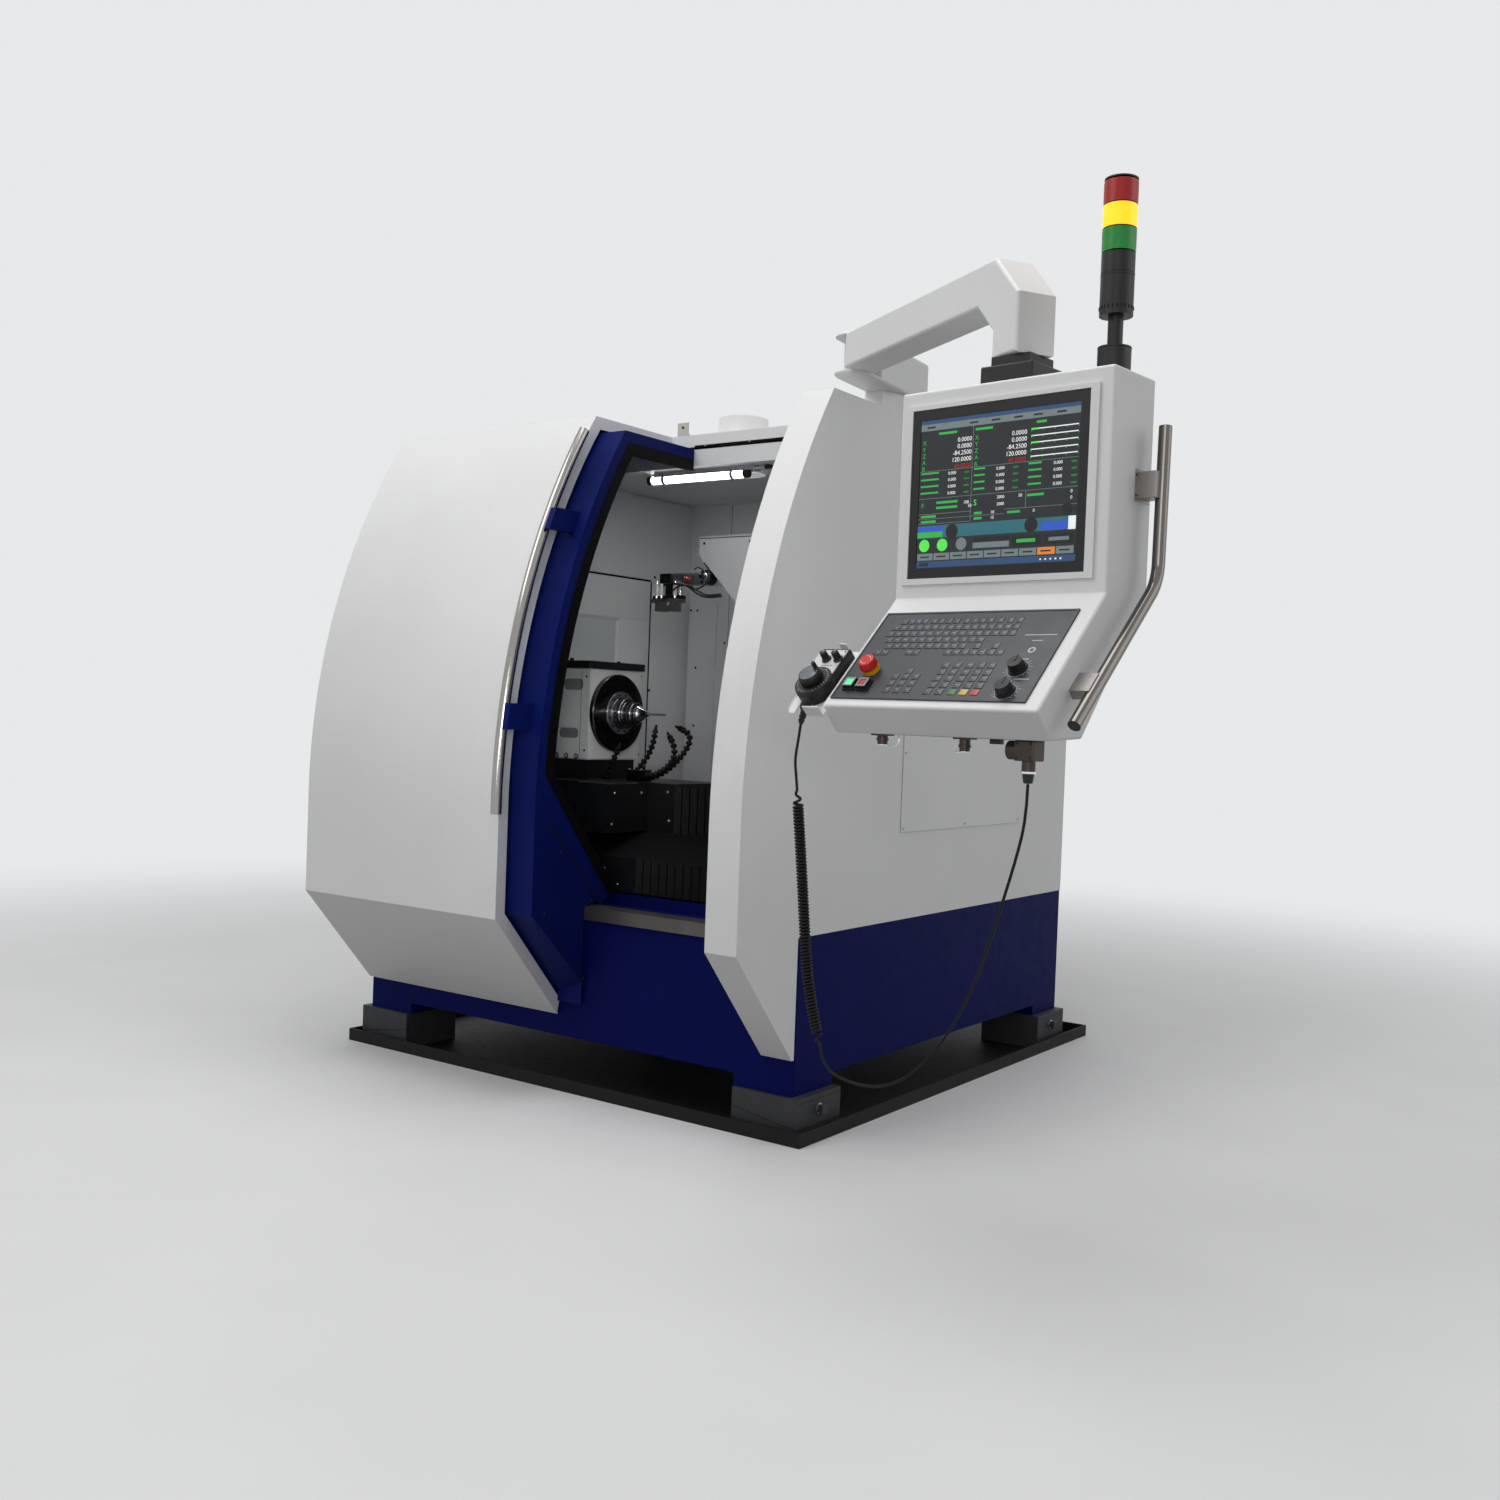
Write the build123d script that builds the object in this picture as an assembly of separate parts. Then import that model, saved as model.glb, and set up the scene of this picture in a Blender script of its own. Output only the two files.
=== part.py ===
from build123d import *
import math
import os

# An enclosed tool grinding machine with a swing arm that carries the operator panel.
# Millimetres. Origin on the floor at the middle of the base, +X right along the front,
# +Y into the machine, +Z up.

# Fits
RUNNING = 0.05
GAP = 0.3
SEAT = 0.5
OVERCUT = 1

# Base, and the planes that the rest is placed from
BASE_WIDTH = 1576
BASE_DEPTH = 1584
SIDE = BASE_WIDTH / 2
FRONT = -BASE_DEPTH / 2
BACK = BASE_DEPTH / 2
BASE_TOP = 506
BASE_UNDERSIDE = 142
BASE_PAD = 181
BASE_PAD_DROP = 33
BASE_EDGE = 8

# Drip tray and levelling mounts
TRAY_SIDE_REACH = 52
TRAY_WIDTH = BASE_WIDTH + 2 * TRAY_SIDE_REACH
TRAY_FRONT_REACH = 40
TRAY_FRONT = FRONT - TRAY_FRONT_REACH
TRAY_BACK_REACH = 148
TRAY_BACK = BACK + TRAY_BACK_REACH
TRAY_RIM = 36
TRAY_SHEET = 5
MOUNT_SIZE = 200
MOUNT_REACH = 24
MOUNT_SEAM_LOW = 32
MOUNT_SEAM_HIGH = 62
MOUNT_BOLT = 10

# Bed with two ways, and the upstand along the chamber's front
BED_TOP = 596
BED_SETBACK = 192
BED_FRONT = FRONT + BED_SETBACK
BED_DEPTH = 300
BED_BACK = BED_FRONT + BED_DEPTH
WAY_WIDTH = 45
WAY_HEIGHT = 24
WAY_INSET = 30
UPSTAND_SETBACK = 120
UPSTAND_FRONT = FRONT + UPSTAND_SETBACK
UPSTAND_TOP = 538
UPSTAND_SHEET = 6

# Cover profile, seen from the side: a skirt leaning out, an upright and an arc to the roof
SHEET = 3
COVER_FOOT_REACH = 9
COVER_FOOT_Y = FRONT - COVER_FOOT_REACH
COVER_FOOT_Z = 202
SKIRT_OVERHANG = 251
COVER_FRONT_Y = COVER_FOOT_Y - SKIRT_OVERHANG
COVER_KNEE_Z = 488
ARC_START_Z = 785
ARC_RADIUS = 1971
ROOF_TOP = 1874
HEADER_SETBACK = 665
HEADER_Y = COVER_FRONT_Y + HEADER_SETBACK
COVER_RETURN = 34
COLUMN_WIDTH = 93
HATCH_Y = (-306, 444)
HATCH_Z = (747, 1187)
HATCH_LAP = 20

# Door: drawn open, it slides to the right until it is shut against the column
DOOR_INSET = 43
DOOR_SHOWN = 90
SHUT_GAP = 5
DOOR_TRAVEL = SIDE - COLUMN_WIDTH - DOOR_SHOWN - SHUT_GAP
DOOR_LAP = 45
DOOR_WIDTH = DOOR_TRAVEL + DOOR_SHOWN + DOOR_LAP
DOOR_FLANGE = 30
DOOR_BACK_REACH = 12
DOOR_BACK_LOW = FRONT - DOOR_BACK_REACH
DOOR_BEAM_HIGH = 875
DOOR_BEAM_SETBACK = 80
DOOR_BEAM_END_Y = FRONT + DOOR_BEAM_SETBACK
DOOR_BEAM_END_Z = 540
DOOR_FACET_LEFT = 5
DOOR_FACET_HIGH = 302
DOOR_FOOT_GAP = 1
DOOR_REAR_GAP = 3
DOOR_REAR = HEADER_Y - DOOR_REAR_GAP
WINDOW_LOW = 930
WINDOW_HIGH = 1500
WINDOW_SIDE = 110
WINDOW_LAP = 18
WINDOW_CORNER = 36
WINDOW_GLASS = 6
SEAL_WIDTH = 35
SEAL_THICKNESS = 8
HANDLE_TUBE = 14.5
HANDLE_X = 20
HANDLE_STANDOFF = 30
HANDLE_LOW = 770
HANDLE_HIGH = 1820
BRACKET_HEIGHTS = ((992, 1061), (1529, 1588))
BRACKET_THICKNESS = 20
HANGER_TONGUE = 3
HANGER_WIDTH = 60
RAIL_SETBACK = 47
RAIL_Y = HEADER_Y + RAIL_SETBACK
RAIL_WIDTH = 20
RAIL_HEIGHT = 18
GUIDE_BAR = 8
GUIDE_BAR_Z = 308

# Sill
SILL_FRONT = COVER_FOOT_Y
SILL_LOW = 475
SILL_TOP = 511
SILL_DEPTH = 62

# Work chamber
CHAMBER_LEFT_MARGIN = 358
CHAMBER_LEFT = -SIDE + CHAMBER_LEFT_MARGIN
CHAMBER_BACK_MARGIN = 524
CHAMBER_BACK = BACK - CHAMBER_BACK_MARGIN
CEILING_DEPTH = 94
CHAMBER_CEILING = ROOF_TOP - CEILING_DEPTH
CHAMBER_FLOOR = 520
CHAMBER_SETBACK = 152
CHAMBER_FRONT = FRONT + CHAMBER_SETBACK
LINER = 2
LINER_GAP = 1
CHAMBER_RIGHT = SIDE - COLUMN_WIDTH - LINER_GAP
HEADER_LOW_DEPTH = 44
HEADER_LOW = ROOF_TOP - HEADER_LOW_DEPTH
HEADER_HIGH_DEPTH = 36
HEADER_HIGH = ROOF_TOP - HEADER_HIGH_DEPTH
LAMP_LEFT = -93
LAMP_RIGHT = 282
LAMP_SETBACK = 52
LAMP_Y = HEADER_Y + LAMP_SETBACK
LAMP_BODY_HEIGHT = 14
LAMP_BODY_WIDTH = 34
LAMP_TUBE = 13
LAMP_OVERHANG = 30

# Roof fittings
SPIGOT_X = 143
SPIGOT_SETBACK = 167
SPIGOT_Y = HEADER_Y + SPIGOT_SETBACK
SPIGOT_RADIUS = 75
SPIGOT_HEIGHT = 70
SPIGOT_FLANGE = 99
INTERLOCK_X = 40
INTERLOCK_HEIGHT = 40
INTERLOCK_BOLT_SETBACK = 24
INTERLOCK_BOLT = 6
INTERLOCK_BOLT_HEIGHT = 9

# Work carriage: a stepped cover that carries the headstock
CARRIAGE_MARGIN = 90
CARRIAGE_LEFT = CHAMBER_LEFT + CARRIAGE_MARGIN
CARRIAGE_LENGTH = 488
CARRIAGE_RIGHT = CARRIAGE_LEFT + CARRIAGE_LENGTH
CARRIAGE_TOP = 845
CARRIAGE_STEP_SETBACK = 104
CARRIAGE_STEP_Y = BED_FRONT + CARRIAGE_STEP_SETBACK
CARRIAGE_STEP_Z = 703
CARRIAGE_FRONT_REACH = 60
CARRIAGE_FRONT_Y = BED_FRONT - CARRIAGE_FRONT_REACH
CARRIAGE_SLOPE_LOW = 640
CARRIAGE_SKIRT_LOW = 542
CARRIAGE_BACK_REACH = 50
CARRIAGE_BACK_Y = BED_BACK + CARRIAGE_BACK_REACH
CARRIAGE_WALL = 4
SADDLE_THICKNESS = 22
RISER_TOP = 902
RISER_OVERHANG = 55
RISER_FRONT = CARRIAGE_STEP_Y - RISER_OVERHANG
RISER_DEPTH = 166
RISER_BACK = CARRIAGE_STEP_Y + RISER_DEPTH
BELLOWS_PITCH = 14
BELLOWS_FOLD = 12
BELLOWS_SHEET = 2.5

# Headstock and work spindle, axis along X
SPINDLE_SETBACK = 166
SPINDLE_Y = BED_FRONT + SPINDLE_SETBACK
SPINDLE_Z = 1044
HEAD_LENGTH = 197
HEAD_RIGHT = CARRIAGE_LEFT + HEAD_LENGTH
HEAD_FRONT_DEPTH = 117
HEAD_FRONT = SPINDLE_Y - HEAD_FRONT_DEPTH
HEAD_BACK_DEPTH = 118
HEAD_BACK = SPINDLE_Y + HEAD_BACK_DEPTH
HEAD_TOP = 1175
HEAD_EDGE = 5
HEAD_POCKETS = ((83, 169, 1109, 1143), (69, 156, 965, 995))
POCKET_CORNER = 13
POCKET_DEPTH = 12
TOP_PLATE_STEP = 105
TOP_PLATE = 22
TOP_PLATE_LOWER = 16
TOP_PLATE_OVERHANG = 15
TOP_PLATE_EDGE = 2
TOP_SCREW_HEIGHT = 8
TOP_SCREW = 6
SPINDLE_DISC = 117
SPINDLE_DISC_THICKNESS = 15
SPINDLE_DISC_EDGE = 3
SPINDLE_SHAFT = 60
SPINDLE_SHAFT_LENGTH = 150
SPINDLE_BOLT_COUNT = 12
SPINDLE_BOLT_CIRCLE = 97
SPINDLE_BOLT_HEAD = 7
SPINDLE_BOLT_SINK = 4
NOSE_FLANGE = 67
NOSE_FLANGE_DEPTH = 11
NOSE_FLANGE_EDGE = 2
NOSE_BODY = 47
NOSE_BODY_FILLET = 8
NOSE_BODY_START = 16
NOSE_BODY_END = 30
NOSE_SHOULDER = 5
NOSE_COLLET = 31
NOSE_COLLET_START = 50
NOSE_COLLET_END = 78
NOSE_COLLET_EDGE = 5
NOSE_TIP = 9
NOSE_LENGTH = 134
NOSE_TIP_X = HEAD_RIGHT + NOSE_LENGTH
TOOL_RADIUS = 3
TOOL_LENGTH = 63
TOOL_TIP_X = NOSE_TIP_X + TOOL_LENGTH
TOOL_DEPTH = 40

# Coolant hoses on the carriage, measured from the headstock's end, the spindle's axis and the cover
HOSE_RADIUS = 6.5
MANIFOLD_DISTANCE = 101
MANIFOLD_LEFT = HEAD_RIGHT + MANIFOLD_DISTANCE
MANIFOLD_LENGTH = 54
MANIFOLD_RIGHT = MANIFOLD_LEFT + MANIFOLD_LENGTH
MANIFOLD_REACH = 56
MANIFOLD_FRONT = SPINDLE_Y - MANIFOLD_REACH
MANIFOLD_DEPTH = 52
MANIFOLD_BACK = MANIFOLD_FRONT + MANIFOLD_DEPTH
MANIFOLD_HEIGHT = 34
MANIFOLD_EDGE = 2
HOSE_NOZZLE = 16
HOSE_ROUTES = (
    ((19, -54, 0), (19, -54, 13), (7, -54, 41), (17, -54, 70), (38, -52, 100)),
    ((109, -36, 34), (123, -36, 48), (151, -32, 69), (170, -27, 100), (180, -22, 136)),
    ((155, -46, 16), (197, -48, 15), (242, -48, 31), (264, -46, 61), (260, -40, 92), (243, -32, 121)),
    ((155, -16, 13), (209, -16, 14), (262, -16, 43), (295, -14, 85), (308, -11, 122), (291, -9, 155)))
BEND_RATIO = 0.45

# Loader in the upper part of the chamber, in the spindle's plane
LOADER_REACH = 2
LOADER_FRONT = SPINDLE_Y - LOADER_REACH
LOADER_DEPTH = 100
LOADER_LENGTH = 536
LOADER_LEFT = CHAMBER_RIGHT - LOADER_LENGTH
LOADER_TOP = 1564
LOADER_NOTCH_Z = 1512
LOADER_NOTCH_LENGTH = 140
LOADER_NOTCH_X = LOADER_LEFT + LOADER_NOTCH_LENGTH
LOADER_BOTTOM = 1371
LOADER_HUB_MARGIN = 23
LOADER_HUB_X = LOADER_LEFT + LOADER_HUB_MARGIN
LOADER_HUB_Z = 1448
LOADER_ARM_LENGTH = 168
LOADER_ARM_LEFT = LOADER_HUB_X - LOADER_ARM_LENGTH
LOADER_ARM_LOW = 1425
LOADER_ARM_HIGH = 1463
LOADER_ARM_THICKNESS = 34
LOADER_SHAFT = 10
LOADER_HUB = 22
LOADER_PLATE = 16
LOADER_KNOB = 8
LOADER_KNOB_DISTANCE = 73
LOADER_KNOB_X = LOADER_HUB_X - LOADER_KNOB_DISTANCE
GRIPPER_DISTANCE = 195
GRIPPER_WIDTH = 102
GRIPPER_LEFT = LOADER_HUB_X - GRIPPER_DISTANCE
GRIPPER_RIGHT = GRIPPER_LEFT + GRIPPER_WIDTH
GRIPPER_STEP = 4
JAW_TOP = 1388
JAW_LOW = 1350
JAW_FOOT = 12
JAW_FINGER = 24
JAW_NOTCH = 8
JAW_GAP = 22

# Wheel side, hidden at the right
WHEEL_COLUMN_MARGIN = 34
COLUMN_RIGHT = CHAMBER_RIGHT - WHEEL_COLUMN_MARGIN
WHEEL_COLUMN_WIDTH = 280
COLUMN_LEFT = COLUMN_RIGHT - WHEEL_COLUMN_WIDTH
COLUMN_TOP = 1500
WHEEL_X = (COLUMN_LEFT + COLUMN_RIGHT) / 2
WHEEL_AXIS_Z = SPINDLE_Z
WHEEL_HEAD_RADIUS = 80
WHEEL_HEAD_SETBACK = 64
WHEEL_HEAD_FRONT = SPINDLE_Y + WHEEL_HEAD_SETBACK
WHEEL_PLATE = 40
WHEEL_SLIDE_HEIGHT = 320
WHEEL_SHAFT = 25
WHEEL_PACK = ((150, 16), (40, 10), (125, 14), (40, 10), (100, 20))

# Swing arm
ARM_BASE_MARGIN = 46
ARM_BASE_X = SIDE - ARM_BASE_MARGIN
ARM_BASE_SETBACK = 119
ARM_BASE_Y = HEADER_Y + ARM_BASE_SETBACK
MOUNT_BLOCK = 52
MOUNT_WIDTH = 95
MOUNT_LEFT = SIDE - SHEET - MOUNT_WIDTH
MOUNT_RIGHT = SIDE - SHEET
MOUNT_FRONT_REACH = 182
MOUNT_FRONT = ARM_BASE_Y - MOUNT_FRONT_REACH
MOUNT_BACK_REACH = 78
MOUNT_BACK = ARM_BASE_Y + MOUNT_BACK_REACH
MOUNT_TAPER = 50
MOUNT_NOSE = 20
MOUNT_FLOOR = 6
ELBOW_OFFSET = 26
ELBOW_X = ARM_BASE_X + ELBOW_OFFSET
ELBOW_REACH = 338
ELBOW_Y = ARM_BASE_Y - ELBOW_REACH
ARM_LOW = ROOF_TOP + MOUNT_BLOCK
ARM_HEIGHT = 108
ARM_HIGH = ARM_LOW + ARM_HEIGHT
ARM_WIDTH = 97
ARM_EDGE = 8
LUG_THICKNESS = 8
ELBOW_CLEAR = 66
PIN_RADIUS = 12
HUB_RADIUS = 25
UPPER_START = 42
LEG_OFFSET = 661
LEG_X = ELBOW_X + LEG_OFFSET
LEG_REACH = 398
LEG_Y = ELBOW_Y - LEG_REACH
ARM_APEX_BACK = 44
ARM_SHOULDER_HEIGHT = 90
LEG_HALF = 46
LEG_DEPTH = 114
LEG_FOOT_Z = ARM_LOW - LEG_DEPTH
INNER_MITRE = 62
SWIVEL_SPIGOT = 20
SWIVEL_SPIGOT_LENGTH = 40

# Panel, in its own frame: r to the right, n towards the operator, z up
PANEL_OFFSET = 2
PANEL_X = LEG_X + PANEL_OFFSET
PANEL_REACH = 89
PANEL_Y = LEG_Y - PANEL_REACH
PANEL_ANGLE = -6.5
PANEL_HALF = 251
PANEL_TOP = 1750
PANEL_KNEE = 1312
PANEL_BACK = 166
CONSOLE_REACH = 235
CONSOLE_Z = 1078
PANEL_HEEL_REACH = 187
PANEL_HEEL_Z = 1024
PANEL_BELLY_REACH = 68
PANEL_BELLY_Z = 1030
PANEL_EDGE = 6
SWIVEL_NECK_TOP = LEG_FOOT_Z - SEAT
SWIVEL_HEIGHT = 40
SWIVEL_NECK_LOW = PANEL_TOP + SWIVEL_HEIGHT
SWIVEL_BASE = 62
SWIVEL_EDGE = 4
SCREEN_FRAME = (-232, 222, 1341, 1718)
BEZEL_FIELD = (-216, 203, 1354, 1708)
SCREEN_FIELD = (-196, 182, 1376, 1686)
FRAME_RISE = 6
BEZEL_RISE = 4
SCREEN_RISE = 2.5
KEYBOARD_FIELD = (-238, 218, 50, 312)
KEYBOARD_RISE = 4
KEYBOARD_RIM = 4
KEYBOARD_SINK = 1
STOP_HEAD = (-180, 229)
START_KEY = (-205, 275)
HALT_KEY = (-171, 276)
FEED_KNOB = (161, 222)
SPEED_KNOB = (163, 284)
STOP_RADIUS = 20
STOP_EDGE = 3
STOP_TRAVEL = 5
KEY_SIZE = 22
KEY_TRAVEL = 3
KEY_HEIGHT = 7
KEY_EDGE = 1.5
STOP_HEIGHT = 16
COLLAR_HEIGHT = 8
COLLAR_RADIUS = 19
KNOB_RADIUS = 20
KNOB_HEIGHT = 20
KNOB_SKIRT = 4
KNOB_GRIP = 17
KNOB_DRAFT = 2
POINTER_HALF = 1.5
STEM_RADIUS = 7
STEM_DEPTH = 22
KNOB_SHAFT = 4
GRIP_R = 292
GRIP_TUBE = 13
GRIP_BEND = 70
GRIP_PATH = ((-133, 1648), (-128, 1343), (173, 1054))
GRIP_BRACKETS = ((-131, 1537), (60, 1163))
GRIP_BRACKET_HALF = 22
GRIP_BRACKET_EDGE = 2
CONNECTOR_R = 187
CONNECTOR_REACH = 150
CONNECTOR_LOW = 985
CONNECTOR_HALF = 21
CONNECTOR_EDGE = 3
CONNECTOR_NUT = 13
CONNECTOR_GLAND = 10
GLAND_LOW = 944
GLAND_WALL = 2
CORD_RADIUS = 3
COIL_RADIUS = 12.5

# Signal tower, on the panel's top
TOWER_R = 200
TOWER_SETBACK = 85
TOWER_RADIUS = 33
TOWER_FOOT_HEIGHT = 54
TOWER_FOOT_TOP = PANEL_TOP + TOWER_FOOT_HEIGHT
TOWER_POLE = 15
TOWER_POLE_HEIGHT = 61
TOWER_BODY_LOW = TOWER_FOOT_TOP + TOWER_POLE_HEIGHT
TOWER_BODY_HEIGHT = 122
TOWER_BODY_HIGH = TOWER_BODY_LOW + TOWER_BODY_HEIGHT
LENS_HEIGHT = 44
LENS_GAP = 3
LENS_WALL = 3

# Pendant, in the console's frame: r to the right, s down the slope, lift off it
PENDANT_R = -295
PENDANT_HALF = 40
PENDANT_TOP_S = 165
PENDANT_DIAL_S = 279
PENDANT_DISC = 44
PENDANT_LOW = -14
PENDANT_HIGH = 18
PENDANT_CORNER = 8
PENDANT_EDGE = 3
SELECTOR_RADIUS = 9
SELECTOR_SETBACK = 20
DIAL_RADIUS = 31
DIAL_HEIGHT = 12
CRANK_RADIUS = 6
CRANK_HEIGHT = 17
CRANK_INSET = 8
HOLDER_SHEET = 2.5
HOLDER_MARGIN = 6
HOLDER_HEAD_REACH = 12
HOLDER_HEAD_S = PENDANT_TOP_S - HOLDER_HEAD_REACH
HOLDER_FOOT_S = 345
HOLDER_NOTCH = (-360, -288, 294, 360)
RELIEF_LENGTH = 26
RELIEF_ROOT = 11
RELIEF_BEND = 8

# Pendant cord in the panel's frame, as (r, -n, z): upper end, coil and lower end
CORD_TOP = ((-328, -205, 1040), (-333, -205.5, 1003), (-340, -206, 963), (-335.5, -205, 930),
            (-333, -204, 904))
COIL_PATH = ((-333, -204, 904), (-321.75, -199.5, 787), (-309, -197, 660), (-287.5, -199, 482.5),
             (-256, -190, 370))
CORD_BOTTOM = ((-256, -190, 370), (-249, -188, 345), (-232, -183, 322), (-190, -174, 309), (-140, -165, 307),
               (-88, -159, 322), (-38, -155, 358), (15, -151, 418), (60, -150, 492), (96, -150, 572),
               (121, -150, 645), (145, -150, 722), (170, -150, 806), (187, -150, 880), (187, -150, 944))


def block(x, y, z, edge=0):
    """Box between two values on each axis, with its edges rounded by edge."""
    centre = Pos((x[0] + x[1]) / 2, (y[0] + y[1]) / 2, (z[0] + z[1]) / 2)
    shape = centre * Box(x[1] - x[0], y[1] - y[0], z[1] - z[0])
    return fillet(shape.edges(), edge) if edge else shape


def rod(start, end, radius, end_radius=None):
    """Round bar between two points, tapered where a second radius is given."""
    way = Vector(*end) - Vector(*start)
    low = (Align.CENTER, Align.CENTER, Align.MIN)
    if end_radius is None:
        shape = Cylinder(radius, way.length, align=low)
    else:
        shape = Cone(radius, end_radius, way.length, align=low)
    return Plane(origin=start, z_dir=way) * shape


def along_y(face, front, back):
    """Solid of a face drawn as (x, z), from a front depth to a back one."""
    return extrude(Plane.XZ.offset(-back) * face, back - front)


def across(face, left, right):
    """Solid of a face drawn as (y, z), from one X to another."""
    return extrude(Plane.YZ.offset(left) * face, right - left)


def polygon(points):
    """Face inside a closed run of straight lines."""
    return make_face(Polyline(*points, close=True))


# Cover profile

SKIRT_RUN = COVER_FRONT_Y - COVER_FOOT_Y
SKIRT_RISE = COVER_KNEE_Z - COVER_FOOT_Z
SKIRT_LENGTH = math.hypot(SKIRT_RUN, SKIRT_RISE)
ARC_CENTRE_Y = COVER_FRONT_Y + ARC_RADIUS


def skirt_y(height, inset):
    """Depth of the leaning skirt at a height."""
    shift = inset * SKIRT_LENGTH / SKIRT_RISE
    return COVER_FOOT_Y + shift + (height - COVER_FOOT_Z) * SKIRT_RUN / SKIRT_RISE


def skirt_height(depth, inset):
    """Height at which the leaning skirt is at a depth."""
    return COVER_FOOT_Z + (depth - skirt_y(COVER_FOOT_Z, inset)) * SKIRT_RISE / SKIRT_RUN


def knee_height(inset):
    """Height at which the skirt meets the upright."""
    return skirt_height(COVER_FRONT_Y + inset, inset)


def front_y(height, inset):
    """Depth of the cover's front at a height, moved inwards by inset."""
    if height >= ARC_START_Z:
        reach = ARC_RADIUS - inset
        return ARC_CENTRE_Y - math.sqrt(reach ** 2 - (height - ARC_START_Z) ** 2)
    if height >= knee_height(inset):
        return COVER_FRONT_Y + inset
    return skirt_y(height, inset)


def front_line(inset, low, high):
    """Edges of the cover's front from one height to another, moved inwards by inset."""
    bends = [z for z in (knee_height(inset), ARC_START_Z) if low < z < high]
    stops = [low] + bends + [high]
    edges = []
    for start, end in zip(stops, stops[1:]):
        first = (front_y(start, inset), start)
        last = (front_y(end, inset), end)
        if start >= ARC_START_Z:
            middle = (start + end) / 2
            edges.append(ThreePointArc(first, (front_y(middle, inset), middle), last))
        else:
            edges.append(Line(first, last))
    return edges


def hood_line(inset, low, rear):
    """Edges of the front and the roof, from a height up and back to a depth."""
    top = ROOF_TOP - inset
    edges = front_line(inset, low, top)
    return edges + [Line((front_y(top, inset), top), (rear, top))]


def band(outer, inner):
    """Face between two open runs of edges, closed straight across at both ends."""
    ends = [Line(outer[0] @ 0, inner[0] @ 0), Line(outer[-1] @ 1, inner[-1] @ 1)]
    return make_face(outer + inner + ends)


def hood(outer, inner, low, rear):
    """Face of the front and roof between two insets."""
    return band(hood_line(outer, low, rear), hood_line(inner, low, rear))


# Tray, mounts and base

def drip_tray():
    half = TRAY_WIDTH / 2
    outer = block((-half, half), (TRAY_FRONT, TRAY_BACK), (0, TRAY_RIM))
    inner = block((-half + TRAY_SHEET, half - TRAY_SHEET),
                  (TRAY_FRONT + TRAY_SHEET, TRAY_BACK - TRAY_SHEET), (TRAY_SHEET, 2 * TRAY_RIM))
    return outer - inner


PAD_Z = BASE_UNDERSIDE - BASE_PAD_DROP


def wedge_mount(side, end):
    """Two-part levelling wedge under one corner, with its bolt on the outer side."""
    outer = SIDE + MOUNT_REACH
    inner = outer - MOUNT_SIZE
    front = BACK + MOUNT_REACH / 2
    depth = (front - MOUNT_SIZE, front)
    lower = polygon([(inner, TRAY_SHEET), (outer, TRAY_SHEET), (outer, MOUNT_SEAM_LOW),
                     (inner, MOUNT_SEAM_HIGH)])
    upper = polygon([(inner, MOUNT_SEAM_HIGH), (outer, MOUNT_SEAM_LOW), (outer, PAD_Z), (inner, PAD_Z)])
    parts = [along_y(face, *depth) for face in (lower, upper)]
    middle = sum(depth) / 2
    bolt_z = (MOUNT_SEAM_LOW + PAD_Z) / 2
    parts.append(rod((outer, middle, bolt_z), (outer + MOUNT_BOLT, middle, bolt_z), MOUNT_BOLT))
    turned = [mirror(part, Plane.YZ) if side < 0 else part for part in parts]
    return [mirror(part, Plane.XZ) if end < 0 else part for part in turned]


def wedge_mounts():
    corners = [(side, end) for side in (-1, 1) for end in (-1, 1)]
    return Compound([part for side, end in corners for part in wedge_mount(side, end)])


def base_frame():
    """Base casting with four pads, the bed with two ways, and the chamber's upstand."""
    shape = block((-SIDE, SIDE), (FRONT, BACK), (BASE_UNDERSIDE, BASE_TOP))
    for side in (-1, 1):
        for end in (-1, 1):
            pad_x = sorted((side * SIDE, side * (SIDE - BASE_PAD)))
            pad_y = sorted((end * BACK, end * (BACK - BASE_PAD)))
            shape += block(pad_x, pad_y, (PAD_Z, BASE_UNDERSIDE))
    corners = [edge for edge in shape.edges().filter_by(Axis.Z)
               if abs(edge.center().X) > SIDE - OVERCUT and abs(edge.center().Y) > BACK - OVERCUT]
    shape = fillet(corners, BASE_EDGE)
    bed = (CHAMBER_LEFT, CHAMBER_RIGHT - LINER)
    shape += block(bed, (BED_FRONT, BED_BACK), (BASE_TOP, BED_TOP))
    for way in (BED_FRONT + WAY_INSET, BED_BACK - WAY_INSET - WAY_WIDTH):
        shape += block(bed, (way, way + WAY_WIDTH), (BED_TOP, BED_TOP + WAY_HEIGHT))
    return shape + block(bed, (UPSTAND_FRONT, UPSTAND_FRONT + UPSTAND_SHEET), (BASE_TOP, UPSTAND_TOP))


def sill_strip():
    """Folded steel strip over the base's front edge below the door opening."""
    left = -SIDE + SHEET
    right = SIDE - COLUMN_WIDTH
    front = block((left, right), (SILL_FRONT, FRONT), (SILL_LOW, SILL_TOP))
    return front + block((left, right), (SILL_FRONT, SILL_FRONT + SILL_DEPTH), (BASE_TOP, SILL_TOP))


# Enclosure

def side_sheet(left, right):
    """Side wall with the cover's profile at its front, standing on the base."""
    top = ROOF_TOP - SHEET
    start = front_y(top, 0)
    edges = front_line(0, COVER_FOOT_Z, top)
    corners = [(start, top), (BACK, top), (BACK, BASE_TOP), (FRONT - GAP, BASE_TOP),
               (FRONT - GAP, COVER_FOOT_Z), (COVER_FOOT_Y, COVER_FOOT_Z)]
    edges += [Line(first, last) for first, last in zip(corners, corners[1:])]
    return across(make_face(edges), left, right)


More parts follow.
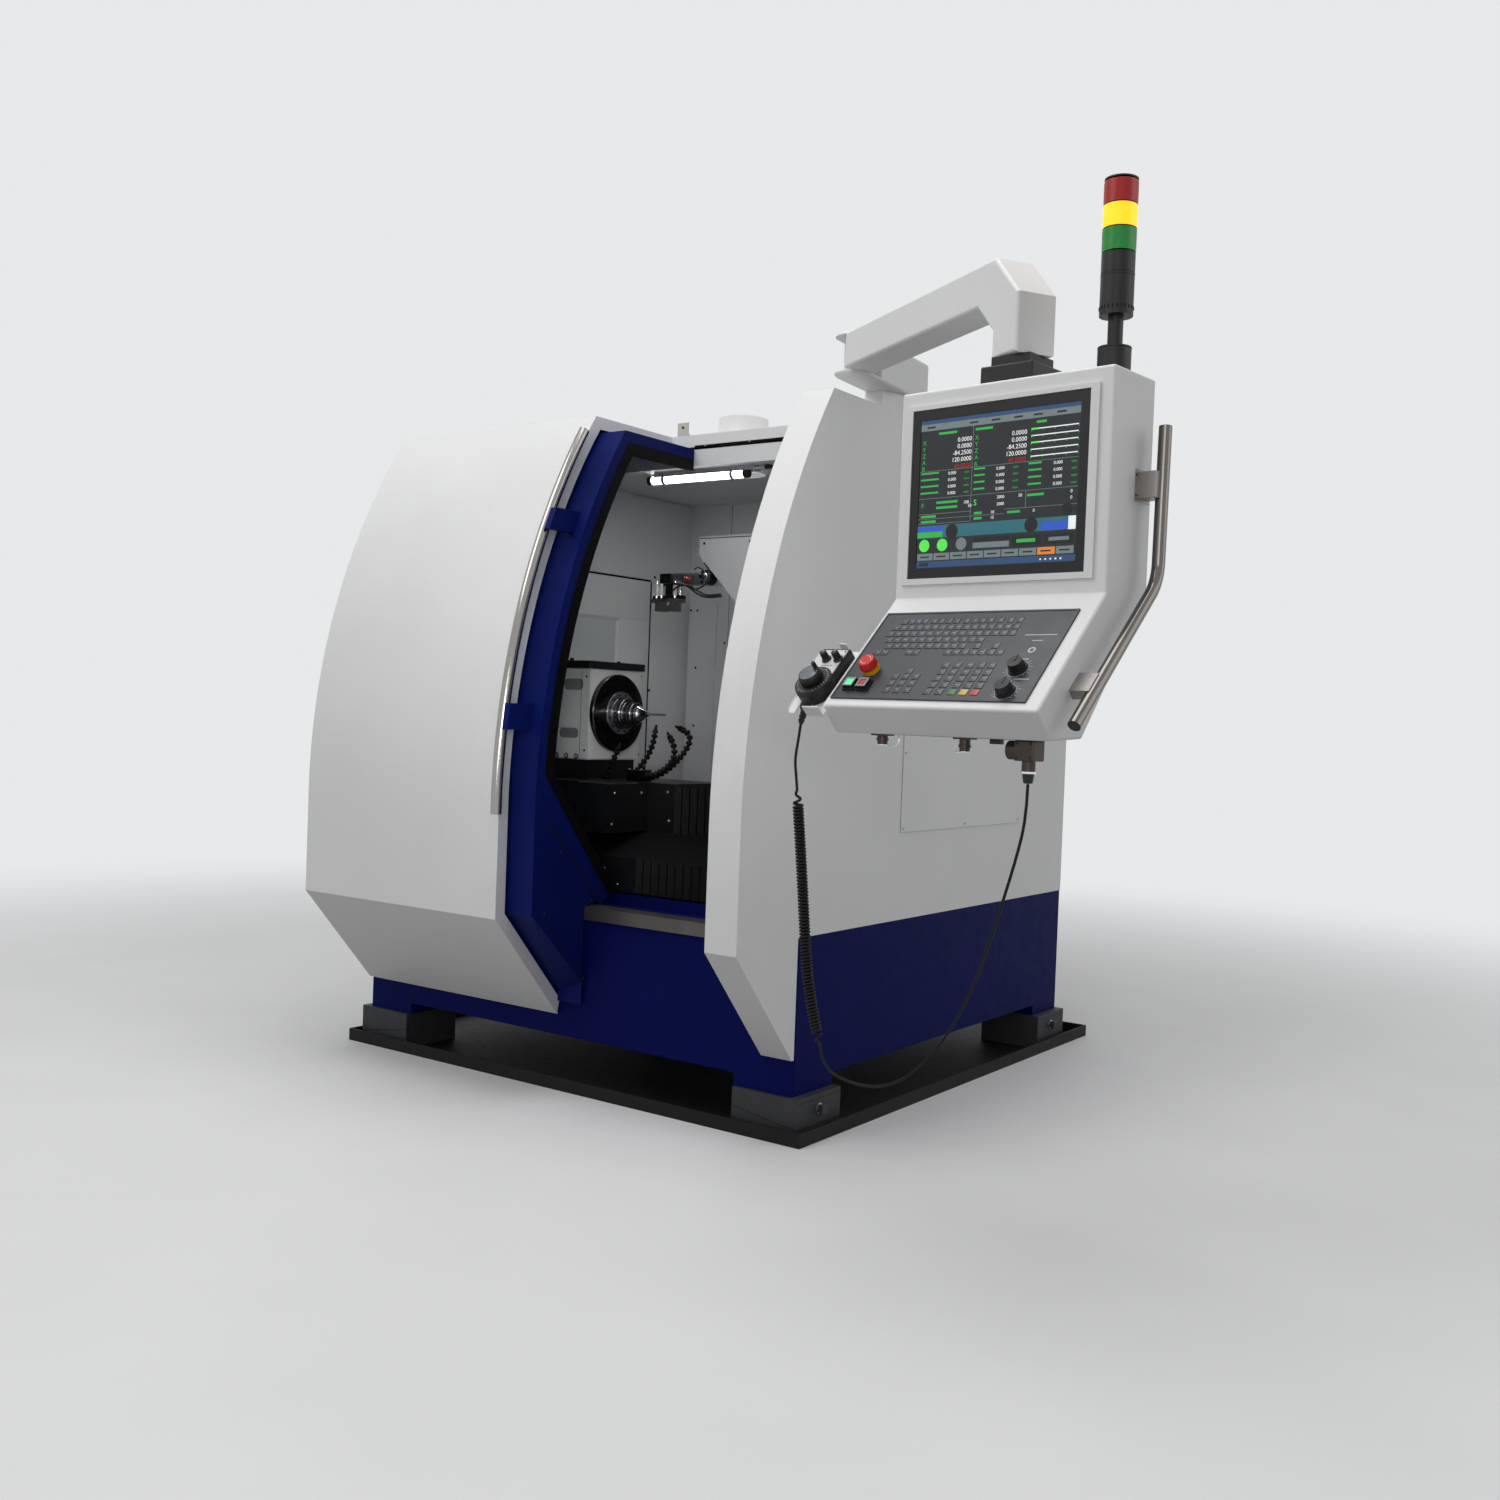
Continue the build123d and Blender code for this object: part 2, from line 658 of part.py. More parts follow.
def hood_sheet(left, right, return_left):
    """Bent front and roof sheet with an edge turned inwards at one side."""
    skin = across(hood(0, SHEET, COVER_FOOT_Z, HEADER_Y), left, right)
    lowest = skirt_height(FRONT - GAP, COVER_RETURN)
    edge = band(hood_line(0, COVER_FOOT_Z, HEADER_Y), hood_line(COVER_RETURN, lowest, HEADER_Y))
    return skin + across(edge, return_left, return_left + SHEET)


def left_cover():
    return hood_sheet(-SIDE, 0, -SHEET) + side_sheet(-SIDE, -SIDE + SHEET)


def right_cover():
    """Front column and right side wall, one folded sheet, cut out behind the access cover."""
    shape = hood_sheet(SIDE - COLUMN_WIDTH, SIDE, SIDE - COLUMN_WIDTH) + side_sheet(SIDE - SHEET, SIDE)
    hatch = block((SIDE - 2 * SHEET, SIDE + SHEET), (HATCH_Y[0] + HATCH_LAP, HATCH_Y[1] - HATCH_LAP),
                  (HATCH_Z[0] + HATCH_LAP, HATCH_Z[1] - HATCH_LAP))
    return shape - hatch


def side_access_cover():
    """Flat cover laid over the hatch in the right side wall."""
    return block((SIDE, SIDE + SHEET), HATCH_Y, HATCH_Z)


def rear_panel():
    """Back wall, folded forward along its vertical edges."""
    half = SIDE - SHEET
    wall = block((-half, half), (BACK - SHEET, BACK), (BASE_TOP, ROOF_TOP - SHEET))
    for side in (-1, 1):
        edge = sorted((side * half, side * (half - SHEET)))
        wall += block(edge, (BACK - COVER_RETURN, BACK), (BASE_TOP, ROOF_TOP - SHEET))
    return wall


def roof_panel():
    """Roof sheet with its front edge folded down over the door's slot, open for the spigot."""
    sheet = block((-SIDE, SIDE), (HEADER_Y, BACK), (ROOF_TOP - SHEET, ROOF_TOP))
    lip = block((-SIDE + SHEET, SIDE - SHEET), (HEADER_Y, HEADER_Y + SHEET), (HEADER_HIGH, ROOF_TOP))
    opening = Pos(SPIGOT_X, SPIGOT_Y, ROOF_TOP) * Cylinder(SPIGOT_RADIUS + GAP, 4 * SHEET)
    return sheet + lip - opening


def hose_spigot():
    """Round collar for the extraction hose, with a flange and a duct down to the ceiling."""
    low = CHAMBER_CEILING + LINER
    duct = rod((SPIGOT_X, SPIGOT_Y, low), (SPIGOT_X, SPIGOT_Y, ROOF_TOP + SPIGOT_HEIGHT), SPIGOT_RADIUS)
    flange = rod((SPIGOT_X, SPIGOT_Y, ROOF_TOP), (SPIGOT_X, SPIGOT_Y, ROOF_TOP + SHEET), SPIGOT_FLANGE)
    return duct + flange - spigot_bore(low - SHEET)


def spigot_bore(low):
    """Clear bore of the extraction duct, from a height up."""
    return rod((SPIGOT_X, SPIGOT_Y, low), (SPIGOT_X, SPIGOT_Y, ROOF_TOP + 2 * SPIGOT_HEIGHT),
               SPIGOT_RADIUS - SHEET)


def interlock_bracket():
    """Zinc plated angle on the roof's front edge, with its bolt."""
    width = INTERLOCK_HEIGHT
    front = HEADER_Y + SHEET
    left = INTERLOCK_X - width / 2
    foot = block((left, left + width), (front, front + width), (ROOF_TOP, ROOF_TOP + SHEET))
    ear = block((left, left + width), (front, front + SHEET), (ROOF_TOP, ROOF_TOP + INTERLOCK_HEIGHT))
    bolt_y = front + INTERLOCK_BOLT_SETBACK
    bolt = rod((INTERLOCK_X, bolt_y, ROOF_TOP + SHEET),
               (INTERLOCK_X, bolt_y, ROOF_TOP + SHEET + INTERLOCK_BOLT_HEIGHT), INTERLOCK_BOLT)
    return foot + ear + bolt


# Chamber liners and lamp

def liner_left():
    """Left wall of the chamber, folded outwards at its front edge."""
    wall = block((CHAMBER_LEFT - LINER, CHAMBER_LEFT), (CHAMBER_FRONT, CHAMBER_BACK),
                 (CHAMBER_FLOOR, CHAMBER_CEILING))
    return wall + block((CHAMBER_LEFT - COVER_RETURN, CHAMBER_LEFT), (CHAMBER_FRONT, CHAMBER_FRONT + LINER),
                        (CHAMBER_FLOOR, CHAMBER_CEILING))


def liner_rear():
    """Rear and right walls of the chamber, one folded sheet."""
    back = block((CHAMBER_LEFT - LINER, CHAMBER_RIGHT), (CHAMBER_BACK, CHAMBER_BACK + LINER),
                 (BASE_TOP, CHAMBER_CEILING))
    return back + block((CHAMBER_RIGHT - LINER, CHAMBER_RIGHT), (CHAMBER_FRONT, CHAMBER_BACK),
                        (BASE_TOP, CHAMBER_CEILING))


def liner_ceiling():
    """Ceiling with the header folded up behind the door's roof, open under the duct."""
    top = block((CHAMBER_LEFT - LINER, CHAMBER_RIGHT), (HEADER_Y, CHAMBER_BACK + LINER),
                (CHAMBER_CEILING, CHAMBER_CEILING + LINER))
    header = block((-SIDE + SHEET, CHAMBER_RIGHT), (HEADER_Y, HEADER_Y + LINER),
                   (CHAMBER_CEILING, HEADER_LOW))
    return top + header - spigot_bore(CHAMBER_CEILING - LINER)


def lamp_body():
    """Channel that holds the lamp under the ceiling, with a gland at its right end."""
    low = CHAMBER_CEILING - LAMP_BODY_HEIGHT
    half = LAMP_BODY_WIDTH / 2
    channel = block((LAMP_LEFT, LAMP_RIGHT), (LAMP_Y - half, LAMP_Y + half), (low, CHAMBER_CEILING))
    trough = rod((LAMP_LEFT, LAMP_Y, low - LAMP_TUBE / 2), (LAMP_RIGHT, LAMP_Y, low - LAMP_TUBE / 2),
                 LAMP_TUBE + GAP)
    middle = CHAMBER_CEILING - LAMP_BODY_HEIGHT / 2
    gland = rod((LAMP_RIGHT, LAMP_Y, middle), (LAMP_RIGHT + LAMP_OVERHANG, LAMP_Y, middle),
                LAMP_BODY_HEIGHT / 2)
    return channel - trough + gland


def lamp_tube():
    """Glass tube seated in the channel's trough."""
    axis = CHAMBER_CEILING - LAMP_BODY_HEIGHT - LAMP_TUBE / 2
    left = LAMP_LEFT - LAMP_OVERHANG
    return rod((left, LAMP_Y, axis), (LAMP_RIGHT - LAMP_OVERHANG, LAMP_Y, axis), LAMP_TUBE)


# Door

DOOR_LEFT = DOOR_SHOWN - DOOR_WIDTH
DOOR_FOOT = skirt_height(DOOR_BACK_LOW, DOOR_INSET) + DOOR_FOOT_GAP


def door_region(inset, grow):
    """Side outline of the door: a flange behind the skin that widens to a beam at the foot."""
    depth = DOOR_INSET + DOOR_FLANGE + grow
    roof = hood(inset, depth, DOOR_BEAM_HIGH, DOOR_REAR + grow)
    edges = front_line(inset, DOOR_FOOT, DOOR_BEAM_HIGH)
    corners = [(front_y(DOOR_BEAM_HIGH, inset), DOOR_BEAM_HIGH),
               (front_y(DOOR_BEAM_HIGH, depth), DOOR_BEAM_HIGH),
               (DOOR_BEAM_END_Y + grow, DOOR_BEAM_END_Z), (DOOR_BACK_LOW + grow, SILL_TOP + GAP - grow),
               (DOOR_BACK_LOW + grow, DOOR_FOOT), (front_y(DOOR_FOOT, inset), DOOR_FOOT)]
    edges += [Line(first, last) for first, last in zip(corners, corners[1:])]
    return roof, make_face(edges)


def facet_plane(sink):
    """Slanted cut across the door's lower right corner, moved inwards by sink."""
    high = Vector(DOOR_SHOWN, COVER_FRONT_Y + DOOR_INSET, knee_height(DOOR_INSET))
    back = Vector(DOOR_SHOWN, DOOR_BACK_LOW, DOOR_FACET_HIGH)
    low = Vector(DOOR_FACET_LEFT, front_y(DOOR_FOOT, DOOR_INSET), DOOR_FOOT)
    normal = (low - high).cross(back - high).normalized()
    if normal.Z > 0:
        normal = normal * -1
    return Plane(origin=high - normal * sink, z_dir=normal)


def door_block(inset, grow, left, right, sink):
    """Full body of the door between two sides, with its slanted corner."""
    roof, leg = door_region(inset, grow)
    shape = across(roof, left, right) + across(leg, left, right)
    return split(shape, facet_plane(sink), keep=Keep.BOTTOM)


def door_hanger(x):
    """Tongue through the header's slot with a runner over the rail."""
    low = ROOF_TOP - DOOR_INSET
    half = HANGER_WIDTH / 2
    tongue = block((x - half, x + half), (DOOR_REAR - DOOR_FLANGE, RAIL_Y + RAIL_WIDTH),
                   (low, low + HANGER_TONGUE))
    rail_top = CHAMBER_CEILING + LINER + RAIL_HEIGHT
    runner = block((x - half, x + half), (RAIL_Y - RAIL_WIDTH, RAIL_Y + RAIL_WIDTH),
                   (rail_top - RAIL_HEIGHT / 2, low))
    groove = block((x - HANGER_WIDTH, x + HANGER_WIDTH),
                   (RAIL_Y - RAIL_WIDTH / 2 - GAP, RAIL_Y + RAIL_WIDTH / 2 + GAP), (0, rail_top + GAP))
    return tongue + (runner - groove)


def handle_bracket(low, high):
    """Plate from the door's skin past the cover's edge to the handle's tube."""
    back = front_line(DOOR_INSET + SHEET / 2, low, high)
    front = front_line(-HANDLE_STANDOFF - HANDLE_TUBE, low, high)
    left = HANDLE_X + HANDLE_TUBE + GAP
    return across(band(back, front), left, left + BRACKET_THICKNESS)


def door_shell():
    """Folded blue door: skin, flanges, window opening, hangers and handle brackets."""
    outer = door_block(DOOR_INSET, 0, DOOR_LEFT, DOOR_SHOWN, 0)
    inner = door_block(DOOR_INSET + SHEET, DOOR_FLANGE, DOOR_LEFT + SHEET, DOOR_SHOWN - SHEET, SHEET)
    shape = outer - inner
    opening = block((DOOR_LEFT + WINDOW_SIDE, DOOR_SHOWN - WINDOW_SIDE), (2 * COVER_FRONT_Y, DOOR_BACK_LOW),
                    (WINDOW_LOW, WINDOW_HIGH))
    shape -= fillet(opening.edges().filter_by(Axis.Y), WINDOW_CORNER)
    for x in (DOOR_LEFT + HANGER_WIDTH, DOOR_SHOWN - 2 * HANGER_WIDTH):
        shape += door_hanger(x)
    for low, high in BRACKET_HEIGHTS:
        shape += handle_bracket(low, high)
    return shape


def door_window():
    """Bent glass held against the inside of the skin."""
    low = WINDOW_LOW - WINDOW_LAP
    high = WINDOW_HIGH + WINDOW_LAP
    near = DOOR_INSET + SHEET
    face = band(front_line(near, low, high), front_line(near + WINDOW_GLASS, low, high))
    return across(face, DOOR_LEFT + WINDOW_SIDE - WINDOW_LAP, DOOR_SHOWN - WINDOW_SIDE + WINDOW_LAP)


def door_seal():
    """Rubber lip behind the right flange, from the roof down along the beam."""
    near = DOOR_INSET + DOOR_FLANGE
    far = near + SEAL_WIDTH
    lean = math.hypot(DOOR_BEAM_END_Y - front_y(DOOR_BEAM_HIGH, near), DOOR_BEAM_HIGH - DOOR_BEAM_END_Z)
    shift = SEAL_WIDTH * lean / (DOOR_BEAM_HIGH - DOOR_BEAM_END_Z)
    outer = hood_line(near, DOOR_BEAM_HIGH, DOOR_REAR)
    inner = hood_line(far, DOOR_BEAM_HIGH, DOOR_REAR)
    roof = across(band(outer, inner), DOOR_SHOWN - SEAL_THICKNESS, DOOR_SHOWN)
    top_y = front_y(DOOR_BEAM_HIGH, near)
    inner_y = front_y(DOOR_BEAM_HIGH, far)
    beam = polygon([(top_y, DOOR_BEAM_HIGH), (inner_y, DOOR_BEAM_HIGH),
                    (DOOR_BEAM_END_Y + shift, DOOR_BEAM_END_Z + SHEET), (DOOR_BEAM_END_Y, DOOR_BEAM_END_Z)])
    return roof + across(beam, DOOR_SHOWN - SEAL_THICKNESS, DOOR_SHOWN)


def door_handle_tube(radius):
    """Tube that follows the cover's curve in front of it."""
    path = Plane.YZ.offset(HANDLE_X) * Wire(front_line(-HANDLE_STANDOFF, HANDLE_LOW, HANDLE_HIGH))
    return sweep(Plane(origin=path @ 0, z_dir=path % 0) * Circle(radius), path=path)


def door_handle():
    return door_handle_tube(HANDLE_TUBE)


def door_rails():
    """Top rail over the ceiling and the guide bar behind the door's foot."""
    low = CHAMBER_CEILING + LINER
    rail = block((-SIDE + SHEET, CHAMBER_RIGHT), (RAIL_Y - RAIL_WIDTH / 2, RAIL_Y + RAIL_WIDTH / 2),
                 (low, low + RAIL_HEIGHT))
    bar = block((-SIDE + 2 * SHEET, -2 * BASE_EDGE), (FRONT - GUIDE_BAR, FRONT),
                (GUIDE_BAR_Z - GUIDE_BAR / 2, GUIDE_BAR_Z + GUIDE_BAR / 2))
    return Compound([rail, bar])


# Carriage and bellows

CARRIAGE_PATH = [(CARRIAGE_FRONT_Y, CARRIAGE_SKIRT_LOW), (CARRIAGE_FRONT_Y, CARRIAGE_SLOPE_LOW),
                 (CARRIAGE_STEP_Y, CARRIAGE_STEP_Z), (CARRIAGE_STEP_Y, CARRIAGE_TOP),
                 (CARRIAGE_BACK_Y, CARRIAGE_TOP), (CARRIAGE_BACK_Y, CARRIAGE_SKIRT_LOW)]


def inset_path(points, distance):
    """Moves an open path of (y, z) points to the right of its run, with mitred corners."""
    ways = [(Vector(*last) - Vector(*first)).normalized() for first, last in zip(points, points[1:])]
    normals = [Vector(way.Y, -way.X) for way in ways]
    moved = []
    for point, before, after in zip(points, normals[:1] + normals, normals + normals[-1:]):
        shift = (before + after) * (distance / (1 + before.dot(after)))
        moved.append((point[0] + shift.X, point[1] + shift.Y))
    return moved


def stepped_face(depth, thickness):
    """Section of a sheet under the carriage's stepped outline, at a depth below it."""
    return polygon(inset_path(CARRIAGE_PATH, depth) + inset_path(CARRIAGE_PATH, depth + thickness)[::-1])


def carriage_cover():
    """Stepped cover with the saddle that runs on the ways and the riser under the headstock."""
    shape = across(stepped_face(0, CARRIAGE_WALL), CARRIAGE_LEFT, CARRIAGE_RIGHT)
    saddle_low = BED_TOP + WAY_HEIGHT + GAP
    inside = (CARRIAGE_LEFT, CARRIAGE_RIGHT)
    shape += block(inside, (BED_FRONT, CARRIAGE_BACK_Y - CARRIAGE_WALL),
                   (saddle_low, saddle_low + SADDLE_THICKNESS))
    shape += block(inside, (CARRIAGE_STEP_Y + 2 * WAY_WIDTH, RISER_BACK),
                   (saddle_low + SADDLE_THICKNESS, CARRIAGE_TOP - CARRIAGE_WALL))
    riser_left = CARRIAGE_LEFT
    riser_right = HEAD_RIGHT - BASE_EDGE
    shape += block((riser_left, riser_right), (CARRIAGE_STEP_Y, RISER_BACK), (CARRIAGE_TOP, RISER_TOP))
    return shape + block((riser_left, riser_right), (RISER_FRONT, CARRIAGE_STEP_Y),
                         (CARRIAGE_TOP, RISER_TOP))


def bellows(left, right):
    """Pleated sheet with the carriage's stepped section between two X positions."""
    folds = 2 * round((right - left) / BELLOWS_PITCH)
    step = (right - left) / folds
    sections = []
    for index in range(folds + 1):
        depth = BELLOWS_FOLD * (index % 2)
        sections.append(Plane.YZ.offset(left + index * step) * stepped_face(depth, BELLOWS_SHEET))
    return loft(sections, ruled=True)


def way_bellows():
    return Compound([bellows(CHAMBER_LEFT + GAP, CARRIAGE_LEFT - GAP),
                     bellows(CARRIAGE_RIGHT + GAP, CHAMBER_RIGHT - LINER - GAP)])


# Headstock and work spindle

def headstock_housing():
    """Cast housing with two pockets in its front and a bore for the spindle."""
    shape = block((CARRIAGE_LEFT, HEAD_RIGHT), (HEAD_FRONT, HEAD_BACK), (RISER_TOP, HEAD_TOP), HEAD_EDGE)
    for left, right, low, high in HEAD_POCKETS:
        middle = CARRIAGE_LEFT + (left + right) / 2
        pocket = Pos(middle, (low + high) / 2) * RectangleRounded(right - left, high - low, POCKET_CORNER)
        shape -= along_y(pocket, HEAD_FRONT - HEAD_EDGE, HEAD_FRONT + POCKET_DEPTH)
    bore = rod((HEAD_RIGHT + HEAD_EDGE, SPINDLE_Y, SPINDLE_Z),
               (HEAD_RIGHT - SPINDLE_SHAFT_LENGTH - SEAT, SPINDLE_Y, SPINDLE_Z), SPINDLE_SHAFT + RUNNING)
    return shape - bore


def headstock_top_plate():
    """Stepped plate on the housing, with two clamp screws."""
    front = HEAD_FRONT - TOP_PLATE_OVERHANG
    back = HEAD_BACK + TOP_PLATE_OVERHANG / 2
    right = HEAD_RIGHT + TOP_PLATE_OVERHANG / 2
    step = HEAD_RIGHT - TOP_PLATE_STEP
    shape = block((step, right), (front, back), (HEAD_TOP, HEAD_TOP + TOP_PLATE), TOP_PLATE_EDGE)
    shape += block((CARRIAGE_LEFT, step + TOP_PLATE_OVERHANG), (front, back),
                   (HEAD_TOP, HEAD_TOP + TOP_PLATE_LOWER))
    top = HEAD_TOP + TOP_PLATE
    for y in (front + TOP_PLATE, back - TOP_PLATE):
        shape += rod((step + TOP_PLATE, y, HEAD_TOP), (step + TOP_PLATE, y, top + TOP_SCREW_HEIGHT),
                     TOP_SCREW)
    return shape


def on_spindle(points):
    """Turned part on the work spindle's axis, from a run of (x, radius) points."""
    return Pos(0, SPINDLE_Y, SPINDLE_Z) * revolve(Plane.XZ * polygon(points), axis=Axis.X)


def spindle_flange():
    """Disc with a ring of screws in front of the bearing housing, on the spindle's shaft."""
    face = HEAD_RIGHT + GAP
    front = HEAD_RIGHT + SPINDLE_DISC_THICKNESS
    end = HEAD_RIGHT - SPINDLE_SHAFT_LENGTH
    shape = on_spindle([(end, 0), (end, SPINDLE_SHAFT),
                        (face, SPINDLE_SHAFT), (face, SPINDLE_DISC),
                        (front - SPINDLE_DISC_EDGE, SPINDLE_DISC),
                        (front, SPINDLE_DISC - SPINDLE_DISC_EDGE), (front, 0)])
    for index in range(SPINDLE_BOLT_COUNT):
        angle = 2 * math.pi * (index + 0.5) / SPINDLE_BOLT_COUNT
        y = SPINDLE_Y + SPINDLE_BOLT_CIRCLE * math.cos(angle)
        z = SPINDLE_Z + SPINDLE_BOLT_CIRCLE * math.sin(angle)
        shape -= rod((front - SPINDLE_BOLT_SINK, y, z), (front + OVERCUT, y, z), SPINDLE_BOLT_HEAD)
    return shape


def spindle_nose():
    """Turned nose: flange, body, collet nut and tapered tip, bored for the tool blank."""
    back = HEAD_RIGHT + SPINDLE_DISC_THICKNESS
    bore = TOOL_RADIUS + GAP
    inner = NOSE_TIP_X - TOOL_DEPTH
    flange = back + NOSE_FLANGE_DEPTH
    return on_spindle([(back, 0), (back, NOSE_FLANGE), (flange - NOSE_FLANGE_EDGE, NOSE_FLANGE),
                       (flange, NOSE_FLANGE - NOSE_FLANGE_EDGE), (flange, NOSE_BODY + NOSE_BODY_FILLET),
                       (back + NOSE_BODY_START, NOSE_BODY), (back + NOSE_BODY_END, NOSE_BODY),
                       (back + NOSE_COLLET_START, NOSE_COLLET + NOSE_SHOULDER),
                       (back + NOSE_COLLET_START, NOSE_COLLET), (back + NOSE_COLLET_END, NOSE_COLLET),
                       (back + NOSE_COLLET_END + NOSE_COLLET_EDGE, NOSE_COLLET - NOSE_COLLET_EDGE),
                       (NOSE_TIP_X, NOSE_TIP), (NOSE_TIP_X, bore), (inner, bore), (inner, 0)])


def tool_blank():
    end = NOSE_TIP_X - TOOL_DEPTH
    return rod((end, SPINDLE_Y, SPINDLE_Z), (TOOL_TIP_X, SPINDLE_Y, SPINDLE_Z), TOOL_RADIUS)


def bent_tube(points, radius, radii):
    """Round bar along straight runs joined by tangent arcs."""
    path = FilletPolyline(*points, radius=radii)
    return sweep(Plane(origin=path @ 0, z_dir=path % 0) * Circle(radius), path=path)


def bend_radii(points):
    """Largest arcs that the runs leave room for, one for each inner point."""
    radii = []
    for before, here, after in zip(points, points[1:], points[2:]):
        first = Vector(*here) - Vector(*before)
        last = Vector(*after) - Vector(*here)
        turn = math.radians(first.get_angle(last))
        radii.append(BEND_RATIO * min(first.length, last.length) / math.tan(turn / 2))
    return radii


def coolant_hoses():
    """Four segmented hoses on a manifold block that stands on the carriage."""
    shape = block((MANIFOLD_LEFT, MANIFOLD_RIGHT), (MANIFOLD_FRONT, MANIFOLD_BACK),
                  (CARRIAGE_TOP, CARRIAGE_TOP + MANIFOLD_HEIGHT), MANIFOLD_EDGE)
    solids = [shape]
    for route in HOSE_ROUTES:
        points = [(HEAD_RIGHT + x, SPINDLE_Y + y, CARRIAGE_TOP + z) for x, y, z in route]
        solids.append(bent_tube(points, HOSE_RADIUS, bend_radii(points)))
        tip = Vector(*points[-1])
        way = (tip - Vector(*points[-2])).normalized()
        solids.append(rod(tuple(tip), tuple(tip + way * HOSE_NOZZLE), HOSE_RADIUS, HOSE_RADIUS / 2))
    return Compound([solids[0]] + [tube + tip for tube, tip in zip(solids[1::2], solids[2::2])])


# Wheel side

def wheel_column():
    """Upright with two vertical ways, standing on the base behind the bed."""
    shape = block((COLUMN_LEFT, COLUMN_RIGHT), (0, CHAMBER_BACK - SEAT), (BASE_TOP, COLUMN_TOP), BASE_EDGE)
    for x in (COLUMN_LEFT + WAY_INSET, COLUMN_RIGHT - WAY_INSET - WAY_WIDTH):
        shape += block((x, x + WAY_WIDTH), (-WAY_HEIGHT, 0), (BASE_TOP + WAY_WIDTH, COLUMN_TOP - WAY_WIDTH))
    return shape


def wheel_head():
    """Slide plate and round spindle housing, bored for the wheel shaft."""
    back = -WAY_HEIGHT - GAP
    half = WHEEL_SLIDE_HEIGHT / 2
    plate = block((COLUMN_LEFT, COLUMN_RIGHT), (back - WHEEL_PLATE, back),
                  (WHEEL_AXIS_Z - half, WHEEL_AXIS_Z + half), BASE_EDGE)
    body = rod((WHEEL_X, back - WHEEL_PLATE / 2, WHEEL_AXIS_Z), (WHEEL_X, WHEEL_HEAD_FRONT, WHEEL_AXIS_Z),
               WHEEL_HEAD_RADIUS)
    bore = rod((WHEEL_X, back - WHEEL_PLATE, WHEEL_AXIS_Z), (WHEEL_X, WHEEL_HEAD_FRONT - SEAT, WHEEL_AXIS_Z),
               WHEEL_SHAFT + RUNNING)
    return plate + body - bore


def grinding_wheels():
    """Pack of three wheels with spacers on the wheel shaft."""
    shape = rod((WHEEL_X, -WAY_HEIGHT - WHEEL_PLATE - SEAT, WHEEL_AXIS_Z),
                (WHEEL_X, WHEEL_HEAD_FRONT - SEAT, WHEEL_AXIS_Z), WHEEL_SHAFT)
    start = WHEEL_HEAD_FRONT - SEAT
    for radius, thickness in WHEEL_PACK:
        shape += rod((WHEEL_X, start, WHEEL_AXIS_Z), (WHEEL_X, start - thickness, WHEEL_AXIS_Z), radius)
        start -= thickness
    return shape


# Loader

def loader_housing():
    """Wedge-nosed housing on the right wall, with the plate that carries the arm's pivot."""
    outline = polygon([(LOADER_LEFT, LOADER_NOTCH_Z), (LOADER_LEFT, LOADER_TOP),
                       (CHAMBER_RIGHT - LINER, LOADER_TOP), (CHAMBER_RIGHT - LINER, LOADER_BOTTOM),
                       (LOADER_NOTCH_X, LOADER_BOTTOM)])
    shape = along_y(outline, LOADER_FRONT, LOADER_FRONT + LOADER_DEPTH)
    plate_front = LOADER_FRONT + LOADER_ARM_THICKNESS + 2 * GAP
    plate = block((LOADER_HUB_X - LOADER_HUB, LOADER_NOTCH_X), (plate_front, plate_front + LOADER_PLATE),
                  (LOADER_HUB_Z - LOADER_HUB, LOADER_NOTCH_Z))
    bore = rod((LOADER_HUB_X, plate_front - OVERCUT, LOADER_HUB_Z),
               (LOADER_HUB_X, plate_front + LOADER_PLATE + OVERCUT, LOADER_HUB_Z), LOADER_SHAFT + RUNNING)
    return shape + plate - bore


def loader_arm():
    """Flat arm with a round hub, an end block and the gripper's body below it."""
    front = LOADER_FRONT
    back = LOADER_FRONT + LOADER_ARM_THICKNESS
    hub = rod((LOADER_HUB_X, front, LOADER_HUB_Z), (LOADER_HUB_X, back, LOADER_HUB_Z), LOADER_HUB)
    bar = block((LOADER_ARM_LEFT, LOADER_HUB_X), (front, back), (LOADER_ARM_LOW, LOADER_ARM_HIGH))
    gripper = block((GRIPPER_LEFT, GRIPPER_RIGHT), (front - GRIPPER_STEP, back), (JAW_TOP, LOADER_ARM_LOW))
    shaft = rod((LOADER_HUB_X, back, LOADER_HUB_Z),
                (LOADER_HUB_X, back + 2 * GAP + LOADER_PLATE, LOADER_HUB_Z), LOADER_SHAFT)
    knob = rod((LOADER_KNOB_X, front, LOADER_HUB_Z), (LOADER_KNOB_X, front - LOADER_KNOB, LOADER_HUB_Z),
               LOADER_KNOB)
    return hub + bar + gripper + shaft + knob


def gripper_jaw(side):
    """Jaw under the gripper's body: a foot that slides and a finger with a notch."""
    middle = (GRIPPER_LEFT + GRIPPER_RIGHT) / 2
    inner = middle + side * JAW_GAP / 2
    outer = middle + side * GRIPPER_WIDTH / 2
    tip = middle + side * (JAW_GAP / 2 + JAW_FINGER)
    front = LOADER_FRONT - GRIPPER_STEP
    back = LOADER_FRONT + LOADER_ARM_THICKNESS
    foot = block(sorted((inner, outer)), (front, back), (JAW_TOP - GAP - JAW_FOOT, JAW_TOP - GAP))
    finger = block(sorted((inner, tip)), (front, back), (JAW_LOW, JAW_TOP - GAP - JAW_FOOT))
    notch = rod((inner, front - OVERCUT, JAW_LOW + JAW_FINGER), (inner, back + OVERCUT, JAW_LOW + JAW_FINGER),
                JAW_NOTCH)
    return foot + finger - notch


def gripper_jaw_left():
    return gripper_jaw(-1)


def gripper_jaw_right():
    return gripper_jaw(1)


# Swing arm

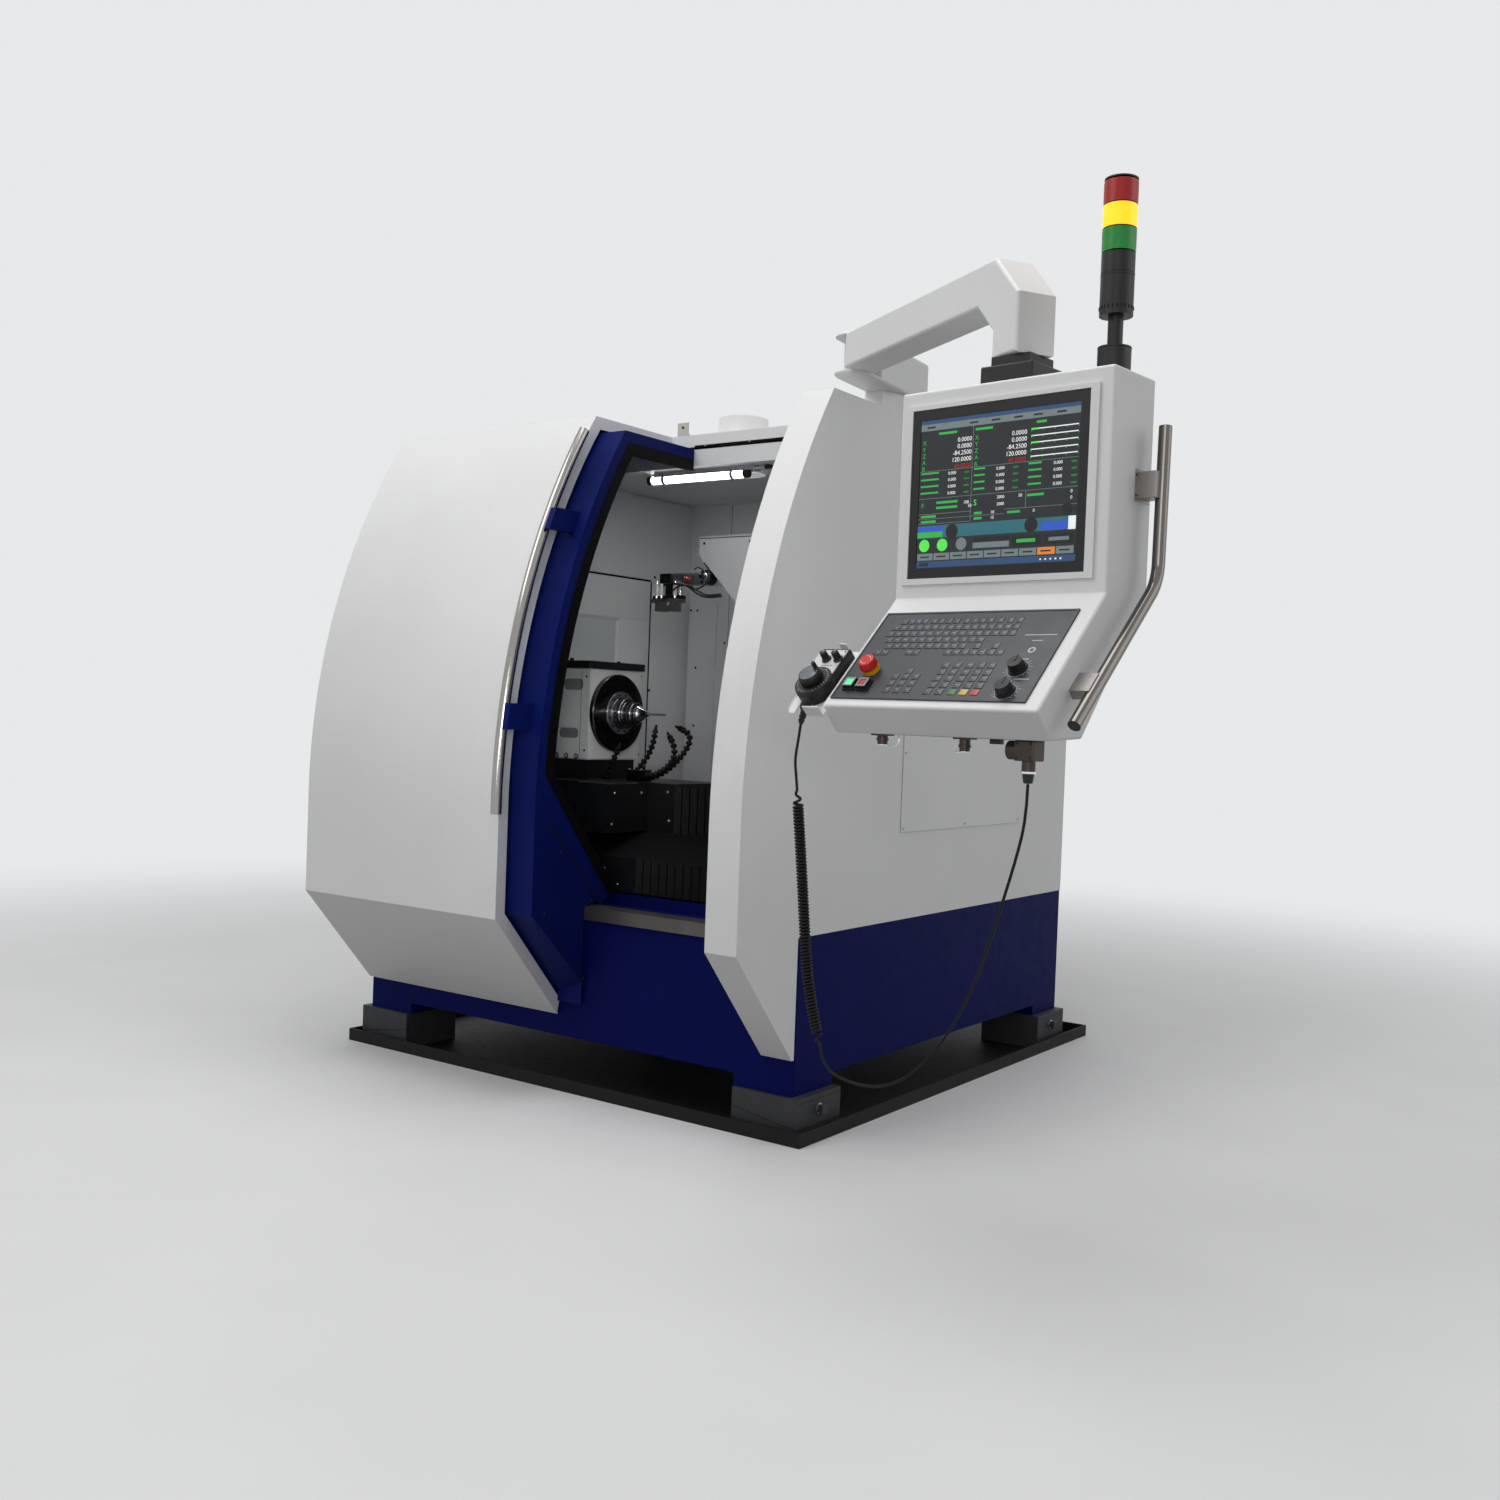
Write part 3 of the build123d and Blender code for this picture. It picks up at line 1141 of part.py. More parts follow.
def arm_mount():
    """Block on the roof with tapered front corners, bored for the arm's pivot."""
    taper_y = MOUNT_FRONT + MOUNT_TAPER
    outline = polygon([(MOUNT_LEFT, MOUNT_BACK), (MOUNT_RIGHT, MOUNT_BACK), (MOUNT_RIGHT, taper_y),
                       (MOUNT_RIGHT - MOUNT_NOSE, MOUNT_FRONT), (MOUNT_LEFT + MOUNT_NOSE, MOUNT_FRONT),
                       (MOUNT_LEFT, taper_y)])
    shape = extrude(Pos(0, 0, ROOF_TOP) * outline, MOUNT_BLOCK - SEAT)
    bore = rod((ARM_BASE_X, ARM_BASE_Y, ROOF_TOP + MOUNT_BLOCK),
               (ARM_BASE_X, ARM_BASE_Y, ROOF_TOP + MOUNT_FLOOR), HUB_RADIUS + RUNNING)
    return shape - bore


def lower_arm():
    """Box arm with a pivot spigot at its root and two lugs with a pin at the elbow."""
    run = Vector(ELBOW_X - ARM_BASE_X, ELBOW_Y - ARM_BASE_Y)
    height = ARM_HIGH - ARM_LOW
    half = ARM_WIDTH / 2
    body = Pos(run.length / 2, 0) * Rectangle(run.length, ARM_WIDTH)
    outline = body + Circle(half) + Pos(run.length, 0) * Circle(half)
    shape = extrude(outline, height)
    shape = fillet(shape.edges().filter_by(Plane.XY), ARM_EDGE)
    slot = block((run.length - ELBOW_CLEAR, run.length + 2 * half), (-ARM_WIDTH, ARM_WIDTH),
                 (LUG_THICKNESS, height - LUG_THICKNESS))
    shape = shape - slot + rod((run.length, 0, 0), (run.length, 0, height), PIN_RADIUS)
    shape += rod((0, 0, 0), (0, 0, -MOUNT_BLOCK + 2 * ARM_EDGE), HUB_RADIUS)
    frame = Plane(origin=(ARM_BASE_X, ARM_BASE_Y, ARM_LOW), x_dir=run, z_dir=(0, 0, 1))
    return frame * shape


def upper_arm():
    """Box arm from the elbow's hub, mitred down into the leg over the panel."""
    run = Vector(LEG_X - ELBOW_X, LEG_Y - ELBOW_Y)
    low = ARM_LOW + LUG_THICKNESS + SEAT
    high = ARM_HIGH - LUG_THICKNESS - SEAT
    leg_left = run.length - LEG_HALF
    leg_right = run.length + LEG_HALF
    outline = polygon([(UPPER_START, low), (UPPER_START, high), (run.length - ARM_APEX_BACK, high),
                       (leg_right, high - ARM_SHOULDER_HEIGHT), (leg_right, LEG_FOOT_Z),
                       (leg_left, LEG_FOOT_Z), (leg_left, low - INNER_MITRE), (leg_left - INNER_MITRE, low)])
    shape = extrude(Plane.XZ.offset(-ARM_WIDTH / 2) * outline, ARM_WIDTH)
    shape = fillet(shape.edges().filter_by(Plane.XZ), ARM_EDGE)
    shape += block((0, 2 * UPPER_START), (-HUB_RADIUS, HUB_RADIUS), (low, high))
    shape += rod((0, 0, low), (0, 0, high), HUB_RADIUS)
    shape -= rod((0, 0, low - OVERCUT), (0, 0, high + OVERCUT), PIN_RADIUS + RUNNING)
    shape -= rod((run.length, 0, LEG_FOOT_Z - OVERCUT),
                 (run.length, 0, LEG_FOOT_Z + SWIVEL_SPIGOT_LENGTH + SEAT), SWIVEL_SPIGOT + RUNNING)
    return Plane(origin=(ELBOW_X, ELBOW_Y, 0), x_dir=run, z_dir=(0, 0, 1)) * shape


# Panel frames

TURN = math.radians(PANEL_ANGLE)
PANEL = Plane(origin=(PANEL_X, PANEL_Y, 0), x_dir=(math.cos(TURN), math.sin(TURN), 0), z_dir=(0, 0, 1))
CONSOLE_LENGTH = math.hypot(CONSOLE_REACH, PANEL_KNEE - CONSOLE_Z)
CONSOLE_RISE = CONSOLE_REACH / CONSOLE_LENGTH
CONSOLE_LEAN = (PANEL_KNEE - CONSOLE_Z) / CONSOLE_LENGTH
CONSOLE = Plane(origin=(0, 0, PANEL_KNEE), x_dir=(1, 0, 0), z_dir=(0, -CONSOLE_LEAN, CONSOLE_RISE))


def in_panel(shape):
    """Places a shape drawn as (r, -n, z)."""
    return PANEL * shape


def on_console(shape):
    """Places a shape drawn as (r, -s, lift) on the sloping console."""
    return PANEL * (CONSOLE * shape)


def panel_slab(field, low, rise):
    """Plate on the panel's upright face, from (r, r, z, z) and two distances off the face."""
    return block(field[:2], (-rise, -low), field[2:])


def console_slab(field, low, high):
    """Plate on the console, from (r, r, s, s) and two lifts."""
    return block(field[:2], (-field[3], -field[2]), (low, high))


def console_rod(spot, low, high, radius):
    """Round bar standing on the console at an (r, s) spot."""
    return rod((spot[0], -spot[1], low), (spot[0], -spot[1], high), radius)


def grown(field, margin):
    """Field of four limits with every side moved outwards by margin."""
    return (field[0] - margin, field[1] + margin, field[2] - margin, field[3] + margin)


def leg_spot():
    """The leg's centre in the panel's frame."""
    return PANEL.to_local_coords(Vector(LEG_X, LEG_Y, 0))


def swivel_coupling():
    """Black swivel under the arm's leg, with its spigot up into the leg."""
    spot = leg_spot()
    base = block((spot.X - SWIVEL_BASE, spot.X + SWIVEL_BASE), (spot.Y - SWIVEL_BASE, spot.Y + SWIVEL_BASE),
                 (PANEL_TOP, SWIVEL_NECK_LOW), SWIVEL_EDGE)
    neck = block((spot.X - LEG_HALF, spot.X + LEG_HALF), (spot.Y - LEG_HALF, spot.Y + LEG_HALF),
                 (SWIVEL_NECK_LOW, SWIVEL_NECK_TOP))
    spigot = rod((spot.X, spot.Y, SWIVEL_NECK_LOW), (spot.X, spot.Y, LEG_FOOT_Z + SWIVEL_SPIGOT_LENGTH),
                 SWIVEL_SPIGOT)
    return in_panel(base + neck + spigot)


def control_box():
    """Panel housing with a raised screen frame, a sloping console and the pendant's holder."""
    side = [(0, PANEL_TOP), (0, PANEL_KNEE), (-CONSOLE_REACH, CONSOLE_Z), (-PANEL_HEEL_REACH, PANEL_HEEL_Z),
            (-PANEL_BELLY_REACH, PANEL_BELLY_Z), (PANEL_BACK, PANEL_KNEE), (PANEL_BACK, PANEL_TOP)]
    shape = across(polygon(side), -PANEL_HALF, PANEL_HALF)
    shape = fillet(shape.edges(), PANEL_EDGE)
    shape += panel_slab(SCREEN_FRAME, -PANEL_EDGE, FRAME_RISE)
    shape -= panel_slab(grown(BEZEL_FIELD, SEAT), 0, 2 * FRAME_RISE)
    box = in_panel(shape)
    for spot, radius in ((STOP_HEAD, STEM_RADIUS), (START_KEY, STEM_RADIUS), (HALT_KEY, STEM_RADIUS),
                         (FEED_KNOB, KNOB_SHAFT), (SPEED_KNOB, KNOB_SHAFT)):
        play = RUNNING if radius == KNOB_SHAFT else GAP
        box -= on_console(console_rod(spot, -STEM_DEPTH - STOP_TRAVEL - SEAT, KEYBOARD_RISE, radius + play))
    return box + on_console(pendant_holder())


def pendant_holder():
    """Bent sheet beside the console, with a lip below the pendant."""
    low = PENDANT_LOW - GAP
    field = (PENDANT_R - PENDANT_HALF - HOLDER_MARGIN, -PANEL_HALF + PANEL_EDGE, HOLDER_HEAD_S, HOLDER_FOOT_S)
    sheet = console_slab(field, low - HOLDER_SHEET, low)
    lip = console_slab((HOLDER_NOTCH[1], field[1], HOLDER_FOOT_S, HOLDER_FOOT_S + HOLDER_SHEET),
                       low - HOLDER_SHEET, PENDANT_HIGH / 2)
    return sheet + lip - console_slab(HOLDER_NOTCH, PENDANT_LOW - PENDANT_HIGH, PENDANT_HIGH)


def monitor_bezel():
    opening = panel_slab(grown(SCREEN_FIELD, SEAT), -OVERCUT, 2 * BEZEL_RISE)
    return in_panel(panel_slab(BEZEL_FIELD, 0, BEZEL_RISE) - opening)


def screen():
    return in_panel(panel_slab(SCREEN_FIELD, 0, SCREEN_RISE))


PLATE_FACE = KEYBOARD_RISE - KEYBOARD_SINK


def keyboard_plate():
    """Membrane keyboard plate with a raised rim, open under the buttons and knobs."""
    shape = console_slab(KEYBOARD_FIELD, 0, KEYBOARD_RISE)
    shape -= console_slab(grown(KEYBOARD_FIELD, -KEYBOARD_RIM), PLATE_FACE, 2 * KEYBOARD_RISE)
    for spot in (STOP_HEAD, START_KEY, HALT_KEY):
        shape -= console_rod(spot, -OVERCUT, 2 * KEYBOARD_RISE, STEM_RADIUS + GAP)
    for spot in (FEED_KNOB, SPEED_KNOB):
        shape -= console_rod(spot, -OVERCUT, 2 * KEYBOARD_RISE, KNOB_SHAFT + GAP)
    return on_console(shape)




def e_stop_collar():
    """Yellow ring round the emergency stop's stem."""
    ring = console_rod(STOP_HEAD, PLATE_FACE, PLATE_FACE + COLLAR_HEIGHT, COLLAR_RADIUS)
    return on_console(ring - console_rod(STOP_HEAD, 0, 2 * COLLAR_HEIGHT, STEM_RADIUS + GAP))


def emergency_stop():
    """Red mushroom head on its stem, clear of the collar by its travel."""
    low = PLATE_FACE + COLLAR_HEIGHT + STOP_TRAVEL + SEAT
    head = rod((0, 0, low), (0, 0, low + STOP_HEIGHT), STOP_RADIUS, STOP_RADIUS - STOP_EDGE)
    head = fillet(head.faces().sort_by(Axis.Z)[-1].edges(), STOP_EDGE)
    stem = rod((0, 0, -STEM_DEPTH), (0, 0, low), STEM_RADIUS)
    return on_console(Pos(STOP_HEAD[0], -STOP_HEAD[1], 0) * (head + stem))


def square_key(spot):
    """Square lit button on a round stem."""
    low = PLATE_FACE + KEY_TRAVEL + SEAT
    half = KEY_SIZE / 2
    cap = block((-half, half), (-half, half), (low, low + KEY_HEIGHT), KEY_EDGE)
    stem = rod((0, 0, -STEM_DEPTH), (0, 0, low + OVERCUT), STEM_RADIUS)
    return on_console(Pos(spot[0], -spot[1], 0) * (cap + stem))


def start_button():
    return square_key(START_KEY)


def stop_button():
    return square_key(HALT_KEY)


def turning_knob(spot):
    """Round knob with a skirt, a pointer rib and its shaft."""
    low = PLATE_FACE + SEAT
    skirt = rod((0, 0, low), (0, 0, low + KNOB_SKIRT), KNOB_RADIUS, KNOB_RADIUS - OVERCUT)
    grip = rod((0, 0, low + KNOB_SKIRT), (0, 0, low + KNOB_HEIGHT), KNOB_GRIP, KNOB_GRIP - KNOB_DRAFT)
    pointer = block((-POINTER_HALF, POINTER_HALF), (0, KNOB_GRIP),
                    (low + KNOB_SKIRT, low + KNOB_HEIGHT + OVERCUT))
    shaft = rod((0, 0, -STEM_DEPTH), (0, 0, low), KNOB_SHAFT)
    return on_console(Pos(spot[0], -spot[1], 0) * (skirt + grip + pointer + shaft))


def feed_knob():
    return turning_knob(FEED_KNOB)


def speed_knob():
    return turning_knob(SPEED_KNOB)


def panel_handle():
    """Bent grip tube beside the panel on two steel brackets."""
    points = [(GRIP_R, -n, z) for n, z in GRIP_PATH]
    shape = bent_tube(points, GRIP_TUBE, GRIP_BEND)
    for n, z in GRIP_BRACKETS:
        shape += block((PANEL_HALF, GRIP_R), (-n - GRIP_BRACKET_HALF, -n + GRIP_BRACKET_HALF),
                       (z - GRIP_BRACKET_HALF, z + GRIP_BRACKET_HALF), GRIP_BRACKET_EDGE)
    return in_panel(shape)


def panel_connector():
    """Angled cable connector under the console with a side cap and a gland."""
    y = -CONNECTOR_REACH
    half = CONNECTOR_HALF
    shape = block((CONNECTOR_R - half, CONNECTOR_R + half), (y - half, y + half),
                  (CONNECTOR_LOW, PANEL_HEEL_Z), CONNECTOR_EDGE)
    middle = (CONNECTOR_LOW + PANEL_HEEL_Z) / 2
    shape += rod((CONNECTOR_R, y, middle), (CONNECTOR_R - 2 * half, y, middle), half - CONNECTOR_EDGE)
    nut = (GLAND_LOW + CONNECTOR_LOW) / 2
    shape += rod((CONNECTOR_R, y, middle), (CONNECTOR_R, y, nut), CONNECTOR_NUT)
    shape += rod((CONNECTOR_R, y, nut), (CONNECTOR_R, y, GLAND_LOW), CONNECTOR_GLAND,
                 CORD_RADIUS + GLAND_WALL)
    return in_panel(shape)


# Pendant and its cord

def pendant_body():
    """Hand pendant: face plate, round dial housing, selector knobs and strain relief."""
    thickness = PENDANT_HIGH - PENDANT_LOW
    width = 2 * PENDANT_HALF
    length = PENDANT_DIAL_S - PENDANT_TOP_S
    middle_s = (PENDANT_DIAL_S + PENDANT_TOP_S) / 2
    outline = Pos(PENDANT_R, -middle_s) * RectangleRounded(width, length, PENDANT_CORNER)
    outline += Pos(PENDANT_R, -PENDANT_DIAL_S) * Circle(PENDANT_DISC)
    shape = extrude(Pos(0, 0, PENDANT_LOW) * outline, thickness)
    shape = fillet(shape.edges().filter_by(Plane.XY), PENDANT_EDGE)
    for side in (-1, 1):
        spot = (PENDANT_R + side * PENDANT_HALF / 2, PENDANT_TOP_S + SELECTOR_SETBACK)
        shape += console_rod(spot, PENDANT_HIGH - OVERCUT, PENDANT_HIGH + DIAL_HEIGHT, SELECTOR_RADIUS)
    shape -= console_rod((PENDANT_R, PENDANT_DIAL_S), PENDANT_HIGH - STEM_DEPTH, PENDANT_HIGH + OVERCUT,
                         KNOB_SHAFT + RUNNING)
    start = Vector(*CORD_TOP[0])
    way = (start - Vector(*CORD_TOP[1])).normalized()
    bend = start + way * RELIEF_LENGTH
    root_s = PENDANT_DIAL_S + PENDANT_DISC - CORD_RADIUS * 2
    root = CONSOLE.from_local_coords(Vector(PENDANT_R, -root_s, 0))
    relief = rod(tuple(bend), tuple(start), RELIEF_BEND, CORD_RADIUS + GLAND_WALL)
    relief += Pos(*bend) * Sphere(RELIEF_BEND) + rod(tuple(root), tuple(bend), RELIEF_ROOT, RELIEF_BEND)
    return on_console(shape) + in_panel(relief)


def pendant_wheel():
    """Graduated hand wheel with its crank knob, on a shaft into the pendant."""
    low = PENDANT_HIGH + SEAT
    spot = (PENDANT_R, PENDANT_DIAL_S)
    shape = console_rod(spot, low, low + DIAL_HEIGHT, DIAL_RADIUS)
    crank = (PENDANT_R, PENDANT_DIAL_S - DIAL_RADIUS + CRANK_INSET)
    shape += console_rod(crank, low + DIAL_HEIGHT - OVERCUT, low + DIAL_HEIGHT + CRANK_HEIGHT, CRANK_RADIUS)
    shape += console_rod(spot, PENDANT_HIGH - STEM_DEPTH + SEAT, low, KNOB_SHAFT)
    return on_console(shape)


def cord_radii(points):
    """Bend radii of a stretch of the cord, printed so that they can be read."""
    radii = bend_radii(points)
    print("cord radii", [round(radius) for radius in radii])
    return radii


def coil_cord():
    """Outer shape of the coiled stretch."""
    return in_panel(bent_tube(COIL_PATH, COIL_RADIUS, cord_radii(COIL_PATH)))


def pendant_cord():
    """Straight ends of the cord, above and below the coil."""
    return Compound([in_panel(bent_tube(points, CORD_RADIUS, cord_radii(points)))
                     for points in (CORD_TOP, CORD_BOTTOM)])


# Signal tower

def tower_rod(low, high, radius):
    return in_panel(rod((TOWER_R, TOWER_SETBACK, low), (TOWER_R, TOWER_SETBACK, high), radius))


def lens_low(index):
    """Underside of a lens, counted upwards from the tower's body."""
    return TOWER_BODY_HIGH + LENS_GAP + index * (LENS_HEIGHT + LENS_GAP)


def tower_body():
    """Foot, pole, lamp body with the core through the lenses, and the cap."""
    shape = tower_rod(PANEL_TOP, TOWER_FOOT_TOP, TOWER_RADIUS)
    shape += tower_rod(TOWER_FOOT_TOP, TOWER_BODY_LOW, TOWER_POLE)
    shape += tower_rod(TOWER_BODY_LOW, TOWER_BODY_HIGH, TOWER_RADIUS)
    cap = lens_low(3)
    shape += tower_rod(TOWER_BODY_HIGH, cap, TOWER_POLE) + tower_rod(cap, cap + LENS_GAP, TOWER_RADIUS)
    for index in (1, 2):
        shape += tower_rod(lens_low(index) - LENS_GAP, lens_low(index), TOWER_RADIUS - LENS_WALL)
    return shape


def tower_lens(index):
    """Hollow cylindrical lens round the core."""
    low = lens_low(index)
    outer = tower_rod(low, low + LENS_HEIGHT, TOWER_RADIUS)
    return outer - tower_rod(low - OVERCUT, low + LENS_HEIGHT + OVERCUT, TOWER_RADIUS - LENS_WALL)


def tower_lens_green():
    return tower_lens(0)


def tower_lens_amber():
    return tower_lens(1)


def tower_lens_red():
    return tower_lens(2)


PARTS = [drip_tray, wedge_mounts, base_frame, sill_strip, left_cover, right_cover, side_access_cover,
         rear_panel, roof_panel, hose_spigot, interlock_bracket, liner_left, liner_rear, liner_ceiling,
         lamp_body, lamp_tube, door_shell, door_window, door_seal, door_handle, door_rails, carriage_cover,
         way_bellows, headstock_housing, headstock_top_plate, spindle_flange, spindle_nose, tool_blank,
         coolant_hoses, wheel_column, wheel_head, grinding_wheels, loader_housing, loader_arm,
         gripper_jaw_left, gripper_jaw_right, arm_mount, lower_arm, upper_arm, swivel_coupling, control_box,
         monitor_bezel, screen, keyboard_plate, emergency_stop, e_stop_collar, start_button, stop_button,
         feed_knob, speed_knob, panel_handle, panel_connector, pendant_body, pendant_wheel, coil_cord,
         pendant_cord, tower_body, tower_lens_red, tower_lens_amber, tower_lens_green]

os.makedirs("parts", exist_ok=True)
for make in PARTS:
    export_step(make(), f"parts/{make.__name__}.step")
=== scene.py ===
import math
from itertools import product

import bmesh
import bpy
from mathutils import Matrix, Vector


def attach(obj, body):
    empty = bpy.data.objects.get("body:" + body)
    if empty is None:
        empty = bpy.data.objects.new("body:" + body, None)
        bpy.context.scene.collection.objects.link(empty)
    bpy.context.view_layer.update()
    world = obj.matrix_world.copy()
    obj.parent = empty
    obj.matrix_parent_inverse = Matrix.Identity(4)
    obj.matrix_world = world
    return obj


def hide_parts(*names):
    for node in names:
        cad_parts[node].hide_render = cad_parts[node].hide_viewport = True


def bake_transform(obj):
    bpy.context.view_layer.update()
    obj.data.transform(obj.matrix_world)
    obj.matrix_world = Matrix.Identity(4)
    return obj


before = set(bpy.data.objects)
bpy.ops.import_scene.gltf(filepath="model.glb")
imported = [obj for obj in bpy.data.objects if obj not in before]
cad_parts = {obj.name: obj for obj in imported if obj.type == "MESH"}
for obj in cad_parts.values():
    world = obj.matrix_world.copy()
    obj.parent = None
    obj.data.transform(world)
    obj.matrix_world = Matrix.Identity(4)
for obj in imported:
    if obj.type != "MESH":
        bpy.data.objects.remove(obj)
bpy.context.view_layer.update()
MM = 0.001

# Camera of the photograph, solved from its straight edges

IMAGE_SIZE = 1500
FOCAL_PX = 1454.6
SENSOR = 36.0
EYE = Vector((2.7591, -3.7861, 1.05))
RIGHT = Vector((0.8126, 0.5816, 0.0373))
DOWN = Vector((0.0439, 0.0028, -0.9990))
FORWARD = Vector((-0.5811, 0.8135, -0.0233))


def add_camera():
    data = bpy.data.cameras.new("camera")
    data.sensor_width = SENSOR
    data.lens = FOCAL_PX / IMAGE_SIZE * SENSOR
    data.clip_start = 0.05
    data.clip_end = 60
    camera = bpy.data.objects.new("camera", data)
    bpy.context.scene.collection.objects.link(camera)
    axes = Matrix((RIGHT, -DOWN, -FORWARD)).transposed()
    camera.matrix_world = Matrix.Translation(EYE) @ axes.to_4x4()
    bpy.context.scene.camera = camera


add_camera()

# The panel's frame has x to its right, y into it and z up. The sloping console's frame has x to the
# right, y up the slope and z off it; a spot on the console is (r, s), with s down the slope.

PANEL_ORIGIN = Vector((1.431, -1.093, 0))
PANEL_TURN = math.radians(-6.5)
PANEL_RIGHT = Vector((math.cos(PANEL_TURN), math.sin(PANEL_TURN), 0))
PANEL_IN = Vector((-math.sin(PANEL_TURN), math.cos(PANEL_TURN), 0))
UP = Vector((0, 0, 1))
KNEE_Z = 1.312
CONSOLE_RUN, CONSOLE_DROP = 235, 234
CONSOLE_LENGTH = math.hypot(CONSOLE_RUN, CONSOLE_DROP)
RISE, LEAN = CONSOLE_RUN / CONSOLE_LENGTH, CONSOLE_DROP / CONSOLE_LENGTH


def panel_matrix():
    """Local x, y, z are the panel's right, inward and up."""
    return Matrix.Translation(PANEL_ORIGIN) @ Matrix((PANEL_RIGHT, PANEL_IN, UP)).transposed().to_4x4()


def console_matrix():
    """Local x, y, z are the console's right, up the slope and off it."""
    up_slope = PANEL_IN * RISE + UP * LEAN
    normal = UP * RISE - PANEL_IN * LEAN
    axes = Matrix((PANEL_RIGHT, up_slope, normal)).transposed().to_4x4()
    return Matrix.Translation(PANEL_ORIGIN + UP * KNEE_Z) @ axes


PANEL = panel_matrix()
CONSOLE = console_matrix()

# Pendant cord: straight ends and a coiled stretch, one line from the pendant to the connector

CORD_TOP = ((-328, -205, 1040), (-333, -205.5, 1003), (-340, -206, 963), (-335.5, -205, 930),
            (-333, -204, 904))
COIL_PATH = ((-333, -204, 904), (-321.75, -199.5, 787), (-309, -197, 660), (-287.5, -199, 482.5),
             (-256, -190, 370))
CORD_BOTTOM = ((-256, -190, 370), (-249, -188, 345), (-232, -183, 322), (-190, -174, 309), (-140, -165, 307),
               (-88, -159, 322), (-38, -155, 358), (15, -151, 418), (60, -150, 492), (96, -150, 572),
               (121, -150, 645), (145, -150, 722), (170, -150, 806), (187, -150, 880), (187, -150, 944))
CORD_DIAMETER = 0.006
COIL_MEAN_RADIUS = 9.4
COIL_TURNS = 71
POINTS_PER_TURN = 12
EASE_TURNS = 2.0
EASE_PITCH = 3.5


def nurbs(name, points, bevel=0.0):
    """Curve object of one open spline of order 3 with these control points, in metres."""
    data = bpy.data.curves.new(name, "CURVE")
    data.dimensions = "3D"
    data.bevel_depth = 1.0 if bevel else 0.0
    data.bevel_resolution = 2
    data.resolution_u = 3
    data.use_fill_caps = True
    spline = data.splines.new("NURBS")
    spline.points.add(len(points) - 1)
    for slot, point in zip(spline.points, points):
        slot.co = (*point, 1)
        slot.radius = bevel
    spline.order_u = 3
    spline.use_endpoint_u = True
    curve = bpy.data.objects.new(name, data)
    bpy.context.scene.collection.objects.link(curve)
    return curve


def line_of(points):
    """Points along the smooth spline that these control points give, read from Blender."""
    curve = nurbs("guide", points)
    curve.data.resolution_u = 40
    mesh = bpy.data.meshes.new_from_object(curve)
    found = [vertex.co.copy() for vertex in mesh.vertices]
    bpy.data.objects.remove(curve)
    bpy.data.meshes.remove(mesh)
    return found


def along(line, places):
    """(point, direction) pairs along a run of points, at places measured from its start."""
    lengths = [0.0]
    for first, last in zip(line, line[1:]):
        lengths.append(lengths[-1] + (last - first).length)
    found, index = [], 0
    for place in places:
        target = lengths[-1] * place / places[-1]
        while index < len(line) - 2 and lengths[index + 1] < target:
            index += 1
        span = line[index + 1] - line[index]
        share = (target - lengths[index]) / (lengths[index + 1] - lengths[index])
        found.append((line[index] + span * share, span.normalized()))
    return found


def evenly(line, steps):
    """Points at equal steps along a run of points."""
    return [point for point, way in along(line, range(steps + 1))]


def helix_points(line, turns, radius, per_turn):
    """Control points of a helix round a line, opened out slowly from the line at its ends."""
    count = turns * per_turn
    eased = [min(1.0, min(step, count - step) / (EASE_TURNS * per_turn)) for step in range(count + 1)]
    places = [0.0]
    for first, last in zip(eased, eased[1:]):
        places.append(places[-1] + 1 + EASE_PITCH * (1 - (first + last) / 2))
    found = []
    for step, (point, way) in enumerate(along(line, places)):
        side = way.cross(Vector((0, 1, 0))).normalized()
        other = way.cross(side)
        angle = 2 * math.pi * step / per_turn
        reach = radius * math.sin(eased[step] * math.pi / 2)
        found.append(point + side * (reach * math.cos(angle)) + other * (reach * math.sin(angle)))
    return found


def add_cord():
    coil_line = line_of(COIL_PATH)
    turned = helix_points(coil_line, COIL_TURNS, COIL_MEAN_RADIUS, POINTS_PER_TURN)
    run = [Vector(point) for point in CORD_TOP[:-1]] + turned + [Vector(point) for point in CORD_BOTTOM[1:]]
    points = [PANEL @ (point * MM) for point in run]
    cord = nurbs("pendant_cord_coiled", points, CORD_DIAMETER / 2)
    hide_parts("pendant_cord", "coil_cord")
    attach(cord, "panel")
    return cord


cord = add_cord()


# Colours and materials

def linear(red, green, blue):
    """Linear colour of a display colour from 0 to 255."""
    def one(value):
        share = value / 255
        return share / 12.92 if share <= 0.04045 else ((share + 0.055) / 1.055) ** 2.4
    return (one(red), one(green), one(blue), 1.0)


def feed(tree, node, inputs):
    """Gives each named or numbered input of a node its value, or a link where a socket is given."""
    for name, value in inputs.items():
        if isinstance(value, bpy.types.NodeSocket):
            tree.links.new(value, node.inputs[name])
        else:
            node.inputs[name].default_value = value


def add_node(tree, kind, inputs):
    made = tree.nodes.new("ShaderNode" + kind)
    feed(tree, made, inputs)
    return made


def start_tree(holder):
    """Empty node tree of a new material or world."""
    holder.use_nodes = True
    holder.node_tree.nodes.clear()
    return holder.node_tree


def principled(tree, inputs):
    shader = add_node(tree, "BsdfPrincipled", inputs)
    add_node(tree, "OutputMaterial", {"Surface": shader.outputs["BSDF"]})


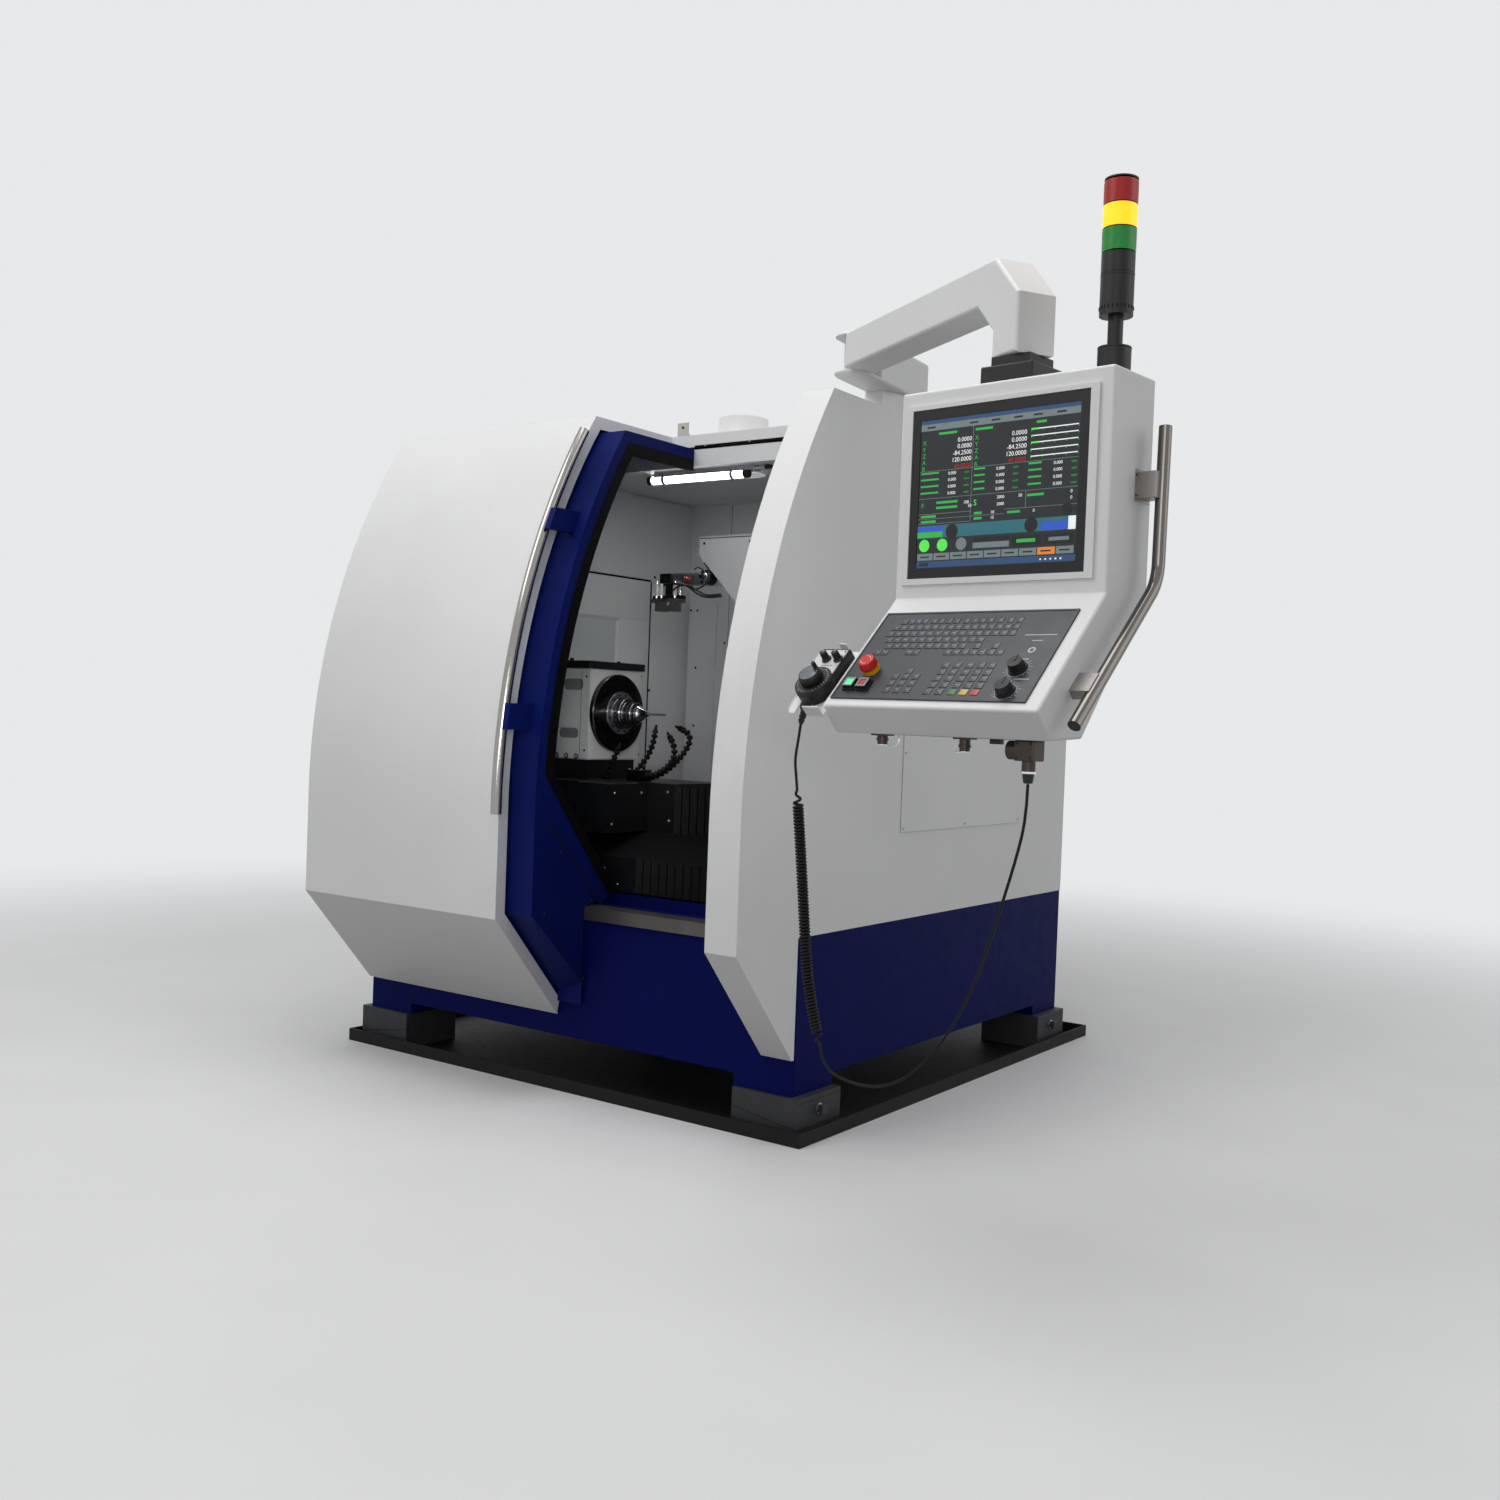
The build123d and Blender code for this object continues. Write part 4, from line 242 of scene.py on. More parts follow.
def noise(tree, scale, detail=3.0, stretch=(1, 1, 1)):
    """Noise in the object's own metres: scale is in features per metre."""
    where = add_node(tree, "TexCoord", {})
    mapping = add_node(tree, "Mapping", {"Vector": where.outputs["Object"], "Scale": stretch})
    texture = add_node(tree, "TexNoise", {"Vector": mapping.outputs["Vector"], "Scale": scale,
                                          "Detail": detail})
    return texture.outputs["Fac"]


def ramp(tree, factor, low, high, first, last):
    """Maps a factor between two limits to two values or colours."""
    made = add_node(tree, "ValToRGB", {"Fac": factor})
    made.color_ramp.elements[0].position = low
    made.color_ramp.elements[1].position = high
    for element, value in zip(made.color_ramp.elements, (first, last)):
        element.color = value if hasattr(value, "__len__") else (value, value, value, 1)
    return made.outputs["Color"]


def shade(colour, factor):
    return (colour[0] * factor, colour[1] * factor, colour[2] * factor, 1.0)


def surface(name, colour, roughness, spread=0.06, grain=900, depth=0.0001, strength=0.15, metallic=0.0,
            patches=3.0, stretch=(1, 1, 1), rough_spread=0.08, specular=0.5):
    """Painted, cast or moulded surface: patchy colour, uneven gloss and a fine grain."""
    material = bpy.data.materials.new(name)
    tree = start_tree(material)
    colour, half = linear(*colour), rough_spread / 2
    tone = ramp(tree, noise(tree, patches), 0.3, 0.7, shade(colour, 1 - spread),
                shade(colour, 1 + spread / 2))
    gloss = ramp(tree, noise(tree, patches * 9), 0.3, 0.7, roughness - half, roughness + half)
    relief = add_node(tree, "Bump", {"Strength": strength, "Distance": depth,
                                     "Height": noise(tree, grain, 2.0, stretch)})
    principled(tree, {"Base Color": tone, "Roughness": gloss, "Metallic": metallic,
                      "Specular IOR Level": specular, "Normal": relief.outputs["Normal"]})
    return material


def lit(name, colour, strength):
    """Lit plastic: a little uneven light through a glossy cover."""
    material = bpy.data.materials.new(name)
    tree = start_tree(material)
    colour = linear(*colour)
    tone = ramp(tree, noise(tree, 60), 0.2, 0.8, shade(colour, 0.85), colour)
    principled(tree, {"Base Color": tone, "Emission Color": tone, "Emission Strength": strength,
                      "Roughness": 0.3})
    return material


def glass(name, colour):
    material = bpy.data.materials.new(name)
    tree = start_tree(material)
    tint = linear(*colour)
    tone = ramp(tree, noise(tree, 4), 0.2, 0.8, shade(tint, 0.96), tint)
    principled(tree, {"Base Color": tone, "Transmission Weight": 1.0, "Roughness": 0.02, "IOR": 1.05})
    return material


WHITE = surface("white_powder_coat", (230, 230, 230), 0.42, 0.03, 1400, 0.00008, 0.12)
BLUE = surface("blue_powder_coat", (11, 19, 82), 0.5, 0.08, 1400, 0.00008, 0.12, specular=0.04)
DOOR_BLUE = surface("blue_door_coat", (12, 26, 92), 0.38, 0.05, 1400, 0.00006, 0.1, rough_spread=0.02,
                    specular=0.06)
GLOSS_BLACK = surface("gloss_black_disc", (7, 7, 8), 0.16, 0.1, 900, 0.00003, 0.08, specular=0.45)
CHUCK = surface("chuck_steel", (104, 104, 108), 0.22, 0.1, 700, 0.00004, 0.1, 0.9)
SEAL = surface("door_seal_rubber", (9, 9, 10), 0.6, 0.15, 900, 0.0001, 0.2, specular=0.08)
# The loader's white coat is darkened as painted shade, against the light it gets through the opening.
LOADER_SHADED_WHITE = surface("loader_white_painted_shade", (194, 195, 197), 0.42, 0.04, 1400, 0.00008, 0.12)
WORN_STEEL = surface("worn_sill_steel", (92, 89, 86), 0.42, 0.22, 350, 0.00008, 0.25, 0.75, 9,
                     (1, 30, 30))
# Polished grip steel darkened as a painted reflection of dark surroundings.
GRIP_STEEL_DARK_REFLECTION = surface("polished_steel_painted_dark_reflection", (112, 108, 104), 0.13, 0.06, 500, 0.00002, 0.05, 1.0)
BRACKET_STEEL = surface("brushed_bracket_steel", (150, 146, 142), 0.42, 0.08, 400, 0.00005, 0.2, 0.8, 6,
                        (1, 1, 30))
DARK_METAL = surface("dark_connector_metal", (70, 62, 57), 0.34, 0.12, 500, 0.00004, 0.15, 0.85)
BRUSH = surface("black_brush_strip", (12, 12, 13), 0.85, 0.25, 1500, 0.0004, 0.7, stretch=(8, 1, 1),
                specular=0.1)
HOSE = surface("black_hose_plastic", (9, 9, 10), 0.36, 0.12, 2200, 0.0001, 0.2, specular=0.2)
LINER = surface("liner_enamel", (224, 225, 226), 0.38, 0.04, 700, 0.00005, 0.08)
# Liner colour darkened as painted shade for the recess in the left wall.
RECESS_SHADE = surface("recess_painted_shade", (204, 209, 210), 0.38, 0.04, 700, 0.00005, 0.08)
BLACK_PAINT = surface("black_paint", (20, 21, 23), 0.40, 0.12, 900, 0.0001, 0.15, specular=0.3)
TRAY = surface("tray_paint", (12, 12, 13), 0.6, 0.2, 500, 0.0002, 0.25, patches=6, specular=0.25)
GREY_IRON = surface("worn_grey_iron", (38, 39, 42), 0.62, 0.28, 260, 0.0006, 0.5, patches=14)
STEEL = surface("brushed_steel", (176, 174, 168), 0.34, 0.08, 350, 0.00005, 0.2, 0.95, 6, (1, 30, 30))
POLISHED = surface("polished_steel", (158, 156, 152), 0.12, 0.05, 500, 0.00002, 0.05, 1.0)
ALUMINIUM = surface("machined_aluminium", (190, 192, 196), 0.36, 0.07, 700, 0.00004, 0.15, 0.9)
CAST = surface("cast_iron", (110, 112, 114), 0.5, 0.12, 500, 0.0003, 0.3, 0.4)
ABRASIVE = surface("bonded_abrasive", (128, 98, 80), 0.85, 0.2, 1800, 0.0006, 0.6)
RUBBER = surface("black_rubber", (17, 17, 18), 0.55, 0.15, 900, 0.0001, 0.2, specular=0.2)
CLOTH = surface("bellows_cloth", (8, 8, 9), 0.5, 0.2, 1200, 0.0002, 0.3, specular=0.12)
PLASTIC = surface("black_plastic", (24, 24, 26), 0.42, 0.12, 2200, 0.0001, 0.3, specular=0.35)
KEYS = surface("membrane_plate", (44, 46, 52), 0.38, 0.08, 1800, 0.00006, 0.15)
RED = surface("red_plastic", (206, 26, 20), 0.28, 0.06, 400, 0.00003, 0.05)
YELLOW = surface("yellow_plastic", (238, 176, 22), 0.32, 0.06, 400, 0.00003, 0.05)
LAMP = lit("lit_lamp_tube", (255, 255, 255), 5.0)
# Dark strips of painted shade for gaps, seams, slots and creases.
SHADOW_SEAM = surface("shadow_seam", (20, 20, 21), 0.7, 0.1, 900, 0.00005, 0.1, specular=0.2)
ZINC = surface("zinc_screw", (176, 176, 178), 0.28, 0.08, 900, 0.00004, 0.1, 0.9)
BLACK_SCREW = surface("black_screw", (22, 22, 24), 0.4, 0.1, 900, 0.00004, 0.1)
CHROME = surface("bright_chrome", (226, 226, 228), 0.10, 0.03, 600, 0.00001, 0.03, 1.0)
TURNED = surface("turned_grey_steel", (140, 141, 144), 0.36, 0.08, 600, 0.00004, 0.15, 0.8)
RED_LENS = lit("red_lens", (170, 12, 8), 0.15)
AMBER_LENS = lit("amber_lens", (255, 168, 20), 1.6)
GREEN_LENS = lit("green_lens", (12, 140, 50), 0.15)
GREEN_KEY = lit("green_key", (70, 235, 140), 1.0)
RED_KEY = lit("red_key", (168, 58, 52), 0.1)
WINDOW = glass("clear_glass", (236, 244, 246))
SCREEN = surface("screen_glass", (10, 14, 16), 0.25, 0.1, 300, 0.00001, 0.02, specular=0.25)

NODE_MATERIALS = {
    TRAY: ["drip_tray"],
    GREY_IRON: ["wedge_mounts"],
    BLUE: ["base_frame"],
    DOOR_BLUE: ["door_shell"],
    STEEL: ["door_rails", "tool_blank", "gripper_jaw_left", "gripper_jaw_right", "interlock_bracket"],
    WORN_STEEL: ["sill_strip"],
    DARK_METAL: ["panel_connector"],
    GRIP_STEEL_DARK_REFLECTION: ["panel_handle"],
    WHITE: ["left_cover", "right_cover", "side_access_cover", "rear_panel", "roof_panel", "hose_spigot",
            "headstock_housing", "arm_mount", "lower_arm", "upper_arm", "control_box"],
    LOADER_SHADED_WHITE: ["loader_housing"],
    LINER: ["liner_left", "liner_rear", "liner_ceiling"],
    ALUMINIUM: ["lamp_body", "loader_arm"],
    LAMP: ["lamp_tube"],
    WINDOW: ["door_window"],
    SEAL: ["door_seal"],
    POLISHED: ["door_handle"],
    BLACK_PAINT: ["carriage_cover", "headstock_top_plate"],
    GLOSS_BLACK: ["spindle_flange"],
    CLOTH: ["way_bellows"],
    CAST: ["wheel_column", "wheel_head"],
    ABRASIVE: ["grinding_wheels"],
    PLASTIC: ["coolant_hoses", "swivel_coupling", "monitor_bezel", "feed_knob",
              "speed_knob", "pendant_body", "pendant_wheel", "tower_body"],
    SCREEN: ["screen"],
    KEYS: ["keyboard_plate"],
    RED: ["emergency_stop"],
    YELLOW: ["e_stop_collar"],
    GREEN_KEY: ["start_button"],
    RED_KEY: ["stop_button"],
    RED_LENS: ["tower_lens_red"],
    AMBER_LENS: ["tower_lens_amber"],
    GREEN_LENS: ["tower_lens_green"],
}


def dress(target, material):
    target.data.materials.clear()
    target.data.materials.append(material)


for material, names in NODE_MATERIALS.items():
    for name in names:
        dress(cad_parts[name], material)
dress(cord, RUBBER)


# Detail pieces

IDENTITY = Matrix.Identity(4)
FRONT = Vector((0, -1, 0))
SCREW_SIDES = 18
SHARP_ANGLE = math.radians(32)


def circle(centre, way, side, radius, sides):
    """Points of a circle across a direction, from one side of it on."""
    other = way.cross(side)
    turns = [2 * math.pi * index / sides for index in range(sides)]
    return [centre + (side * math.cos(turn) + other * math.sin(turn)) * radius for turn in turns]


class Piece:
    """One detail piece, drawn in millimetres in a frame and joined into one mesh."""

    def __init__(self, name, body, slot, materials, frame_matrix=IDENTITY):
        self.name, self.body, self.slot = name, body, slot
        self.materials = materials
        self.matrix = frame_matrix @ Matrix.Scale(MM, 4)
        self.mesh = bmesh.new()

    def block(self, x, y, z, edge=0.0, material=0):
        """Box between two values on each axis with rounded edges."""
        made = bmesh.ops.create_cube(self.mesh, size=1)
        spans = [(min(pair), max(pair)) for pair in (x, y, z)]
        for vertex in made["verts"]:
            vertex.co = Vector([low + (value + 0.5) * (high - low)
                                for value, (low, high) in zip(vertex.co, spans)])
        faces = {face for vertex in made["verts"] for face in vertex.link_faces}
        for face in faces:
            face.material_index = material
        if edge:
            edges = {link for face in faces for link in face.edges}
            bmesh.ops.bevel(self.mesh, geom=list(edges), offset=edge, segments=2, affect="EDGES",
                            profile=0.7, material=-1)

    def loft(self, outlines, material=0, capped=True):
        """Skin over outlines with the same number of points, capped at its ends or closed on itself."""
        rings = [[self.mesh.verts.new(Vector(point)) for point in outline] for outline in outlines]
        faces = [self.mesh.faces.new(rings[0][::-1]), self.mesh.faces.new(rings[-1])] if capped else []
        for first, last in zip(rings, rings[1:] if capped else rings[1:] + rings[:1]):
            for index in range(len(first)):
                after = (index + 1) % len(first)
                faces.append(self.mesh.faces.new((first[index], first[after], last[after], last[index])))
        for face in faces:
            face.material_index = material

    def prism(self, outline, way, depth, material=0):
        """Plate with an outline of points in space, thickened along a direction."""
        shift = Vector(way).normalized() * depth
        self.loft([outline, [Vector(point) + shift for point in outline]], material)

    def turned(self, start, way, profile, sides=32, material=0, capped=True):
        """Solid turned round an axis, from (distance, radius) points along it."""
        way = Vector(way).normalized()
        side = way.orthogonal().normalized()
        self.loft([circle(Vector(start) + way * distance, way, side, radius, sides)
                   for distance, radius in profile], material, capped)

    def rod(self, start, end, radius, sides=20, material=0, edge=0.0):
        length = (Vector(end) - Vector(start)).length
        profile = [(0, radius), (length, radius)]
        if edge:
            profile = [(0, radius - edge), (edge, radius), (length - edge, radius), (length, radius - edge)]
        self.turned(start, Vector(end) - Vector(start), profile, sides, material)

    def ring(self, start, way, inner, outer, height, sides=32, material=0):
        """Flat ring with a hole, standing off a surface."""
        self.turned(start, way, ((0, inner), (0, outer), (height, outer), (height, inner)), sides, material,
                    capped=False)

    def screws(self, points, way, radius, height, material=0):
        """Button head screws with a hex socket."""
        profile = [(-0.3, radius), (height * 0.45, radius), (height * 0.8, radius * 0.86),
                   (height, radius * 0.62), (height, radius * 0.45), (height * 0.45, radius * 0.42)]
        for point in points:
            self.turned(point, way, profile, SCREW_SIDES, material)

    def tube(self, line, radius, sides=12, material=0):
        """Round tube through a run of points; radius may be one value or one for each point."""
        radii = radius if hasattr(radius, "__len__") else [radius] * len(line)
        rings, side = [], None
        for index, point in enumerate(line):
            before, after = line[max(index - 1, 0)], line[min(index + 1, len(line) - 1)]
            way = (Vector(after) - Vector(before)).normalized()
            side = way.orthogonal() if side is None else side - way * side.dot(way)
            side.normalize()
            rings.append(circle(Vector(point), way, side, radii[index], sides))
        self.loft(rings, material)

    def done(self, *replaced):
        bmesh.ops.recalc_face_normals(self.mesh, faces=self.mesh.faces)
        self.mesh.transform(self.matrix)
        data = bpy.data.meshes.new(self.name)
        self.mesh.to_mesh(data)
        self.mesh.free()
        for material in self.materials:
            data.materials.append(material)
        for polygon in data.polygons:
            polygon.use_smooth = True
        data.set_sharp_from_angle(angle=SHARP_ANGLE)
        made = bpy.data.objects.new(self.name, data)
        bpy.context.scene.collection.objects.link(made)
        if self.body:
            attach(made, self.body)
        if replaced:
            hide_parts(*replaced)
        return made


# Screen content: a dark display with rows of numbers, bars and soft keys

SCREEN_LEFT, SCREEN_RIGHT, SCREEN_LOW, SCREEN_HIGH = -196, 182, 1376, 1686
SCREEN_RISE = 2.5
INK_STEP = 0.12
INK = {
    "dark": surface("display_dark", (34, 40, 44), 0.25, 0.06, 300, 0.00001, 0.02),
    "grey": lit("display_grey", (120, 132, 134), 0.30),
    "white": lit("display_white", (226, 230, 228), 0.6),
    "green": lit("display_green", (50, 170, 70), 0.5),
    "bright": lit("display_bright_green", (84, 220, 80), 0.6),
    "blue": lit("display_blue", (44, 84, 190), 0.5),
    "teal": lit("display_teal", (44, 110, 122), 0.3),
    "navy": lit("display_navy", (46, 78, 120), 0.3),
    "red": lit("display_red", (176, 36, 36), 0.45),
    "orange": lit("display_orange", (222, 128, 44), 0.5),
    "black": surface("display_black", (16, 18, 20), 0.2, 0.06, 300, 0.00001, 0.02),
}
INK_NAMES = list(INK)


def on_screen(u, v):
    """Panel's r and z at a share of the screen from its left and from its top."""
    return SCREEN_LEFT + u * (SCREEN_RIGHT - SCREEN_LEFT), SCREEN_HIGH - v * (SCREEN_HIGH - SCREEN_LOW)


def field(piece, left, right, top, low, ink, layer):
    left, top = on_screen(left, top)
    right, low = on_screen(right, low)
    face = -SCREEN_RISE - layer * INK_STEP
    piece.block((left, right), (face, -SCREEN_RISE + INK_STEP), (low, top), material=INK_NAMES.index(ink))


def disc(piece, u, v, radius, ink, layer):
    x, z = on_screen(u, v)
    face = SCREEN_RISE + layer * INK_STEP
    piece.rod((x, -SCREEN_RISE, z), (x, -face, z), radius, 28, INK_NAMES.index(ink))


AXIS_ROWS = (0.150, 0.193, 0.237, 0.281, 0.325)
TABLE_ROWS = (0.372, 0.415, 0.460, 0.505)
RULES = ((0, 1, 0.345), (0, 1, 0.530), (0, 0.345, 0.635), (0, 0.56, 0.668), (0, 0.345, 0.701),
         (0.56, 1, 0.640))
AXIS_LOADS = (0.045, 0.016, 0.048, 0.004, 0.004)
LABELS = ((0.12, 0.24, 0.10), (0.36, 0.47, 0.10), (0.74, 0.80, 0.10), (0.70, 0.80, 0.565),
          (0.02, 0.12, 0.655), (0.02, 0.12, 0.69), (0.37, 0.42, 0.655), (0.37, 0.42, 0.69),
          (0.58, 0.66, 0.665), (0.12, 0.26, 0.565), (0.12, 0.26, 0.60))
DISCS = ((0.23, 0.762, 15, "black", 4), (0.73, 0.755, 15, "black", 4), (0.05, 0.85, 13, "bright", 4),
         (0.17, 0.85, 13, "bright", 4), (0.295, 0.85, 13, "grey", 4), (0.94, 0.668, 12, "black", 3))
FIELDS = (
    (0, 1, 0, 1, "dark", 1), (0, 1, 0, 0.028, "navy", 2), (0, 1, 0.028, 0.072, "grey", 2),
    (0.345, 0.348, 0.072, 0.70, "grey", 2), (0.69, 0.693, 0.53, 0.64, "grey", 2),
    (0, 1, 0.715, 0.80, "teal", 2), (0, 0.17, 0.722, 0.755, "blue", 3), (0, 0.17, 0.758, 0.796, "green", 3),
    (0.79, 0.945, 0.742, 0.796, "blue", 3), (0.952, 0.995, 0.715, 0.80, "white", 3),
    (0.37, 0.60, 0.815, 0.845, "black", 2), (0.37, 0.60, 0.848, 0.885, "grey", 2),
    (0.615, 0.80, 0.820, 0.885, "black", 2), (0.81, 0.99, 0.820, 0.885, "black", 2),
    (0.645, 0.76, 0.842, 0.865, "green", 3), (0.84, 0.96, 0.842, 0.865, "grey", 3),
    (0, 1, 0.958, 1, "navy", 2), (0.02, 0.08, 0.966, 0.990, "dark", 3),
)
SOFT_KEYS, LIT_SOFT_KEY = 9, 7


def add_screen():
    piece = Piece("screen_content", "panel", "screen_glass", list(INK.values()), PANEL)
    for row in FIELDS:
        field(piece, *row)
    for u in (0.04, 0.32, 0.46, 0.60, 0.72, 0.86):
        field(piece, u, u + 0.055, 0.044, 0.056, "dark", 3)
    for first, last, v in RULES:
        field(piece, first, last, v, v + 0.003, "grey", 2)
    for v, load in zip(AXIS_ROWS, AXIS_LOADS):
        field(piece, 0.71, 0.99, v - 0.013, v - 0.006, "white", 2)
        field(piece, 0.71, 0.71 + load, v - 0.015, v - 0.004, "bright", 3)
        for step in range(5):
            u = 0.71 + 0.07 * step
            field(piece, u, u + 0.004, v - 0.004, v + 0.004, "green", 3)
    for v, (first, last) in product(TABLE_ROWS, ((0.01, 0.13), (0.36, 0.43), (0.70, 0.78))):
        field(piece, first, last, v - 0.018, v - 0.006, "green", 2)
    for first, last, v in LABELS:
        field(piece, first, last, v - 0.010, v + 0.006, "green", 2)
    for row in DISCS:
        disc(piece, *row)
    for index in range(SOFT_KEYS):
        first = 0.005 + index * 0.11
        ink = "orange" if index == LIT_SOFT_KEY else "grey"
        field(piece, first, first + 0.104, 0.903, 0.950, ink, 2)
        field(piece, first + 0.02, first + 0.08, 0.922, 0.932, "dark", 3)
    for index in range(5):
        field(piece, 0.79 + index * 0.03, 0.80 + index * 0.03, 0.975, 0.985, "white", 3)
    piece.done()


def write(words, u, v, height, ink, align="RIGHT"):
    """Generic digits or an axis letter on the screen."""
    data = bpy.data.curves.new("word", "FONT")
    data.body = words
    data.size = height * MM
    data.align_x = align
    data.align_y = "CENTER"
    data.extrude = 0.0001
    data.resolution_u = 3
    data.materials.append(INK[ink])
    made = bpy.data.objects.new("word", data)
    bpy.context.scene.collection.objects.link(made)
    x, z = on_screen(u, v)
    stand = Matrix(((1, 0, 0), (0, 0, -1), (0, 1, 0))).to_4x4()
    made.matrix_world = PANEL @ Matrix.Translation(Vector((x, -SCREEN_RISE - 5 * INK_STEP, z)) * MM) @ stand
    return made


def join_words(name, words, body):
    """One mesh piece out of several text objects."""
    joined = bmesh.new()
    materials = []
    for word in words:
        bpy.context.view_layer.update()
        mesh = bpy.data.meshes.new_from_object(word)
        mesh.transform(word.matrix_world)
        material = word.data.materials[0]
        if material not in materials:
            materials.append(material)
        before = len(joined.faces)
        joined.from_mesh(mesh)
        joined.faces.ensure_lookup_table()
        for face in joined.faces[before:]:
            face.material_index = materials.index(material)
        bpy.data.objects.remove(word)
        bpy.data.meshes.remove(mesh)
    data = bpy.data.meshes.new(name)
    joined.to_mesh(data)
    joined.free()
    for material in materials:
        data.materials.append(material)
    made = bpy.data.objects.new(name, data)
    bpy.context.scene.collection.objects.link(made)
    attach(made, body)
    return made


AXIS_VALUES = ("0.0000", "0.0000", "-84.2500", "120.0000", "45.0000")
RED_AXIS = 4
VALUES = (
    ("F", 0.02, 0.58, 14, "green"), ("S", 0.365, 0.585, 17, "bright"), ("100", 0.30, 0.575, 9, "white"),
    ("50", 0.33, 0.60, 9, "white"), ("2000", 0.56, 0.56, 9, "white"), ("2000", 0.56, 0.605, 9, "white"),
    ("50", 0.67, 0.56, 9, "white"), ("0", 0.97, 0.56, 9, "white"), ("0", 0.97, 0.60, 9, "white"),
    ("10", 0.50, 0.655, 9, "white"), ("15", 0.50, 0.69, 9, "white"), ("0", 0.75, 0.665, 9, "white"),
)


def add_screen_words():
    words = []
    for row, (letter, value, v) in enumerate(zip("XYZAB", AXIS_VALUES, AXIS_ROWS)):
        ink = "red" if row == RED_AXIS else "white"
        for left, right in ((0.015, 0.34), (0.36, 0.685)):
            words.append(write(letter, left, v + 0.005, 13, "green", "LEFT"))
            words.append(write(value, right, v + 0.005, 13, ink))
    for v, u in product(TABLE_ROWS, (0.245, 0.555, 0.905)):
        words.append(write("0.000", u, v, 9, "white"))
        words.append(write("mm", u + 0.085, v, 8, "green"))
    for label, u, v, height, ink in VALUES:
        words.append(write(label, u, v, height, ink, "LEFT" if u < 0.37 else "RIGHT"))
    join_words("screen_digits", words, "panel")


add_screen()
add_screen_words()

# Keyboard, buttons and dials on the console, as (r, s) spots

PLATE_LIFT = 3.0
KEY_ROWS = (
    (79, [-178, -161, -144, -127, -104, -86, -67, -49, -25, -6, 13, 32, 55, 78, 100], 14),
    (99, [-190 + 19.3 * index for index in range(16)], 16),
    (118, [-194 + 19.6 * index for index in range(16)], 16),
    (137, [-187 + 20.3 * index for index in range(12)], 16),
    (156, [-177 + 20 * index for index in range(10)] + [38, 80], 16),
    (175, [-196, -177, -116, -99, -22, -2, 18, 38, 58, 78, 98], 16),
    (231, [-84], 15),
    (247, [-110, -85, -60], 15),
    (267, [-110, -85, -60], 15),
    (286, [-110, -85, -60], 15),
    (213, [-7, 20, 49, 75, 99], 17),
    (233, [-6, 20, 49, 75, 99], 17),
    (251, [-7, 20, 48, 75, 99], 17),
    (270, [-8, 19, 48, 74, 99], 17),
    (289, [-11, 17], 17),
)
COLOURED_KEYS = ((47, 289, 1), (73, 289, 2), (98, 289, 3))
KEY_DEPTH = 15
KEY_RISE = 1.2


def add_keys():
    shine = surface("key_cap", (58, 60, 66), 0.3, 0.08, 1800, 0.00004, 0.1)
    green = surface("green_key_cap", (56, 120, 66), 0.35, 0.05, 1800, 0.00004, 0.1)
    yellow = surface("yellow_key_cap", (206, 176, 56), 0.35, 0.05, 1800, 0.00004, 0.1)
    red = surface("red_key_cap", (190, 52, 58), 0.35, 0.05, 1800, 0.00004, 0.1)
    mark = surface("key_mark", (150, 152, 156), 0.5, 0.05, 1800, 0.00004, 0.1)
    piece = Piece("keyboard_keys", "panel", "dark_key_plastic", [shine, green, yellow, red, mark], CONSOLE)

    def key(r, s, width, material):
        x, y = (r - width / 2, r + width / 2), (-s - KEY_DEPTH / 2, -s + KEY_DEPTH / 2)
        piece.block(x, y, (PLATE_LIFT - 0.3, PLATE_LIFT + KEY_RISE), 0.6, material)

    for row, (s, places, width) in enumerate(KEY_ROWS):
        for index, r in enumerate(places):
            key(r, s, width, 0)
            half = width * (0.10 + 0.05 * ((index * 7 + row * 3) % 3))
            top = PLATE_LIFT + KEY_RISE
            piece.block((r - half, r + half), (-s + 0.5, -s + 2.6), (top - 0.2, top + 0.05), material=4)
    for r, s, material in COLOURED_KEYS:
        key(r, s, 17, material)
    piece.done()


DIALS = ((161, 222), (163, 284))
BUTTONS = (("start_button_frame", "start_key", "green_plastic", -205, 275),
           ("stop_button_frame", "stop_key", "red_plastic", -171, 276))
FRAME_INNER, FRAME_OUTER, FRAME_GROWTH = 8.6, 11.8, 0.4
SURROUND_INNER, SURROUND_OUTER = 12.6, 15
BUTTON_TOP = 15.2
STOP_HEAD = (-180, -229, PLATE_LIFT + 29.5)


def radial_mark(piece, centre, angle, near, far, half, height, material=0):
    """Thin bar that lies on a face and points away from a centre."""
    way = Vector((math.cos(angle), math.sin(angle), 0))
    across = Vector((-way.y, way.x, 0)) * half
    piece.prism([centre + way * near - across, centre + way * far - across, centre + way * far + across,
                 centre + way * near + across], UP, height, material)


def add_dial_marks():
    mark = surface("dial_mark", (196, 198, 200), 0.5, 0.04, 1500, 0.00003, 0.05)
    piece = Piece("dial_marks", "panel", "dark_key_plastic", [mark], CONSOLE)
    low, high = PLATE_LIFT - 0.2, PLATE_LIFT + 0.1
    for r, s in DIALS:
        for index in range(15):
            angle = math.radians(-40 + index * 260 / 14)
            radial_mark(piece, Vector((r, -s, low)), angle, 24, 28 + 2 * (index % 2), 0.4, high - low)
    for r, s, half in ((166, 141, 12), (159, 194, 13), (181, 250, 16)):
        piece.block((r - half, r + half), (-s - 1, -s + 1), (low, high))
    piece.block((131, 202), (-125.5, -123.5), (low, high))
    piece.ring((166, -168, low), UP, 4.5, 8, high - low)
    for r, s in DIALS:
        piece.ring((r, -s, low), UP, 21.5, 22.2, high - low)
    piece.done()


